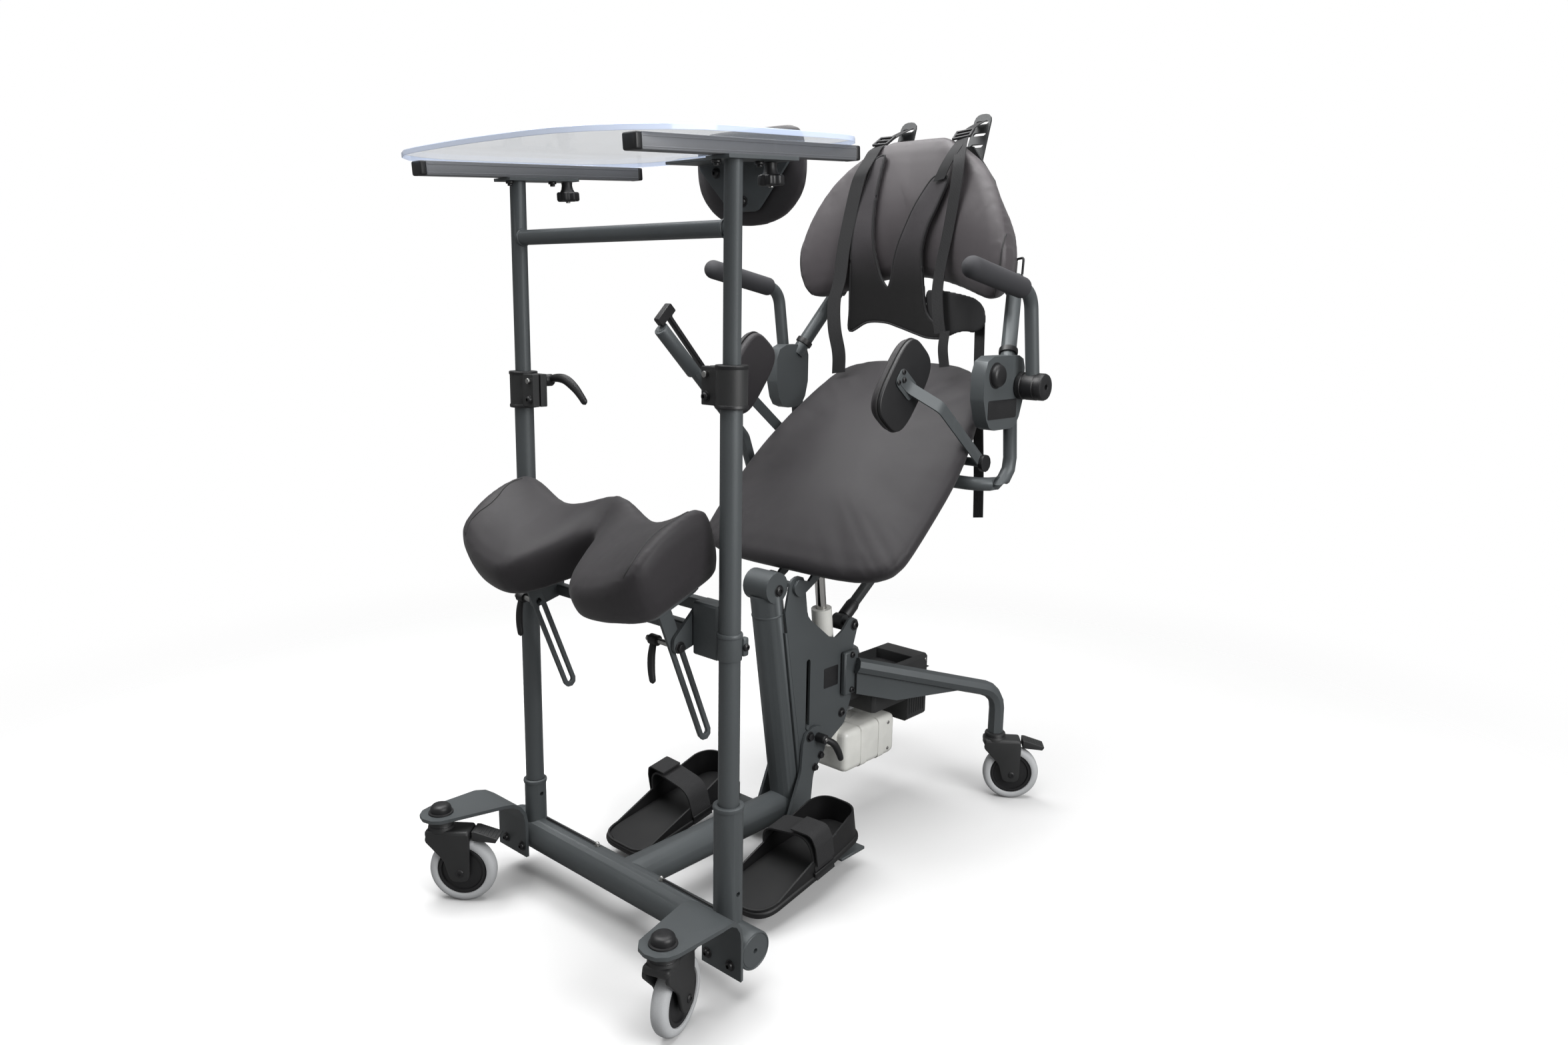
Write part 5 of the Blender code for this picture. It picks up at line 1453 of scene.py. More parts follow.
@dataclass
class CasterSet:
    """Four swivel casters: moulded fork, banded collar, tyre on a dished hub, ribbed brake pedal."""

    radius: float = 0.0575
    width: float = 0.026
    hub_radius: float = 0.0425
    trail: float = 0.036
    cheek: float = 0.015
    blade: float = 0.007
    shoulder: float = 0.119
    roof: float = 0.133

    def wheel(self, spot: Caster) -> None:
        """Rounded tyre and dished hub.

        Args:
            spot: which caster it belongs to.
        """
        body = f"wheel_{spot.word}"
        place = spot.placement() @ aimed((0, self.trail, self.radius), X_AXIS)
        r, h, hub = self.radius, self.width / 2, self.hub_radius
        face = [(hub, h - 0.0030), (hub + 0.0006, h - 0.0008), (hub + 0.0020, h), (r - 0.0070, h - 0.0004),
                (r - 0.0034, h - 0.0022), (r - 0.0010, h - 0.0056), (r, h - 0.0100)]
        tyre = Shape().turned(both_faces(face), place, 72).piece(f"tyre_{spot.word}", body, TYRE)
        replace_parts(tyre, f"caster_wheel_{spot.word}")
        dish = [(0.0, h - 0.0040), (0.0110, h - 0.0040), (0.0130, h - 0.0022), (0.0300, h - 0.0046),
                (0.0345, h - 0.0046), (0.0360, h - 0.0020), (0.0400, h - 0.0018), (0.0412, h - 0.0034),
                (hub - 0.0004, h - 0.0034), (hub, h - 0.0060)]
        Shape().turned(both_faces(dish), place, 72).piece(f"hub_{spot.word}", body, BLACK)

    def fork(self, spot: Caster) -> None:
        """Moulded fork with comma blades, a banded collar and the axle's bolt heads.

        Args:
            spot: which caster it belongs to.
        """
        body, top = f"fork_{spot.word}", spot.collar_top
        place = spot.placement()
        half = self.cheek + self.blade
        low, high = (-half + 0.0006, -0.0235, self.shoulder - 0.0006), (half - 0.0006, 0.0530, self.roof)
        shape = Shape().box(low, high, 0.0055, 4, place)
        edge = rounded([(-0.0200, self.roof - 0.004, 0.004), (-0.0235, 0.1140, 0.010),
                        (0.0080, 0.0800, 0.030), (0.0190, 0.0410, 0.0160), (0.0520, 0.0410, 0.0160),
                        (0.0525, 0.0720, 0.050), (0.0535, 0.1180, 0.010),
                        (0.0520, self.roof - 0.004, 0.004)])
        for side in (1, -1):
            blade = place @ across_x(side * (self.cheek + self.blade / 2))
            shape.plate(edge, self.blade - 0.0006, blade, 0.0018, 3)
        neck = [(0.0, top), (0.0175, top), (0.0205, top - 0.0008), (0.0210, top - 0.0020),
                (0.0210, self.roof + 0.0034), (0.0224, self.roof + 0.0016), (0.0226, self.roof - 0.0040),
                (0.0, self.roof - 0.0040)]
        shape.turned(neck, place, 48)
        made = shape.piece(f"fork_body_{spot.word}", body, FORK)
        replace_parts(made, f"caster_fork_{spot.word}")
        bands = Shape()
        for level in (self.roof + 0.0052, top - 0.0044):
            ring = [(0.0200, -0.0011), (0.0212, -0.0010), (0.0217, 0.0), (0.0212, 0.0010), (0.0200, 0.0011)]
            bands.turned(ring, place @ Matrix.Translation((0, 0, level)), 48)
        for side in (1, -1):
            out = place.to_3x3() @ Vector((side, 0, 0))
            bands.bolt(place @ Vector((side * (half - 0.0005), self.trail, self.radius)), out, 0.0066,
                       0.0026)
        bands.piece(f"fork_bands_{spot.word}", body, BLACK)

    def pedal(self, spot: Caster) -> None:
        """Brake tongue behind the fork, with ribs across its tread.

        Args:
            spot: which caster it belongs to.
        """
        place = spot.placement()
        y, z = self.trail + 0.020, 0.125
        half = (self.width + 0.008) / 2
        edge = rounded([(y + 0.0006, z - 0.0090, 0.001), (y + 0.0415, z - 0.0118, 0.002),
                        (y + 0.0458, z - 0.0045, 0.002), (y + 0.0062, z + 0.0076, 0.002),
                        (y + 0.0006, z + 0.0074, 0.001)])
        shape = Shape().plate(edge, 2 * half, place @ across_x(0.0), 0.0012, 3)
        fall = (0.0076 + 0.0045) / (0.0458 - 0.0062)
        for step in range(5):
            run = 0.0140 + step * 0.0062
            level = z + 0.0076 - fall * (run - 0.0062)
            low = (-half + 0.003, y + run - 0.0012, level - 0.002)
            shape.box(low, (half - 0.003, y + run + 0.0012, level + 0.0008), 0.0006, 2, place)
        made = shape.piece(f"pedal_{spot.word}", f"pedal_{spot.word}", FORK)
        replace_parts(made, f"brake_pedal_{spot.word}")

    def build(self) -> None:
        """Make all four casters."""
        for spot in Caster:
            self.wheel(spot)
            self.fork(spot)
            self.pedal(spot)


# Lift


@dataclass
class Lift:
    """Actuator with its cream motor, control box, chrome rod and link arm."""

    solids: Solids
    motor_mid: tuple[float, float, float] = (0.0, 0.612, 0.146)
    motor_size: tuple[float, float, float] = (0.084, 0.165, 0.086)
    box_half: float = 0.055
    box_y: Spot = (0.600, 0.790)
    box_z: Spot = (0.165, 0.300)
    link: tuple[Spot, Spot] = ((0.555, 0.406), (0.810, 0.591))

    def motor_lines(self) -> None:
        """Parting lines and screws of the motor housing."""
        mid = at(*self.motor_mid)
        half = Vector(self.motor_size) / 2
        shape = Shape()
        for share in (-0.28, 0.42):
            y = mid.y + share * half.y
            low = (mid.x - half.x - 0.0006, y - 0.0011, mid.z - half.z - 0.0006)
            high = (mid.x + half.x + 0.0006, y + 0.0011, mid.z + half.z + 0.0006)
            shape.box(low, high, 0.0105, 4)
        shape.piece("motor_lines", "actuator", CREAM)
        screws = Shape()
        for side in Side:
            for step in (-0.028, 0.028):
                spot = (side.value * half.x, mid.y + half.y * 0.70, mid.z + step)
                screws.bolt(spot, (side.value, 0, 0), 0.0036, 0.0016)
        screws.piece("motor_screws", "actuator", STEEL)

    def box_details(self) -> None:
        """Lid line, side ribs and screws of the control box."""
        shape = Shape()
        x, (front, rear), (low, high) = self.box_half, self.box_y, self.box_z
        level = high - 0.030
        shape.box(at(-x - 0.0007, front + 0.008, level - 0.001),
                  at(x + 0.0007, rear + 0.0007, level + 0.001), 0.0006)
        for step in range(7):
            y = front + 0.126 + step * 0.008
            shape.box(at(-x - 0.0012, y - 0.0012, low + 0.014), at(x + 0.0012, y + 0.0012, low + 0.084),
                      0.0008)
        shape.piece("box_ribs", "base", FORK)
        screws = Shape()
        for side in Side:
            for y in (front + 0.012, rear - 0.012):
                screws.bolt(at(side.value * x, y, high - 0.012), (side.value, 0, 0), 0.0034, 0.0014)
        screws.piece("box_screws", "base", STEEL)

    def link_ends(self) -> None:
        """Black sleeves at the two ends of the link arm."""
        low, high = at(0, *self.link[0]), at(0, *self.link[1])
        way = (high - low).normalized()
        shape = Shape()
        for start, sign in ((low, 1), (high, -1)):
            shape.rod(start + way * sign * 0.014, start + way * sign * 0.046, 0.0136, 32, 0.0010)
            shape.rod(start + way * sign * 0.046, start + way * sign * 0.052, 0.0130, 32, 0.0010, 0.0118)
        shape.piece("link_sleeves", "link", BLACK)

    def build(self) -> None:
        """Dress the lift's solids and add its small parts."""
        self.solids.dress("actuator_body", CREAM)
        self.solids.dress("actuator_rod", CHROME, 0.0006)
        self.solids.dress("control_box", FORK)
        self.solids.dress("link_arm", DARK_GREY)
        self.motor_lines()
        self.box_details()
        self.link_ends()


# Back


def back_face(x: float) -> float:
    """Y of the back cushion's front from the post line; its sides wrap forward."""
    return 0.728 - 0.068 * (abs(x) / 0.254) ** 2.2


@dataclass
class Back:
    """Back frame with its pods, the shell with its strap plates, and the domed cushion."""

    solids: Solids
    pod_out: float = 0.276
    knob: Spot = (0.632, 0.900)
    plate: tuple[float, float, float, float] = (0.610, 0.706, 0.822, 0.856)
    short: float = 0.034
    panel_x: Spot = (0.205, 0.240)
    panel_deep: float = 0.030
    post: tuple[Point, Point] = ((0.256, 0.700, 0.914), (0.205, 0.800, 1.075))
    loop: tuple[Point, ...] = ((0.232, 0.752, 1.072), (0.252, 0.742, 1.074), (0.254, 0.741, 1.108),
                               (0.234, 0.751, 1.106))
    seam: tuple[Spot, ...] = ((0.150, 1.322), (0.186, 1.290), (0.212, 1.252), (0.229, 1.208),
                              (0.238, 1.160), (0.238, 1.098), (0.230, 1.058), (0.214, 1.030))

    def cushion(self) -> bpy.types.Object:
        """The domed cushion with its side seams.

        Returns:
            The cushion's cover.
        """
        padding = Padding(self.solids, "back_cushion", -Y_AXIS, 0.005, 3, 0.001, reach=0.008)
        cover = padding.build(LIT_BACK_VINYL, 0.85)
        self.wrap_sides(cover)
        skin = Skin(cover)
        for side in Side:
            route = smooth_route([(side.value * x, z, 0.0) for x, z in self.seam], 10)
            route = skin.lay([(spot.x, -0.5, spot.y) for spot in route], (0, 1, 0))
            Shape().swept(route, 0.0016, 8).piece(f"back_seam_{side.word}", "back", SEAM)
        return cover

    def wrap_sides(self, cover: bpy.types.Object) -> None:
        """Carry the cover's side panels back round the shell's edge.

        Args:
            cover: the cushion's cover.
        """
        bm = bmesh.new()
        bm.from_mesh(cover.data)
        bm.normal_update()
        for vert in bm.verts:
            lean = max(0.0, min(1.0, vert.normal.y * 1.6))
            vert.co.y += self.panel_deep * eased(abs(vert.co.x), *self.panel_x) * lean
        bm.to_mesh(cover.data)
        bm.free()

    def pod(self, side: Side) -> None:
        """Black cap knob and bare plate on a pod; the right pod is shorter in front.

        Args:
            side: which side it is on.
        """
        x = side.value * self.pod_out
        step = 0.0 if side is Side.LEFT else self.short
        spot = at(x, self.knob[0] + step, self.knob[1])
        place = aimed(spot, (side.value, 0, 0))
        profile = [(0.0, 0.0124), (0.0120, 0.0122), (0.0172, 0.0108), (0.0198, 0.0078), (0.0206, 0.0030),
                   (0.0206, 0.0010), (0.0232, 0.0008), (0.0236, -0.001)]
        Shape().turned(profile, place, 40).piece(f"pod_knob_{side.word}", "back", BLACK)
        left, right, low, high = self.plate
        left += step
        outline = rounded([(left, low, 0.004), (right, low, 0.004), (right, high, 0.004),
                           (left, high, 0.004)])
        plate = Shape().plate(outline, 0.0010, side_place(x + side.value * 0.0003), 0.0003)
        plate.piece(f"pod_label_{side.word}", "back", BLACK)

    def post_rings(self, side: Side) -> None:
        """Collars where a back post leaves its pod and enters the shell.

        Args:
            side: which side it is on.
        """
        foot, top = (at(side.value * x, y, z) for x, y, z in self.post)
        way = (top - foot).normalized()
        profile = [(0.0140, -0.006), (0.0172, -0.005), (0.0176, 0.0), (0.0172, 0.005), (0.0140, 0.006)]
        shape = Shape()
        for spot in (foot + way * 0.030, top - way * 0.030):
            shape.turned(profile, aimed(spot, way), 36)
        shape.piece(f"post_rings_{side.word}", "back", BLACK)

    def side_loop(self) -> None:
        """Rectangular strap loop on the left rear edge of the shell."""
        spots = [at(*spot) for spot in self.loop]
        route = fillet([(spots[0] + spots[1]) / 2] + spots[1:] + [spots[0], (spots[0] + spots[1]) / 2],
                       0.005, 5)
        Shape().swept(route, 0.0022, 12).piece("side_loop", "back", BLACK)

    def build(self) -> bpy.types.Object:
        """Dress the back.

        Returns:
            The cushion's cover.
        """
        self.solids.dress("back_frame", GREY)
        self.solids.dress("back_shell", DARK_GREY, 0.0008)
        for side in Side:
            self.pod(side)
            self.post_rings(side)
        self.side_loop()
        return self.cushion()


@dataclass
class Harness:
    """Padded chest vest with piped edges, shoulder webbing, buckles and loose tails."""

    skin: Skin
    pad: float = 0.010
    web: float = 0.025
    web_t: float = 0.0016
    hang: float = 1.094
    soft: float = 0.030
    sway: float = 0.06
    cell: float = 0.0022
    rounds: int = 4
    tail: float = 0.022
    vest: tuple[Spot, ...] = (
        (-0.041, 1.054), (-0.033, 1.067), (-0.023, 1.107), (-0.009, 1.140), (0.012, 1.178), (0.038, 1.220),
        (0.070, 1.258), (0.102, 1.252), (0.085, 1.210), (0.063, 1.170), (0.048, 1.131), (0.044, 1.103),
        (0.047, 1.049), (0.056, 1.005), (0.085, 0.979), (0.100, 0.960), (0.060, 0.958), (0.027, 0.965),
        (-0.015, 0.977), (-0.047, 0.985), (-0.087, 0.984), (-0.124, 0.966), (-0.124, 1.010),
        (-0.121, 1.085), (-0.115, 1.138), (-0.107, 1.182), (-0.098, 1.225), (-0.088, 1.268),
        (-0.080, 1.297), (-0.058, 1.306), (-0.060, 1.278), (-0.064, 1.239), (-0.068, 1.195),
        (-0.068, 1.141), (-0.063, 1.104), (-0.055, 1.074))
    flap: tuple[Spot, ...] = (
        (0.050, 1.046), (0.080, 1.050), (0.120, 1.046), (0.158, 1.034), (0.181, 1.016), (0.184, 0.986),
        (0.160, 0.971), (0.131, 0.970), (0.104, 0.960), (0.070, 0.975), (0.052, 1.005))
    tuck_x: Spot = (0.112, 0.158)

    def drape(self, x: float, z: float, gap: float) -> Vector:
        """A point in front of the cushion, or hanging under it.

        Args:
            x: across.
            z: height.
            gap: distance off the cushion.

        Returns:
            The point.
        """
        face = []
        level = (z + self.hang + math.hypot(z - self.hang, self.soft)) / 2
        for dx, dz in ((0, 0), (0.008, 0), (-0.008, 0), (0, 0.008), (0, -0.008)):
            hit = self.skin.hit((x + dx, -0.5, level + dz), (0, 1, 0))
            face.append(back_face(x) + POST_LINE if hit is None else hit.y)
        sway = self.sway * (level - z)
        return Vector((x, sum(face) / len(face) - gap + sway, z))

    def outline(self, points: Sequence[Spot]) -> list[Spot]:
        """A smooth closed edge through points.

        Args:
            points: its edge as (x, z).

        Returns:
            The edge's points.
        """
        spots = [(a, b, 0.0) for a, b in points]
        route = smooth_route(spots[-2:] + spots + spots[:2], 5)
        return [(spot.x, spot.y) for spot in route[10:-6]]

    def panel(self, name: str, points: Sequence[Spot], thickness: float, gap: float,
              finish: Finish, tuck: float = 0.0) -> bpy.types.Object:
        """A stuffed cloth panel laid over the cushion.

        Args:
            name: its name.
            points: its edge as (x, z).
            thickness: how thick it is stuffed.
            gap: distance of its middle from the cushion.
            finish: its finish.
            tuck: how far its left end is drawn back.

        Returns:
            The panel.
        """
        shape = Shape().plate(self.outline(points), thickness, front_place(-POST_LINE), 0.0)
        obj, bm = evened(shape.bm, name, self.cell, self.rounds)
        for vert in bm.verts:
            thick = vert.co.y
            drawn = tuck * eased(vert.co.x, *self.tuck_x)
            vert.co = self.drape(vert.co.x, vert.co.z, gap) + Vector((0, thick + drawn, 0))
        bm.to_mesh(obj.data)
        bm.free()
        return settle(obj, "back", finish, 60.0)

    def piping(self, name: str, points: Sequence[Spot], gap: float) -> None:
        """Black cord sewn round a panel's edge.

        Args:
            name: what it is called.
            points: its edge as (x, z).
            gap: distance off the cushion.
        """
        ring = self.outline(points)
        route = [self.drape(a, b, gap) for a, b in ring + ring[:1]]
        Shape().swept(route, 0.0023, 10).piece(name, "back", WEB)

    def strap(self, name: str, points: Sequence[Point], gap: float, held: str = "laid",
              rests_on: Sequence[str] = ("back_cushion_cover",),
              width: float | None = None) -> bpy.types.Object:
        """A length of webbing that lies on the cushion where it meets it.

        Args:
            name: its name.
            points: places along it from the post line.
            gap: distance off the cushion.
            held: how it is held; not used.
            rests_on: what it lies on or hangs from; not used.
            width: its width, where it isn't the usual.

        Returns:
            The strap.
        """
        route = self.skin.clear(smooth_route([at(*spot) for spot in points], 10), gap)
        for _ in range(3):
            middle = [(a + b * 2 + c) / 4 for a, b, c in zip(route, route[1:], route[2:])]
            route = [route[0]] + middle + [route[-1]]
        strap = Shape().ribbon(route, width or self.web, self.web_t, Vector((1, 0, 0.15)))
        strap = strap.piece(name, "back", WEB, 60.0)
        length = sum((b - a).length for a, b in zip(route, route[1:]))
        return strap

    def buckle(self, name: str, spot: Point, way: Point) -> None:
        """Ladder buckle: a frame with a middle bar.

        Args:
            name: its name.
            spot: its middle, from the post line.
            way: the direction of the webbing through it.
        """
        run = Vector(way).normalized()
        side = (X_AXIS - run * X_AXIS.dot(run)).normalized()
        turn = Matrix((side, run, side.cross(run))).transposed().to_4x4()
        place = Matrix.Translation(at(*spot)) @ turn
        shape = Shape()
        for step in (-0.015, 0.0, 0.015):
            shape.box((-0.017, step - 0.0024, -0.0024), (0.017, step + 0.0024, 0.0024), 0.0014, 3, place)
        for edge in (-0.0165, 0.0165):
            shape.box((edge - 0.0022, -0.0172, -0.0026), (edge + 0.0022, 0.0172, 0.0026), 0.0014, 3, place)
        shape.piece(name, "back", BLACK)

    def build(self) -> None:
        """Lay the vest, its webbing, buckles and tails."""
        vest = self.panel("vest", self.vest, self.pad, 0.0066, VEST)
        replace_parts(vest, "harness")
        self.piping("vest_piping", self.vest, 0.0096)
        flap = self.panel("vest_flap", self.flap, 0.004, 0.0030, WEB, 0.034)
        left = [(0.088, 0.836, 1.370), (0.090, 0.802, 1.356), (0.095, 0.770, 1.338), (0.112, 0.735, 1.318),
                (0.128, 0.706, 1.288), (0.131, 0.698, 1.258), (0.122, 0.700, 1.201), (0.110, 0.704, 1.147),
                (0.099, 0.706, 1.102), (0.092, 0.706, 1.049), (0.098, 0.704, 0.996), (0.104, 0.704, 0.968)]
        right = [(-0.088, 0.836, 1.370), (-0.088, 0.802, 1.356), (-0.090, 0.770, 1.340),
                 (-0.090, 0.735, 1.318), (-0.097, 0.706, 1.280), (-0.107, 0.702, 1.251),
                 (-0.120, 0.700, 1.197), (-0.133, 0.697, 1.130), (-0.140, 0.695, 1.066),
                 (-0.150, 0.692, 1.025), (-0.146, 0.690, 0.971), (-0.136, 0.694, 0.921),
                 (-0.140, 0.700, 0.880)]
        self.strap("shoulder_web_left", left, 0.0050)
        self.strap("shoulder_web_right", right, 0.0050, width=0.034)
        self.strap("vest_web_left", [(0.100, 0.760, 1.332), (0.108, 0.720, 1.305), (0.098, 0.706, 1.276),
                                     (0.086, 0.704, 1.250)], 0.0034)
        self.buckle("buckle_left", (0.097, 0.764, 1.338), (0.25, -0.8, -0.5))
        self.buckle("buckle_right", (-0.090, 0.764, 1.340), (0.0, -0.8, -0.5))
        tails = {"tail_left": [(0.162, 0.752, 0.990), (0.166, 0.750, 0.900), (0.172, 0.748, 0.803),
                               (0.178, 0.750, 0.700), (0.183, 0.748, 0.615)],
                 "tail_middle": [(0.116, 0.704, 0.972), (0.114, 0.702, 0.940), (0.118, 0.704, 0.905)]}
        for name, route in tails.items():
            self.strap(name, route, 0.003, "hung", ("vest_flap",), self.tail)


@dataclass
class Handles:
    """Flip-back handles: black ringed hub, bent tube and foam grip."""

    x: float = 0.302
    pivot: Spot = (0.716, 0.879)
    bend: Spot = (0.690, 1.047)
    tip: Spot = (0.479, 1.086)
    tube: float = 0.0125
    grip: float = 0.0186
    hub_in: float = 0.2766
    hub_out: float = 0.3298
    hub_radius: float = 0.0250
    bend_radius: float = 0.045
    grip_from: float = 0.028

    def hub(self, side: Side) -> None:
        """Ringed hub with a socketed end cap.

        Args:
            side: which side it is on.
        """
        place = aimed(at(0, *self.pivot), (side.value, 0, 0))
        r, low, high = self.hub_radius, self.hub_in, self.hub_out
        profile = [(0.0, low), (r - 0.002, low), (r, low + 0.002), (r, low + 0.010),
                   (r - 0.0016, low + 0.0112), (r - 0.0016, low + 0.0138), (r, low + 0.0150),
                   (r, high - 0.0180), (r - 0.0014, high - 0.0170), (r - 0.0014, high - 0.0150),
                   (r - 0.0004, high - 0.0140), (r - 0.0004, high - 0.0050), (r - 0.0020, high - 0.0016),
                   (r - 0.0060, high), (0.0064, high), (0.0050, high - 0.0008), (0.0044, high - 0.0060),
                   (0.0, high - 0.0060)]
        body = f"handle_{side.word}"
        hub = Shape().turned(profile, place, 56).piece(f"handle_hub_{side.word}", body, BLACK)
        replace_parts(hub, body)

    def arm(self, side: Side) -> None:
        """Bent tube and the foam grip on it, round at both ends.

        Args:
            side: which side it is on.
        """
        x = side.value * self.x
        low, bend, tip = at(x, *self.pivot), at(x, *self.bend), at(x, *self.tip)
        start = low + (bend - low).normalized() * 0.018
        way = (tip - bend).normalized()
        route = fillet([start, bend, tip - way * 0.022], self.bend_radius, 14)
        tube = Shape().swept(route, self.tube, 32, up=X_AXIS)
        tube.piece(f"handle_tube_{side.word}", f"handle_{side.word}", GREY)
        first, length = bend + way * self.grip_from, (tip - bend).length - self.grip_from

        def girth(share: float) -> float:
            """The grip's radius at a share of its length.

            Args:
                share: the place along it, 0 to 1.

            Returns:
                The radius.
            """
            back, front = share * length, (1 - share) * length
            round_back = math.sqrt(max(0.0, 1 - (1 - min(1.0, back / 0.006)) ** 2))
            round_front = math.sqrt(max(0.0, 1 - (1 - min(1.0, front / self.grip)) ** 2))
            return max(0.0015, self.grip * (0.72 + 0.28 * round_back) * round_front)

        steps = [0.0, 0.001, 0.003, 0.006]
        steps += [0.006 + (length - 0.026) * n / 14 for n in range(1, 15)]
        steps += [length - self.grip * (1 - math.sin(n * math.pi / 20)) for n in range(1, 10)] + [length]
        route = [first + way * min(step, length) for step in sorted(steps)]
        grip = Shape().swept(route, girth, 36, up=X_AXIS)
        grip.piece(f"handle_grip_{side.word}", f"handle_{side.word}", GRIP)

    def build(self) -> None:
        """Make both handles."""
        for side in Side:
            self.hub(side)
            self.arm(side)


# Seat


@dataclass
class Seat:
    """Seat frame, cushion, hip guides and hand lever."""

    solids: Solids
    pitch: float = math.radians(42)
    stub: Spot = (0.6625, 0.7368)
    hip_turn: float = math.radians(52)
    pad_rise: float = 0.240
    pad_out: float = 0.1960
    knob_from: float = 0.2388
    pad_half: Spot = (0.081, 0.049)
    pad_power: float = 3.4
    pad_steps: int = 64
    bracket: tuple[Point, ...] = ((-0.018, 0.216, 0.010), (0.018, 0.216, 0.010), (0.018, 0.272, 0.014),
                                  (-0.018, 0.272, 0.014))
    screws: tuple[Spot, ...] = ((0.0, 0.226), (0.0, 0.256), (0.011, 0.264), (-0.011, 0.264))
    lever_x: float = -0.263
    lever_bend: Spot = (0.5482, 0.7487)
    lever_top: Spot = (0.3234, 0.9715)
    sleeve: float = 0.0143
    sleeve_aside: float = 0.0032

    def cushion(self) -> None:
        """The seat's cover."""
        face = Vector((0, -math.sin(self.pitch), math.cos(self.pitch)))
        Padding(self.solids, "seat_cushion", face, rounds=7, shrink=0.001, reach=0.014).build(VINYL, 0.85)

    def hip_place(self, side: Side) -> Matrix:
        """Placement of a hip guide: own X outward, own Z up its bar."""
        place = Matrix.Translation(at(0, *self.stub)) @ Matrix.Rotation(self.hip_turn, 4, "X")
        return place if side is Side.LEFT else Matrix.Scale(-1, 4, (1, 0, 0)) @ place

    def hip_pad(self, side: Side) -> None:
        """Oval pad: a rimmed back plate, a stuffed face and the bracket's screws.

        Args:
            side: which side it is on.
        """
        a, b = self.pad_half
        oval = []
        for step in range(self.pad_steps):
            turn = 2 * math.pi * step / self.pad_steps
            c, d = math.cos(turn), math.sin(turn)
            grow = (abs(c) ** self.pad_power + abs(d) ** self.pad_power) ** (-1 / self.pad_power)
            oval.append((a * c * grow, self.pad_rise + b * d * grow))
        place = self.hip_place(side)
        body = f"hip_{side.word}"
        back = Shape().plate(oval, 0.0080, place @ across_x(self.pad_out - 0.0042), 0.0026, 4)
        back.piece(f"hip_plate_{side.word}", body, BLACK)
        edge = [place @ Vector((self.pad_out - 0.0094, y, z)) for y, z in oval + oval[:1]]
        Shape().swept(edge, 0.0019, 10, up=X_AXIS).piece(f"hip_piping_{side.word}", body, SEAM)
        inner = [(y * 0.985, self.pad_rise + (z - self.pad_rise) * 0.985) for y, z in oval]
        face = Shape().plate(inner, 0.0170, place @ across_x(self.pad_out - 0.0165), 0.0078, 6)
        face = face.piece(f"hip_face_{side.word}", body, VINYL, 60.0)
        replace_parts(face, f"hip_pad_{side.word}")
        plate = Shape().plate(rounded(self.bracket), 0.0024, place @ across_x(self.pad_out + 0.0012))
        plate.piece(f"hip_bracket_{side.word}", body, GREY)
        screws = Shape()
        out = place.to_3x3() @ X_AXIS
        for y, z in self.screws:
            reach = 0.0042 if y == 0.0 else 0.0022
            screws.bolt(place @ Vector((self.pad_out + reach, y, z)), out, 0.0050, 0.0026)
        screws.piece(f"hip_screws_{side.word}", body, BLACK_BOLT)

    def hip_bar(self, side: Side) -> None:
        """Painted bar of a hip guide with the black knob at its root.

        Args:
            side: which side it is on.
        """
        obj = self.solids.dress(f"hip_bar_{side.word}", GREY, 0.0006)
        obj.data.materials.append(BLACK.material())
        for face in obj.data.polygons:
            face.material_index = 1 if abs(face.center.x) > self.knob_from else 0

    def lever_grip(self) -> None:
        """Thick sleeve on the hand lever's upper end."""
        low, top = at(self.lever_x, *self.lever_bend), at(self.lever_x, *self.lever_top)
        way = (top - low).normalized()
        aside = X_AXIS.cross(way) * self.sleeve_aside
        place = aimed(top + aside, way)
        r = self.sleeve
        profile = [(0.0, -0.0008), (r - 0.0030, -0.0008), (r - 0.0008, -0.0012), (r, -0.0032), (r, -0.1180),
                   (r - 0.0010, -0.1200), (0.0112, -0.1204)]
        Shape().turned(profile, place, 40).piece("lever_grip", "lever", GREY)

    def build(self) -> None:
        """Dress the seat."""
        self.solids.dress("seat_frame", GREY)
        self.solids.dress("hand_lever", GREY)
        self.lever_grip()
        self.solids.dress("squeeze_trigger", BLACK)
        self.cushion()
        for side in Side:
            self.hip_bar(side)
            self.hip_pad(side)


# Front frame


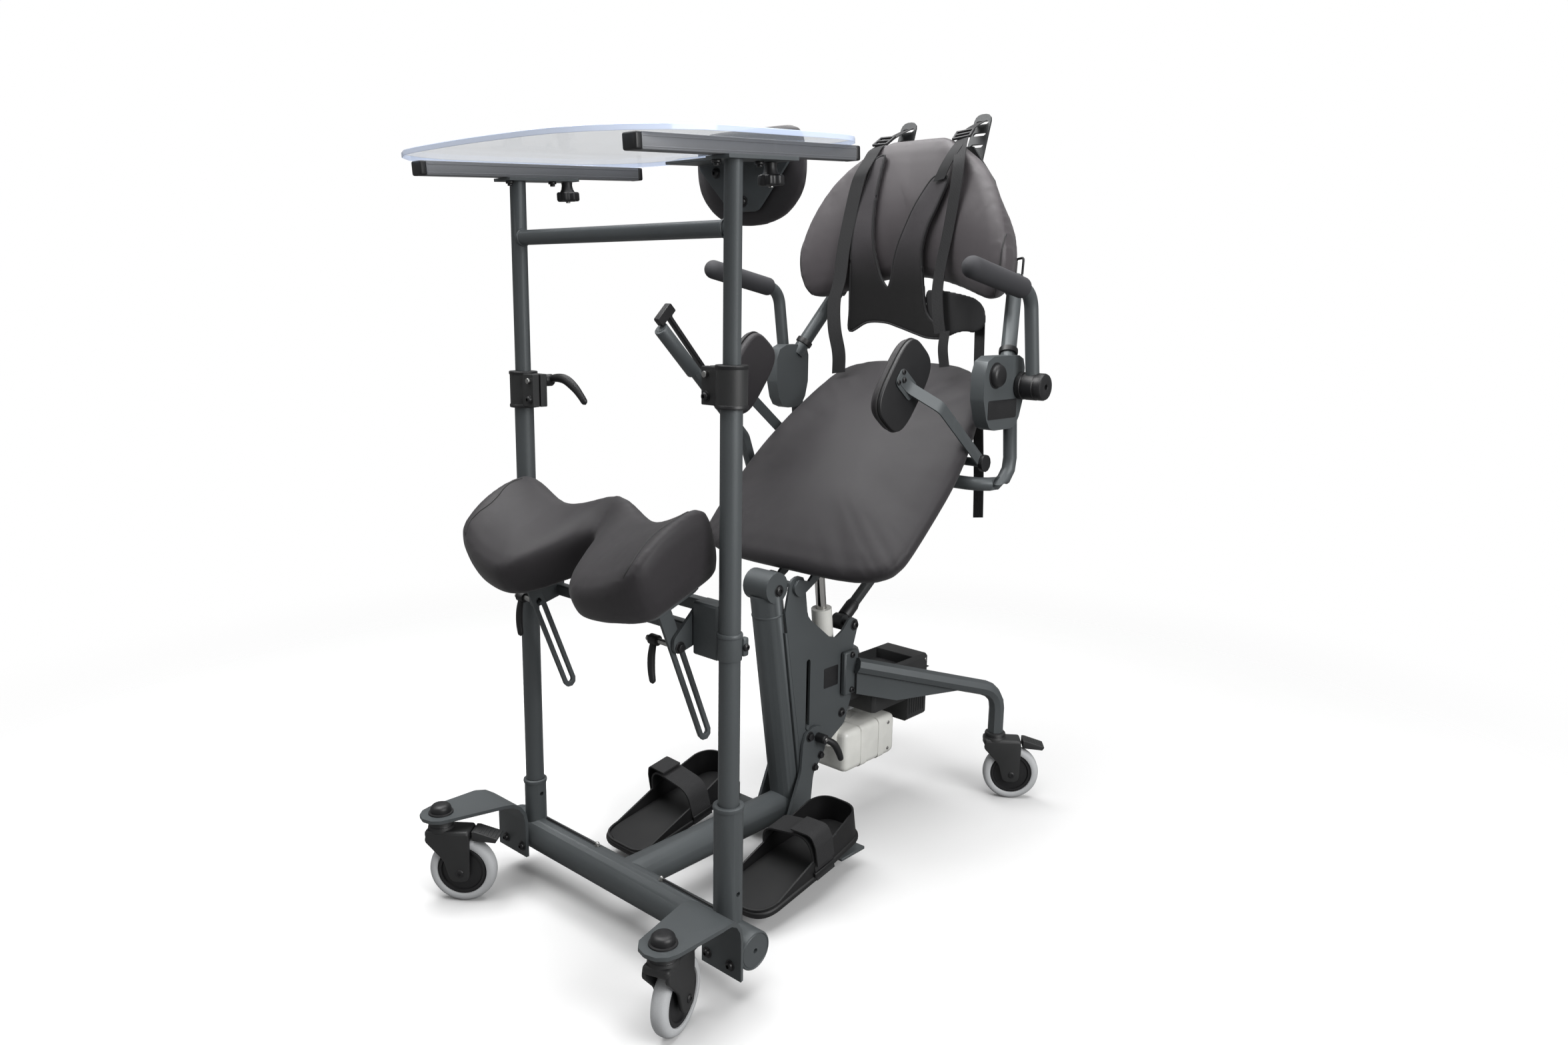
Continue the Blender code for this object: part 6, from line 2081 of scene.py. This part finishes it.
@dataclass
class Front:
    """Posts, telescoping upper frame and the two split clamps with their cam levers."""

    solids: Solids
    post_x: float = 0.243
    clamp_z: Spot = (0.8765, 0.8425)
    clamp_height: float = 0.0595
    clamp_radius: float = 0.0225
    lug: float = 0.014
    lug_in: float = 0.036
    bar_radius: float = 0.0127
    bar_z: float = 1.116
    sleeve: float = 0.0160
    handle_right: tuple[Point, ...] = (
        (0.0, 0.0100, 0.0), (0.018, 0.0118, 0.0045), (0.040, 0.0138, 0.0030), (0.060, 0.0160, -0.0080),
        (0.075, 0.0180, -0.0220), (0.0855, 0.0195, -0.0345))
    handle_left: tuple[Point, ...] = (
        (0.0, 0.0100, 0.0), (0.0025, 0.0118, -0.018), (0.0040, 0.0138, -0.040), (0.0020, 0.0160, -0.060),
        (-0.0050, 0.0180, -0.077), (-0.0120, 0.0195, -0.089))

    def low(self, side: Side) -> float:
        """Height of a clamp's underside."""
        return self.clamp_z[0] if side is Side.LEFT else self.clamp_z[1]

    def clamp(self, side: Side) -> None:
        """Lips round a clamp, its lower bolt and the pin's bright end.

        Args:
            side: which side it is on.
        """
        low, x = self.low(side), side.value * self.post_x
        body, r = "front", self.clamp_radius
        lip = [(0.0136, 0.0), (r, 0.0), (r + 0.0008, 0.0010), (r + 0.0008, 0.0044), (r, 0.0056)]
        shape = Shape().turned(lip, Matrix.Translation(at(x, 0, low)), 48)
        high = [(r, -0.0056), (r + 0.0008, -0.0044), (r + 0.0008, -0.0010), (r, 0.0), (0.0136, 0.0006)]
        shape.turned(high, Matrix.Translation(at(x, 0, low + self.clamp_height)), 48)
        shape.piece(f"clamp_lips_{side.word}", body, BLACK)
        lug_x = side.value * (self.post_x - self.lug_in)
        spot = at(lug_x, -self.lug, low + 0.015)
        bolt = Shape().seated_bolt(spot, -Y_AXIS, (0.0076, 0.0012), (0.0062, 0.0046))
        bolt.piece(f"clamp_bolt_{side.word}", body, BLACK_BOLT)
        spot = at(lug_x, -self.lug, low + 0.0455)
        pin = Shape().rod(spot, spot + Vector((0, -0.0050, 0)), 0.0046, 28, 0.0008)
        pin.piece(f"clamp_pin_{side.word}", body, STEEL)

    def lever(self, side: Side) -> None:
        """Curved cam lever of a clamp; the left one hangs behind its post.

        Args:
            side: which side it is on.
        """
        x, z = side.value * (self.post_x - self.lug_in), self.low(side) + self.clamp_height - 0.014
        pivot = at(x, self.lug + 0.0003, z)
        spots = self.handle_left if side is Side.LEFT else self.handle_right
        hub = [(0.0, 0.0), (0.0096, 0.0), (0.0100, 0.0008), (0.0100, 0.0150), (0.0084, 0.0174),
               (0.0, 0.0180)]
        pin = [(0.0, 0.0186), (0.0036, 0.0184), (0.0042, 0.0178), (0.0042, 0.016)]
        cam = CamLever(f"clamp_lever_{side.word}", Y_AXIS, hub, pin, belly=0.0018, reach=1.05, power=2.0,
                       least=0.04, flat=1.15, steps=(36, 24))
        cam.build(pivot, spots, (f"clamp_handle_{side.word}", f"clamp_handle_pin_{side.word}"))

    def weld_bead(self, side: Side) -> None:
        """Weld bead where the H bar meets a post.

        Args:
            side: which side it is on.
        """
        r = self.bar_radius
        bead = [(r - 0.002, -0.0024), (r + 0.0010, -0.0016), (r + 0.0016, 0.0), (r + 0.0010, 0.0016),
                (r - 0.002, 0.0024)]
        place = aimed(at(side.value * (self.post_x - 0.0120), 0, self.bar_z), X_AXIS)
        Shape().turned(bead, place, 36).piece(f"weld_bead_{side.word}", "upper", GREY)

    def hinge_sleeve(self) -> None:
        """Sleeve round the left post at the knee bars, with its lug behind."""
        r = self.sleeve
        profile = [(r, 0.516), (r + 0.0016, 0.5164), (r + 0.0020, 0.5180), (r + 0.0020, 0.5500),
                   (r + 0.0030, 0.5510), (r + 0.0032, 0.5540), (r + 0.0024, 0.5560), (r, 0.5566)]
        shape = Shape().turned(profile, Matrix.Translation(at(self.post_x, 0, 0)), 44)
        shape.box(at(self.post_x + 0.006, 0.0125, 0.520), at(self.post_x + 0.016, 0.024, 0.548), 0.0030, 3)
        shape.piece("hinge_sleeve", "front", GREY)
        bolt = Shape().bolt(at(self.post_x + 0.016, 0.017, 0.534), (1, 0, 0), 0.0056, 0.0040)
        bolt.piece("hinge_sleeve_bolt", "front", BLACK_BOLT)

    def build(self) -> None:
        """Dress the front frame."""
        self.solids.dress("lower_frame", GREY)
        self.solids.dress("upper_frame", GREY)
        self.hinge_sleeve()
        for side in Side:
            self.solids.dress(f"clamp_{side.word}", FORK, 0.0016)
            self.clamp(side)
            self.lever(side)
            self.weld_bead(side)


@dataclass
class Tray:
    """Clear tray, its channel rails, star knobs and the chest pad."""

    solids: Solids
    tilt: float = math.radians(4.1)
    rail_z: float = 1.2090
    rail_height: float = 0.021
    rail_width: float = 0.026
    rail_y: Spot = (-0.178, 0.254)
    post_x: float = 0.243
    knob: Spot = (0.229, 0.086)
    knob_radius: float = 0.019
    knob_top: float = -0.0056
    lobes: int = 7
    chest_y: float = 0.2667

    def tipped(self) -> Matrix:
        """Placement of the tray's own level frame, with y from the post line."""
        pivot = Matrix.Translation(at(0, 0, self.rail_z))
        return pivot @ Matrix.Rotation(self.tilt, 4, "X")

    def sheet(self) -> None:
        """The clear sheet with its cut edge in a denser tint."""
        obj = self.solids.dress("tray", CLEAR, 0.0012)
        obj.data.materials.append(CLEAR_EDGE.material())
        up = self.tipped().to_3x3() @ Z_AXIS
        for face in obj.data.polygons:
            face.material_index = 0 if abs(face.normal.dot(up)) > 0.7 else 1

    def rail(self, side: Side) -> None:
        """Channel rail with lines along its sides and plugs in its ends.

        Args:
            side: which side it is on.
        """
        place = self.tipped()
        x, half = side.value * self.post_x, self.rail_width / 2
        (front, rear), top = self.rail_y, self.rail_height
        shape = Shape().box((x - half, front + 0.010, 0.0), (x + half, rear - 0.010, top), 0.0012, 3, place)
        made = shape.piece(f"rail_{side.word}", "tray", RAIL_GREY)
        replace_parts(made, f"tray_rail_{side.word}")
        plugs = Shape()
        for low, far in ((front, front + 0.0112), (rear - 0.0112, rear)):
            plugs.box((x - half - 0.0002, low, -0.0002), (x + half + 0.0002, far, top + 0.0001), 0.0030, 4,
                      place)
        plugs.piece(f"rail_plugs_{side.word}", "tray", BLACK)
        lines = Shape()
        for edge in (-1, 1):
            for level in (0.0040, 0.0165):
                low = Vector((x + edge * half - 0.0004, front + 0.0114, level - 0.0009))
                high = Vector((x + edge * half + 0.0004, rear - 0.0114, level + 0.0009))
                lines.box(low, high, 0.0003, 2, place)
        lines.piece(f"rail_lines_{side.word}", "tray", RAIL_GREY)

    def star_knob(self, side: Side) -> None:
        """Seven-lobed hand knob, its neck and the stud's end.

        Args:
            side: which side it is on.
        """
        x, y = side.value * self.knob[0], self.knob[1]
        edge = []
        count = 12 * self.lobes
        for step in range(count):
            turn = 2 * math.pi * step / count
            radius = self.knob_radius * (0.90 + 0.10 * math.cos(self.lobes * turn))
            edge.append((radius * math.cos(turn), radius * math.sin(turn)))
        place = self.tipped() @ Matrix.Translation((x, y, self.knob_top))
        shape = Shape().plate(edge, 0.0150, place @ Matrix.Translation((0, 0, -0.0236)), 0.0032, 4)
        neck = [(0.0, -0.016), (0.0120, -0.016), (0.0098, -0.012), (0.0086, -0.006), (0.0092, -0.0006),
                (0.0, -0.0002)]
        shape.turned(neck, place, 32)
        made = shape.piece(f"star_knob_{side.word}", f"tray_knob_{side.word}", BLACK)
        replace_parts(made, f"tray_knob_{side.word}")
        stud = Shape().rod(place @ Vector((0, 0, -0.0310)), place @ Vector((0, 0, -0.0335)), 0.0036, 20,
                           0.0006)
        stud.piece(f"knob_stud_{side.word}", f"tray_knob_{side.word}", STEEL)

    def rail_screws(self, side: Side) -> None:
        """Two screws that hold a top plate to its rail.

        Args:
            side: which side it is on.
        """
        shape = Shape()
        place = self.tipped()
        down = place.to_3x3() @ -Z_AXIS
        for y in (-0.022, 0.060):
            spot = place @ Vector((side.value * (self.post_x - 0.010), y, -0.0055))
            shape.rod(spot, spot + down * 0.0040, 0.0066, 24, 0.0008)
            shape.rod(spot + down * 0.0040, spot + down * 0.0075, 0.0040, 20, 0.0008)
        shape.piece(f"rail_screws_{side.word}", "upper", BLACK_BOLT)

    def chest(self) -> None:
        """Chest pad, its bracket and three bolts."""
        self.solids.dress("chest_bracket", GREY)
        Padding(self.solids, "chest_pad", Y_AXIS, 0.004, shrink=0.002, reach=0.006).build(VINYL, 0.9)
        shape = Shape()
        place = self.tipped()
        ahead = place.to_3x3() @ -Y_AXIS
        for x, z in ((-0.060, 0.002), (0.060, 0.002), (0.0, -0.046)):
            spot = place @ Vector((x, self.chest_y, z))
            shape.seated_bolt(spot, ahead, (0.0092, 0.0012), (0.0070, 0.0050))
        shape.piece("chest_bolts", "tray", BLACK_BOLT)

    def build(self) -> None:
        """Dress the tray."""
        self.sheet()
        self.chest()
        for side in Side:
            self.rail(side)
            self.star_knob(side)
            self.rail_screws(side)


# Knee rest


@dataclass
class KneeRest:
    """W-shaped knee pad on its plate and slotted stems, with the stems' cam levers."""

    solids: Solids
    stem_x: float = 0.167
    stem_t: float = 0.006
    bolt: Spot = (-0.036, 0.527)
    pitch: float = math.radians(20)
    front: Point = (0.0, -0.154, 0.561)
    handle: tuple[Point, ...] = (
        (-0.0360, 0.0, 0.0), (-0.0360, -0.0036, -0.0120), (-0.0358, -0.0062, -0.0270),
        (-0.0340, -0.0078, -0.0460), (-0.0302, -0.0082, -0.0655))
    lug_gap: Spot = (0.0068, 0.0078)
    seam: tuple[Point, ...] = ((0.192, 0.034), (0.196, 0.050), (0.194, 0.070), (0.190, 0.092),
                               (0.192, 0.111), (0.197, 0.128), (0.200, 0.146), (0.198, 0.166))

    def cushion(self) -> None:
        """The pad's cover, with a seam along each wing."""
        face = Vector((0, -math.sin(self.pitch), math.cos(self.pitch)))
        padding = Padding(self.solids, "knee_pad", face, 0.005, rounds=3, shrink=0.002, reach=0.006)
        skin = Skin(padding.build(VINYL, 0.9))
        place = Matrix.Translation(at(*self.front)) @ Matrix.Rotation(self.pitch, 4, "X")
        for side in Side:
            route = smooth_route([place @ Vector((side.value * x, y, 0.30)) for x, y in self.seam], 10)
            route = skin.lay(route, -face)
            Shape().swept(route, 0.0012, 8).piece(f"knee_seam_{side.word}", "knee", SEAM)

    def lever(self, side: Side) -> None:
        """Cam lever that hangs from a stem's bolt, with the bolt's bright end.

        Args:
            side: which side it is on.
        """
        clear = self.lug_gap[0 if side is Side.LEFT else 1]
        pivot = at(side.value * self.stem_x - self.stem_t / 2 - clear, *self.bolt)
        hub = [(0.0, 0.0268), (0.0076, 0.0268), (0.0082, 0.0276), (0.0082, 0.0430), (0.0066, 0.0450),
               (0.0, 0.0452)]
        pin = [(0.0, 0.0520), (0.0034, 0.0518), (0.0044, 0.0508), (0.0044, 0.0002), (0.0, 0.0)]
        cam = CamLever(f"knee_lever_{side.word}", -X_AXIS, hub, pin, slim=0.0050, flat=0.9)
        cam.build(pivot, self.handle, (f"knee_handle_{side.word}", f"knee_pin_{side.word}"))

    def nuts(self, side: Side) -> None:
        """Washer and nut outside each stem's lug.

        Args:
            side: which side it is on.
        """
        spot = at(side.value * (self.stem_x + 0.0100), *self.bolt)
        out = Vector((side.value, 0, 0))
        shape = Shape().hex_bolt(spot, out, (0.0090, 0.0014), (0.0066, 0.0064))
        shape.piece(f"knee_nut_{side.word}", "front", BLACK_BOLT)

    def build(self) -> None:
        """Dress the knee rest."""
        self.solids.dress("knee_base", GREY)
        self.cushion()
        for side in Side:
            self.lever(side)
            self.nuts(side)


# Feet


@dataclass
class Feet:
    """Foot arms and the sandals on them: soles, heel cups, straps and clamping levers."""

    solids: Solids
    x: float = 0.150
    half: float = 0.060
    toe: float = 0.112
    heel: float = 0.400
    floor: float = 0.068
    sole: float = 0.020
    lock: Spot = (0.443, 0.209)
    arm_out: float = 0.0425
    pivot: Spot = (0.384, 0.058)
    tilt: float = math.radians(10)
    handle: tuple[Point, ...] = (
        (0.0150, 0.0, 0.0), (0.0200, 0.0090, -0.0050), (0.0250, 0.0200, -0.0140),
        (0.0268, 0.0310, -0.0320), (0.0272, 0.0398, -0.0515))
    arm_bolt: tuple[Point, ...] = ((0.420, 0.216, 0.0078), (0.436, 0.150, 0.0060), (0.452, 0.170, 0.0060))
    wall_in: float = 0.0026
    wall_high: float = 0.044
    wall_thick: float = 0.0034
    wall_run: Spot = (0.055, 0.220)

    def tipped(self, shape: Shape, side: Side) -> Shape:
        """Tip a sandal's shape toes down about its pivot and put it on its side.

        Args:
            shape: the left sandal's shape, level.
            side: which foot it is for.

        Returns:
            The shape.
        """
        away = Matrix.Translation(at(0, *self.pivot))
        turn = away @ Matrix.Rotation(self.tilt, 4, "X") @ away.inverted()
        bmesh.ops.transform(shape.bm, matrix=turn, verts=shape.bm.verts)
        return shape if side is Side.LEFT else shape.mirrored()

    def edge(self, grow: float) -> list[Spot]:
        """The sandal's outline, drawn in by a distance.

        Args:
            grow: how far it is drawn in.

        Returns:
            The outline as (x, y) points.
        """
        wide, slim = self.half - grow, self.half * 0.80 - grow
        x, toe, heel = self.x, self.toe + grow, self.heel - grow
        return rounded([(x - wide, toe, 0.030), (x + wide, toe, 0.045), (x + wide, self.toe + 0.140, 0.100),
                        (x + slim, heel, 0.040), (x - slim, heel, 0.040),
                        (x - wide, self.toe + 0.140, 0.100)], 10)

    def wall(self) -> Shape:
        """Side wall that climbs from the instep round the heel.

        Returns:
            The wall's shape.
        """
        bm = bmesh.new()
        ring = self.edge(self.wall_in)
        verts = [bm.verts.new(at(a, b, self.floor + self.sole * 0.6)) for a, b in ring]
        edges = [bm.edges.new((verts[n], verts[(n + 1) % len(verts)])) for n in range(len(verts))]
        grown = bmesh.ops.extrude_edge_only(bm, edges=edges)["geom"]
        for vert in (g for g in grown if isinstance(g, bmesh.types.BMVert)):
            run = vert.co.y - POST_LINE - self.toe
            vert.co.z += self.sole * 0.4 + 0.004 + self.wall_high * eased(run, *self.wall_run)
        bmesh.ops.subdivide_edges(bm, edges=bm.edges[:], cuts=1)
        bmesh.ops.recalc_face_normals(bm, faces=bm.faces)
        bmesh.ops.solidify(bm, geom=bm.faces[:], thickness=self.wall_thick)
        return Shape().take(bm)

    def sandal(self, side: Side) -> None:
        """Thin sole with a raised rim, heel cup, pivot block and inlaid mat.

        Args:
            side: which side it is on.
        """
        body = f"foot_plate_{side.word}"
        top, thick = self.floor + self.sole, 0.012
        level = Matrix.Translation((0, POST_LINE, top - thick / 2))
        shape = Shape().plate(self.edge(0.0), thick - 0.0004, level, 0.0040, 4)
        shape.take(self.wall().bm)
        shape.box(at(self.x - 0.0158, 0.3722, 0.0502), at(self.x + 0.0158, 0.3958, top - 0.008), 0.0016, 2)
        made = self.tipped(shape, side).piece(f"sandal_{side.word}", body, SANDAL)
        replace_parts(made, f"foot_plate_{side.word}")
        mat = Shape().plate(self.edge(0.0075), 0.0020,
                            level @ Matrix.Translation((0, 0, thick / 2 + 0.0004)), 0.0006)
        self.tipped(mat, side).piece(f"sandal_mat_{side.word}", body, MAT)

    def strap(self, side: Side) -> None:
        """Wide strap arched over the instep, with its folded-back tab outside.

        Args:
            side: which side it is on.
        """
        body = f"foot_plate_{side.word}"
        x, reach, low, high = self.x, self.half + 0.0012, self.floor + 0.010, self.floor + 0.094
        y = self.toe + 0.158
        corners = [at(x - reach, y, low), at(x - reach + 0.006, y, high - 0.016),
                   at(x + reach - 0.010, y + 0.004, high), at(x + reach, y + 0.004, low)]
        shape = Shape().ribbon(fillet(corners, 0.034, 14), 0.047, 0.0034, Y_AXIS)
        fold = [at(x + 0.012, y + 0.001, high + 0.0022), at(x + reach - 0.004, y + 0.003, high + 0.0030),
                at(x + reach + 0.0030, y + 0.004, high - 0.020),
                at(x + reach + 0.0036, y + 0.004, high - 0.056)]
        shape.take(Shape().ribbon(fillet(fold, 0.024, 10), 0.044, 0.0028, Y_AXIS).bm)
        self.tipped(shape, side).piece(f"foot_strap_{side.word}", body, WEB, 60.0)
        ring = Shape()
        for edge in (-1, 1):
            mid = at(x + edge * (self.half - 0.0004), y + 0.002, self.floor + 0.022)
            ring.box(mid + Vector((-0.0030, -0.026, -0.0045)), mid + Vector((0.0030, 0.026, 0.0045)),
                     0.0016, 3)
        self.tipped(ring, side).piece(f"strap_slots_{side.word}", body, SANDAL)

    def lever(self, side: Side) -> None:
        """Clamping lever on an arm's lock bolt.

        Args:
            side: which side it is on.
        """
        pivot = at(self.arm_out + 0.0003, *self.lock)
        hub = [(0.0, 0.0), (0.0088, 0.0), (0.0092, 0.0008), (0.0092, 0.0195), (0.0074, 0.0216),
               (0.0, 0.0220)]
        pin = [(0.0, 0.0232), (0.0034, 0.0230), (0.0040, 0.0224), (0.0040, 0.021)]
        cam = CamLever(f"foot_lever_{side.word}", X_AXIS, hub, pin)
        cam.build(pivot, self.handle, (f"foot_handle_{side.word}", f"foot_pin_{side.word}"),
                  side is Side.RIGHT)

    def arm_bolts(self, side: Side) -> None:
        """Hex bolts on the outer face of a foot arm.

        Args:
            side: which side it is on.
        """
        out = Vector((side.value, 0, 0))
        shape = Shape()
        for y, z, radius in self.arm_bolt:
            spot = at(side.value * self.arm_out, y, z)
            shape.hex_bolt(spot, out, (radius * 1.3, 0.0012), (radius, 0.0060))
        shape.piece(f"arm_bolts_{side.word}", f"foot_arm_{side.word}", BLACK_BOLT)

    def build(self) -> None:
        """Dress both feet."""
        for side in Side:
            self.solids.dress(f"foot_arm_{side.word}", GREY)
            self.sandal(side)
            self.strap(side)
            self.lever(side)
            self.arm_bolts(side)


@dataclass
class Studio:
    """Camera at the photograph's angle, soft lamps, pale floor and white surroundings."""

    eye: Vector = field(default_factory=lambda: at(1.300, -1.069, 1.020))
    azimuth: float = math.radians(41.83)
    pitch: float = math.radians(11.36)
    roll: float = math.radians(1.0)
    lens: float = 25.104
    floor_size: float = 6.0
    fade: Spot = (0.9, 2.4)
    floor_seen: Colour = (0.80, 0.80, 0.80)
    floor_bounce: Colour = (0.22, 0.22, 0.22)
    ambient: float = 0.22

    def camera(self) -> None:
        """Place the camera and make it the scene's own."""
        a, p, r = self.azimuth, self.pitch, self.roll
        right = Vector((math.cos(a), math.sin(a), 0))
        ahead = Vector((-math.sin(a) * math.cos(p), math.cos(a) * math.cos(p), -math.sin(p)))
        up = right.cross(ahead)
        across = right * math.cos(r) + up * math.sin(r)
        rise = up * math.cos(r) - right * math.sin(r)
        data = bpy.data.cameras.new("camera")
        data.sensor_width = 36.0
        data.sensor_fit = "HORIZONTAL"
        data.lens = self.lens
        data.clip_end = 100.0
        obj = bpy.data.objects.new("camera", data)
        turn = Matrix((across, rise, -ahead)).transposed().to_4x4()
        obj.matrix_world = Matrix.Translation(self.eye) @ turn
        bpy.context.scene.collection.objects.link(obj)
        bpy.context.scene.camera = obj

    def lamp(self, name: str, spot: Point, aim: Point, size: float, power: float) -> None:
        """Add one soft square lamp.

        Args:
            name: its name.
            spot: where it hangs.
            aim: what it faces.
            size: its side.
            power: its power in watts.
        """
        data = bpy.data.lights.new(name, "AREA")
        data.size = size
        data.energy = power
        obj = bpy.data.objects.new(name, data)
        obj.matrix_world = aimed(spot, Vector(spot) - Vector(aim))
        bpy.context.scene.collection.objects.link(obj)

    def surroundings(self) -> None:
        """White to the camera and through the tray, plain soft light for the rest."""
        graph = Graph("studio", world=True)
        bpy.context.scene.world = graph.owner
        path = graph.node("ShaderNodeLightPath").outputs
        seen = Value(graph, path["Is Camera Ray"]).largest(Value(graph, path["Is Transmission Ray"]))
        mix = graph.node("ShaderNodeMix", None, {0: seen, 2: self.ambient, 3: 1.0})
        level = Value(graph, mix.outputs[0])
        shine = graph.node("ShaderNodeBackground", None, {"Color": (1.0, 1.0, 1.0), "Strength": level})
        graph.node("ShaderNodeOutputWorld", None, {"Surface": Value(graph, shine.outputs[0])})

    def floor(self) -> None:
        """A pale floor under the wheels that fades into the white round it."""
        bm = bmesh.new()
        bmesh.ops.create_grid(bm, x_segments=1, y_segments=1, size=self.floor_size)
        obj = linked(bm, "floor")
        graph = Graph("pale_floor")
        seen = Value(graph, graph.node("ShaderNodeLightPath").outputs["Is Camera Ray"])
        graph.paint(Base_Color=graph.tint(seen, self.floor_bounce, self.floor_seen))
        graph.paint(Roughness=0.9, Specular_IOR_Level=0.0)
        away = graph.node("ShaderNodeVectorMath", {"operation": "LENGTH"}, {0: graph.place()})
        fade = graph.node("ShaderNodeMapRange", {"interpolation_type": "SMOOTHSTEP"},
                          {"Value": Value(graph, away.outputs["Value"]), "From Min": self.fade[0],
                           "From Max": self.fade[1], "To Min": 1.0, "To Max": 0.0})
        graph.paint(Alpha=Value(graph, fade.outputs[0]))
        obj.data.materials.append(graph.owner)

    def build(self) -> None:
        """Set up the whole studio."""
        bpy.context.scene.view_settings.view_transform = "Standard"
        self.camera()
        self.surroundings()
        self.floor()
        aim = at(0.0, 0.30, 0.65)
        self.lamp("top", at(-0.2, 0.2, 3.0), at(0.0, 0.3, 0.0), 3.2, 130.0)
        self.lamp("key", at(-1.2, -2.4, 2.4), aim, 1.6, 10.0)
        self.lamp("crown", at(-0.35, -0.15, 2.30), at(0.0, 0.70, 1.15), 0.9, 16.0)
        self.lamp("side", at(2.9, 0.2, 1.7), aim, 1.8, 74.0)


def main() -> None:
    """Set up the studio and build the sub-assemblies in order."""
    logging.basicConfig(level=logging.INFO, format="%(message)s")
    for obj in list(bpy.data.objects):
        bpy.data.objects.remove(obj, do_unlink=True)
    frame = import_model()
    Studio().build()
    solids = Solids(frame)
    Harness(Skin(Back(solids).build())).build()
    for part in (Base(solids), CasterSet(), Lift(solids), Seat(solids), Handles(), Front(solids),
                 Tray(solids), KneeRest(solids), Feet(solids)):
        part.build()


if __name__ == "__main__":
    main()
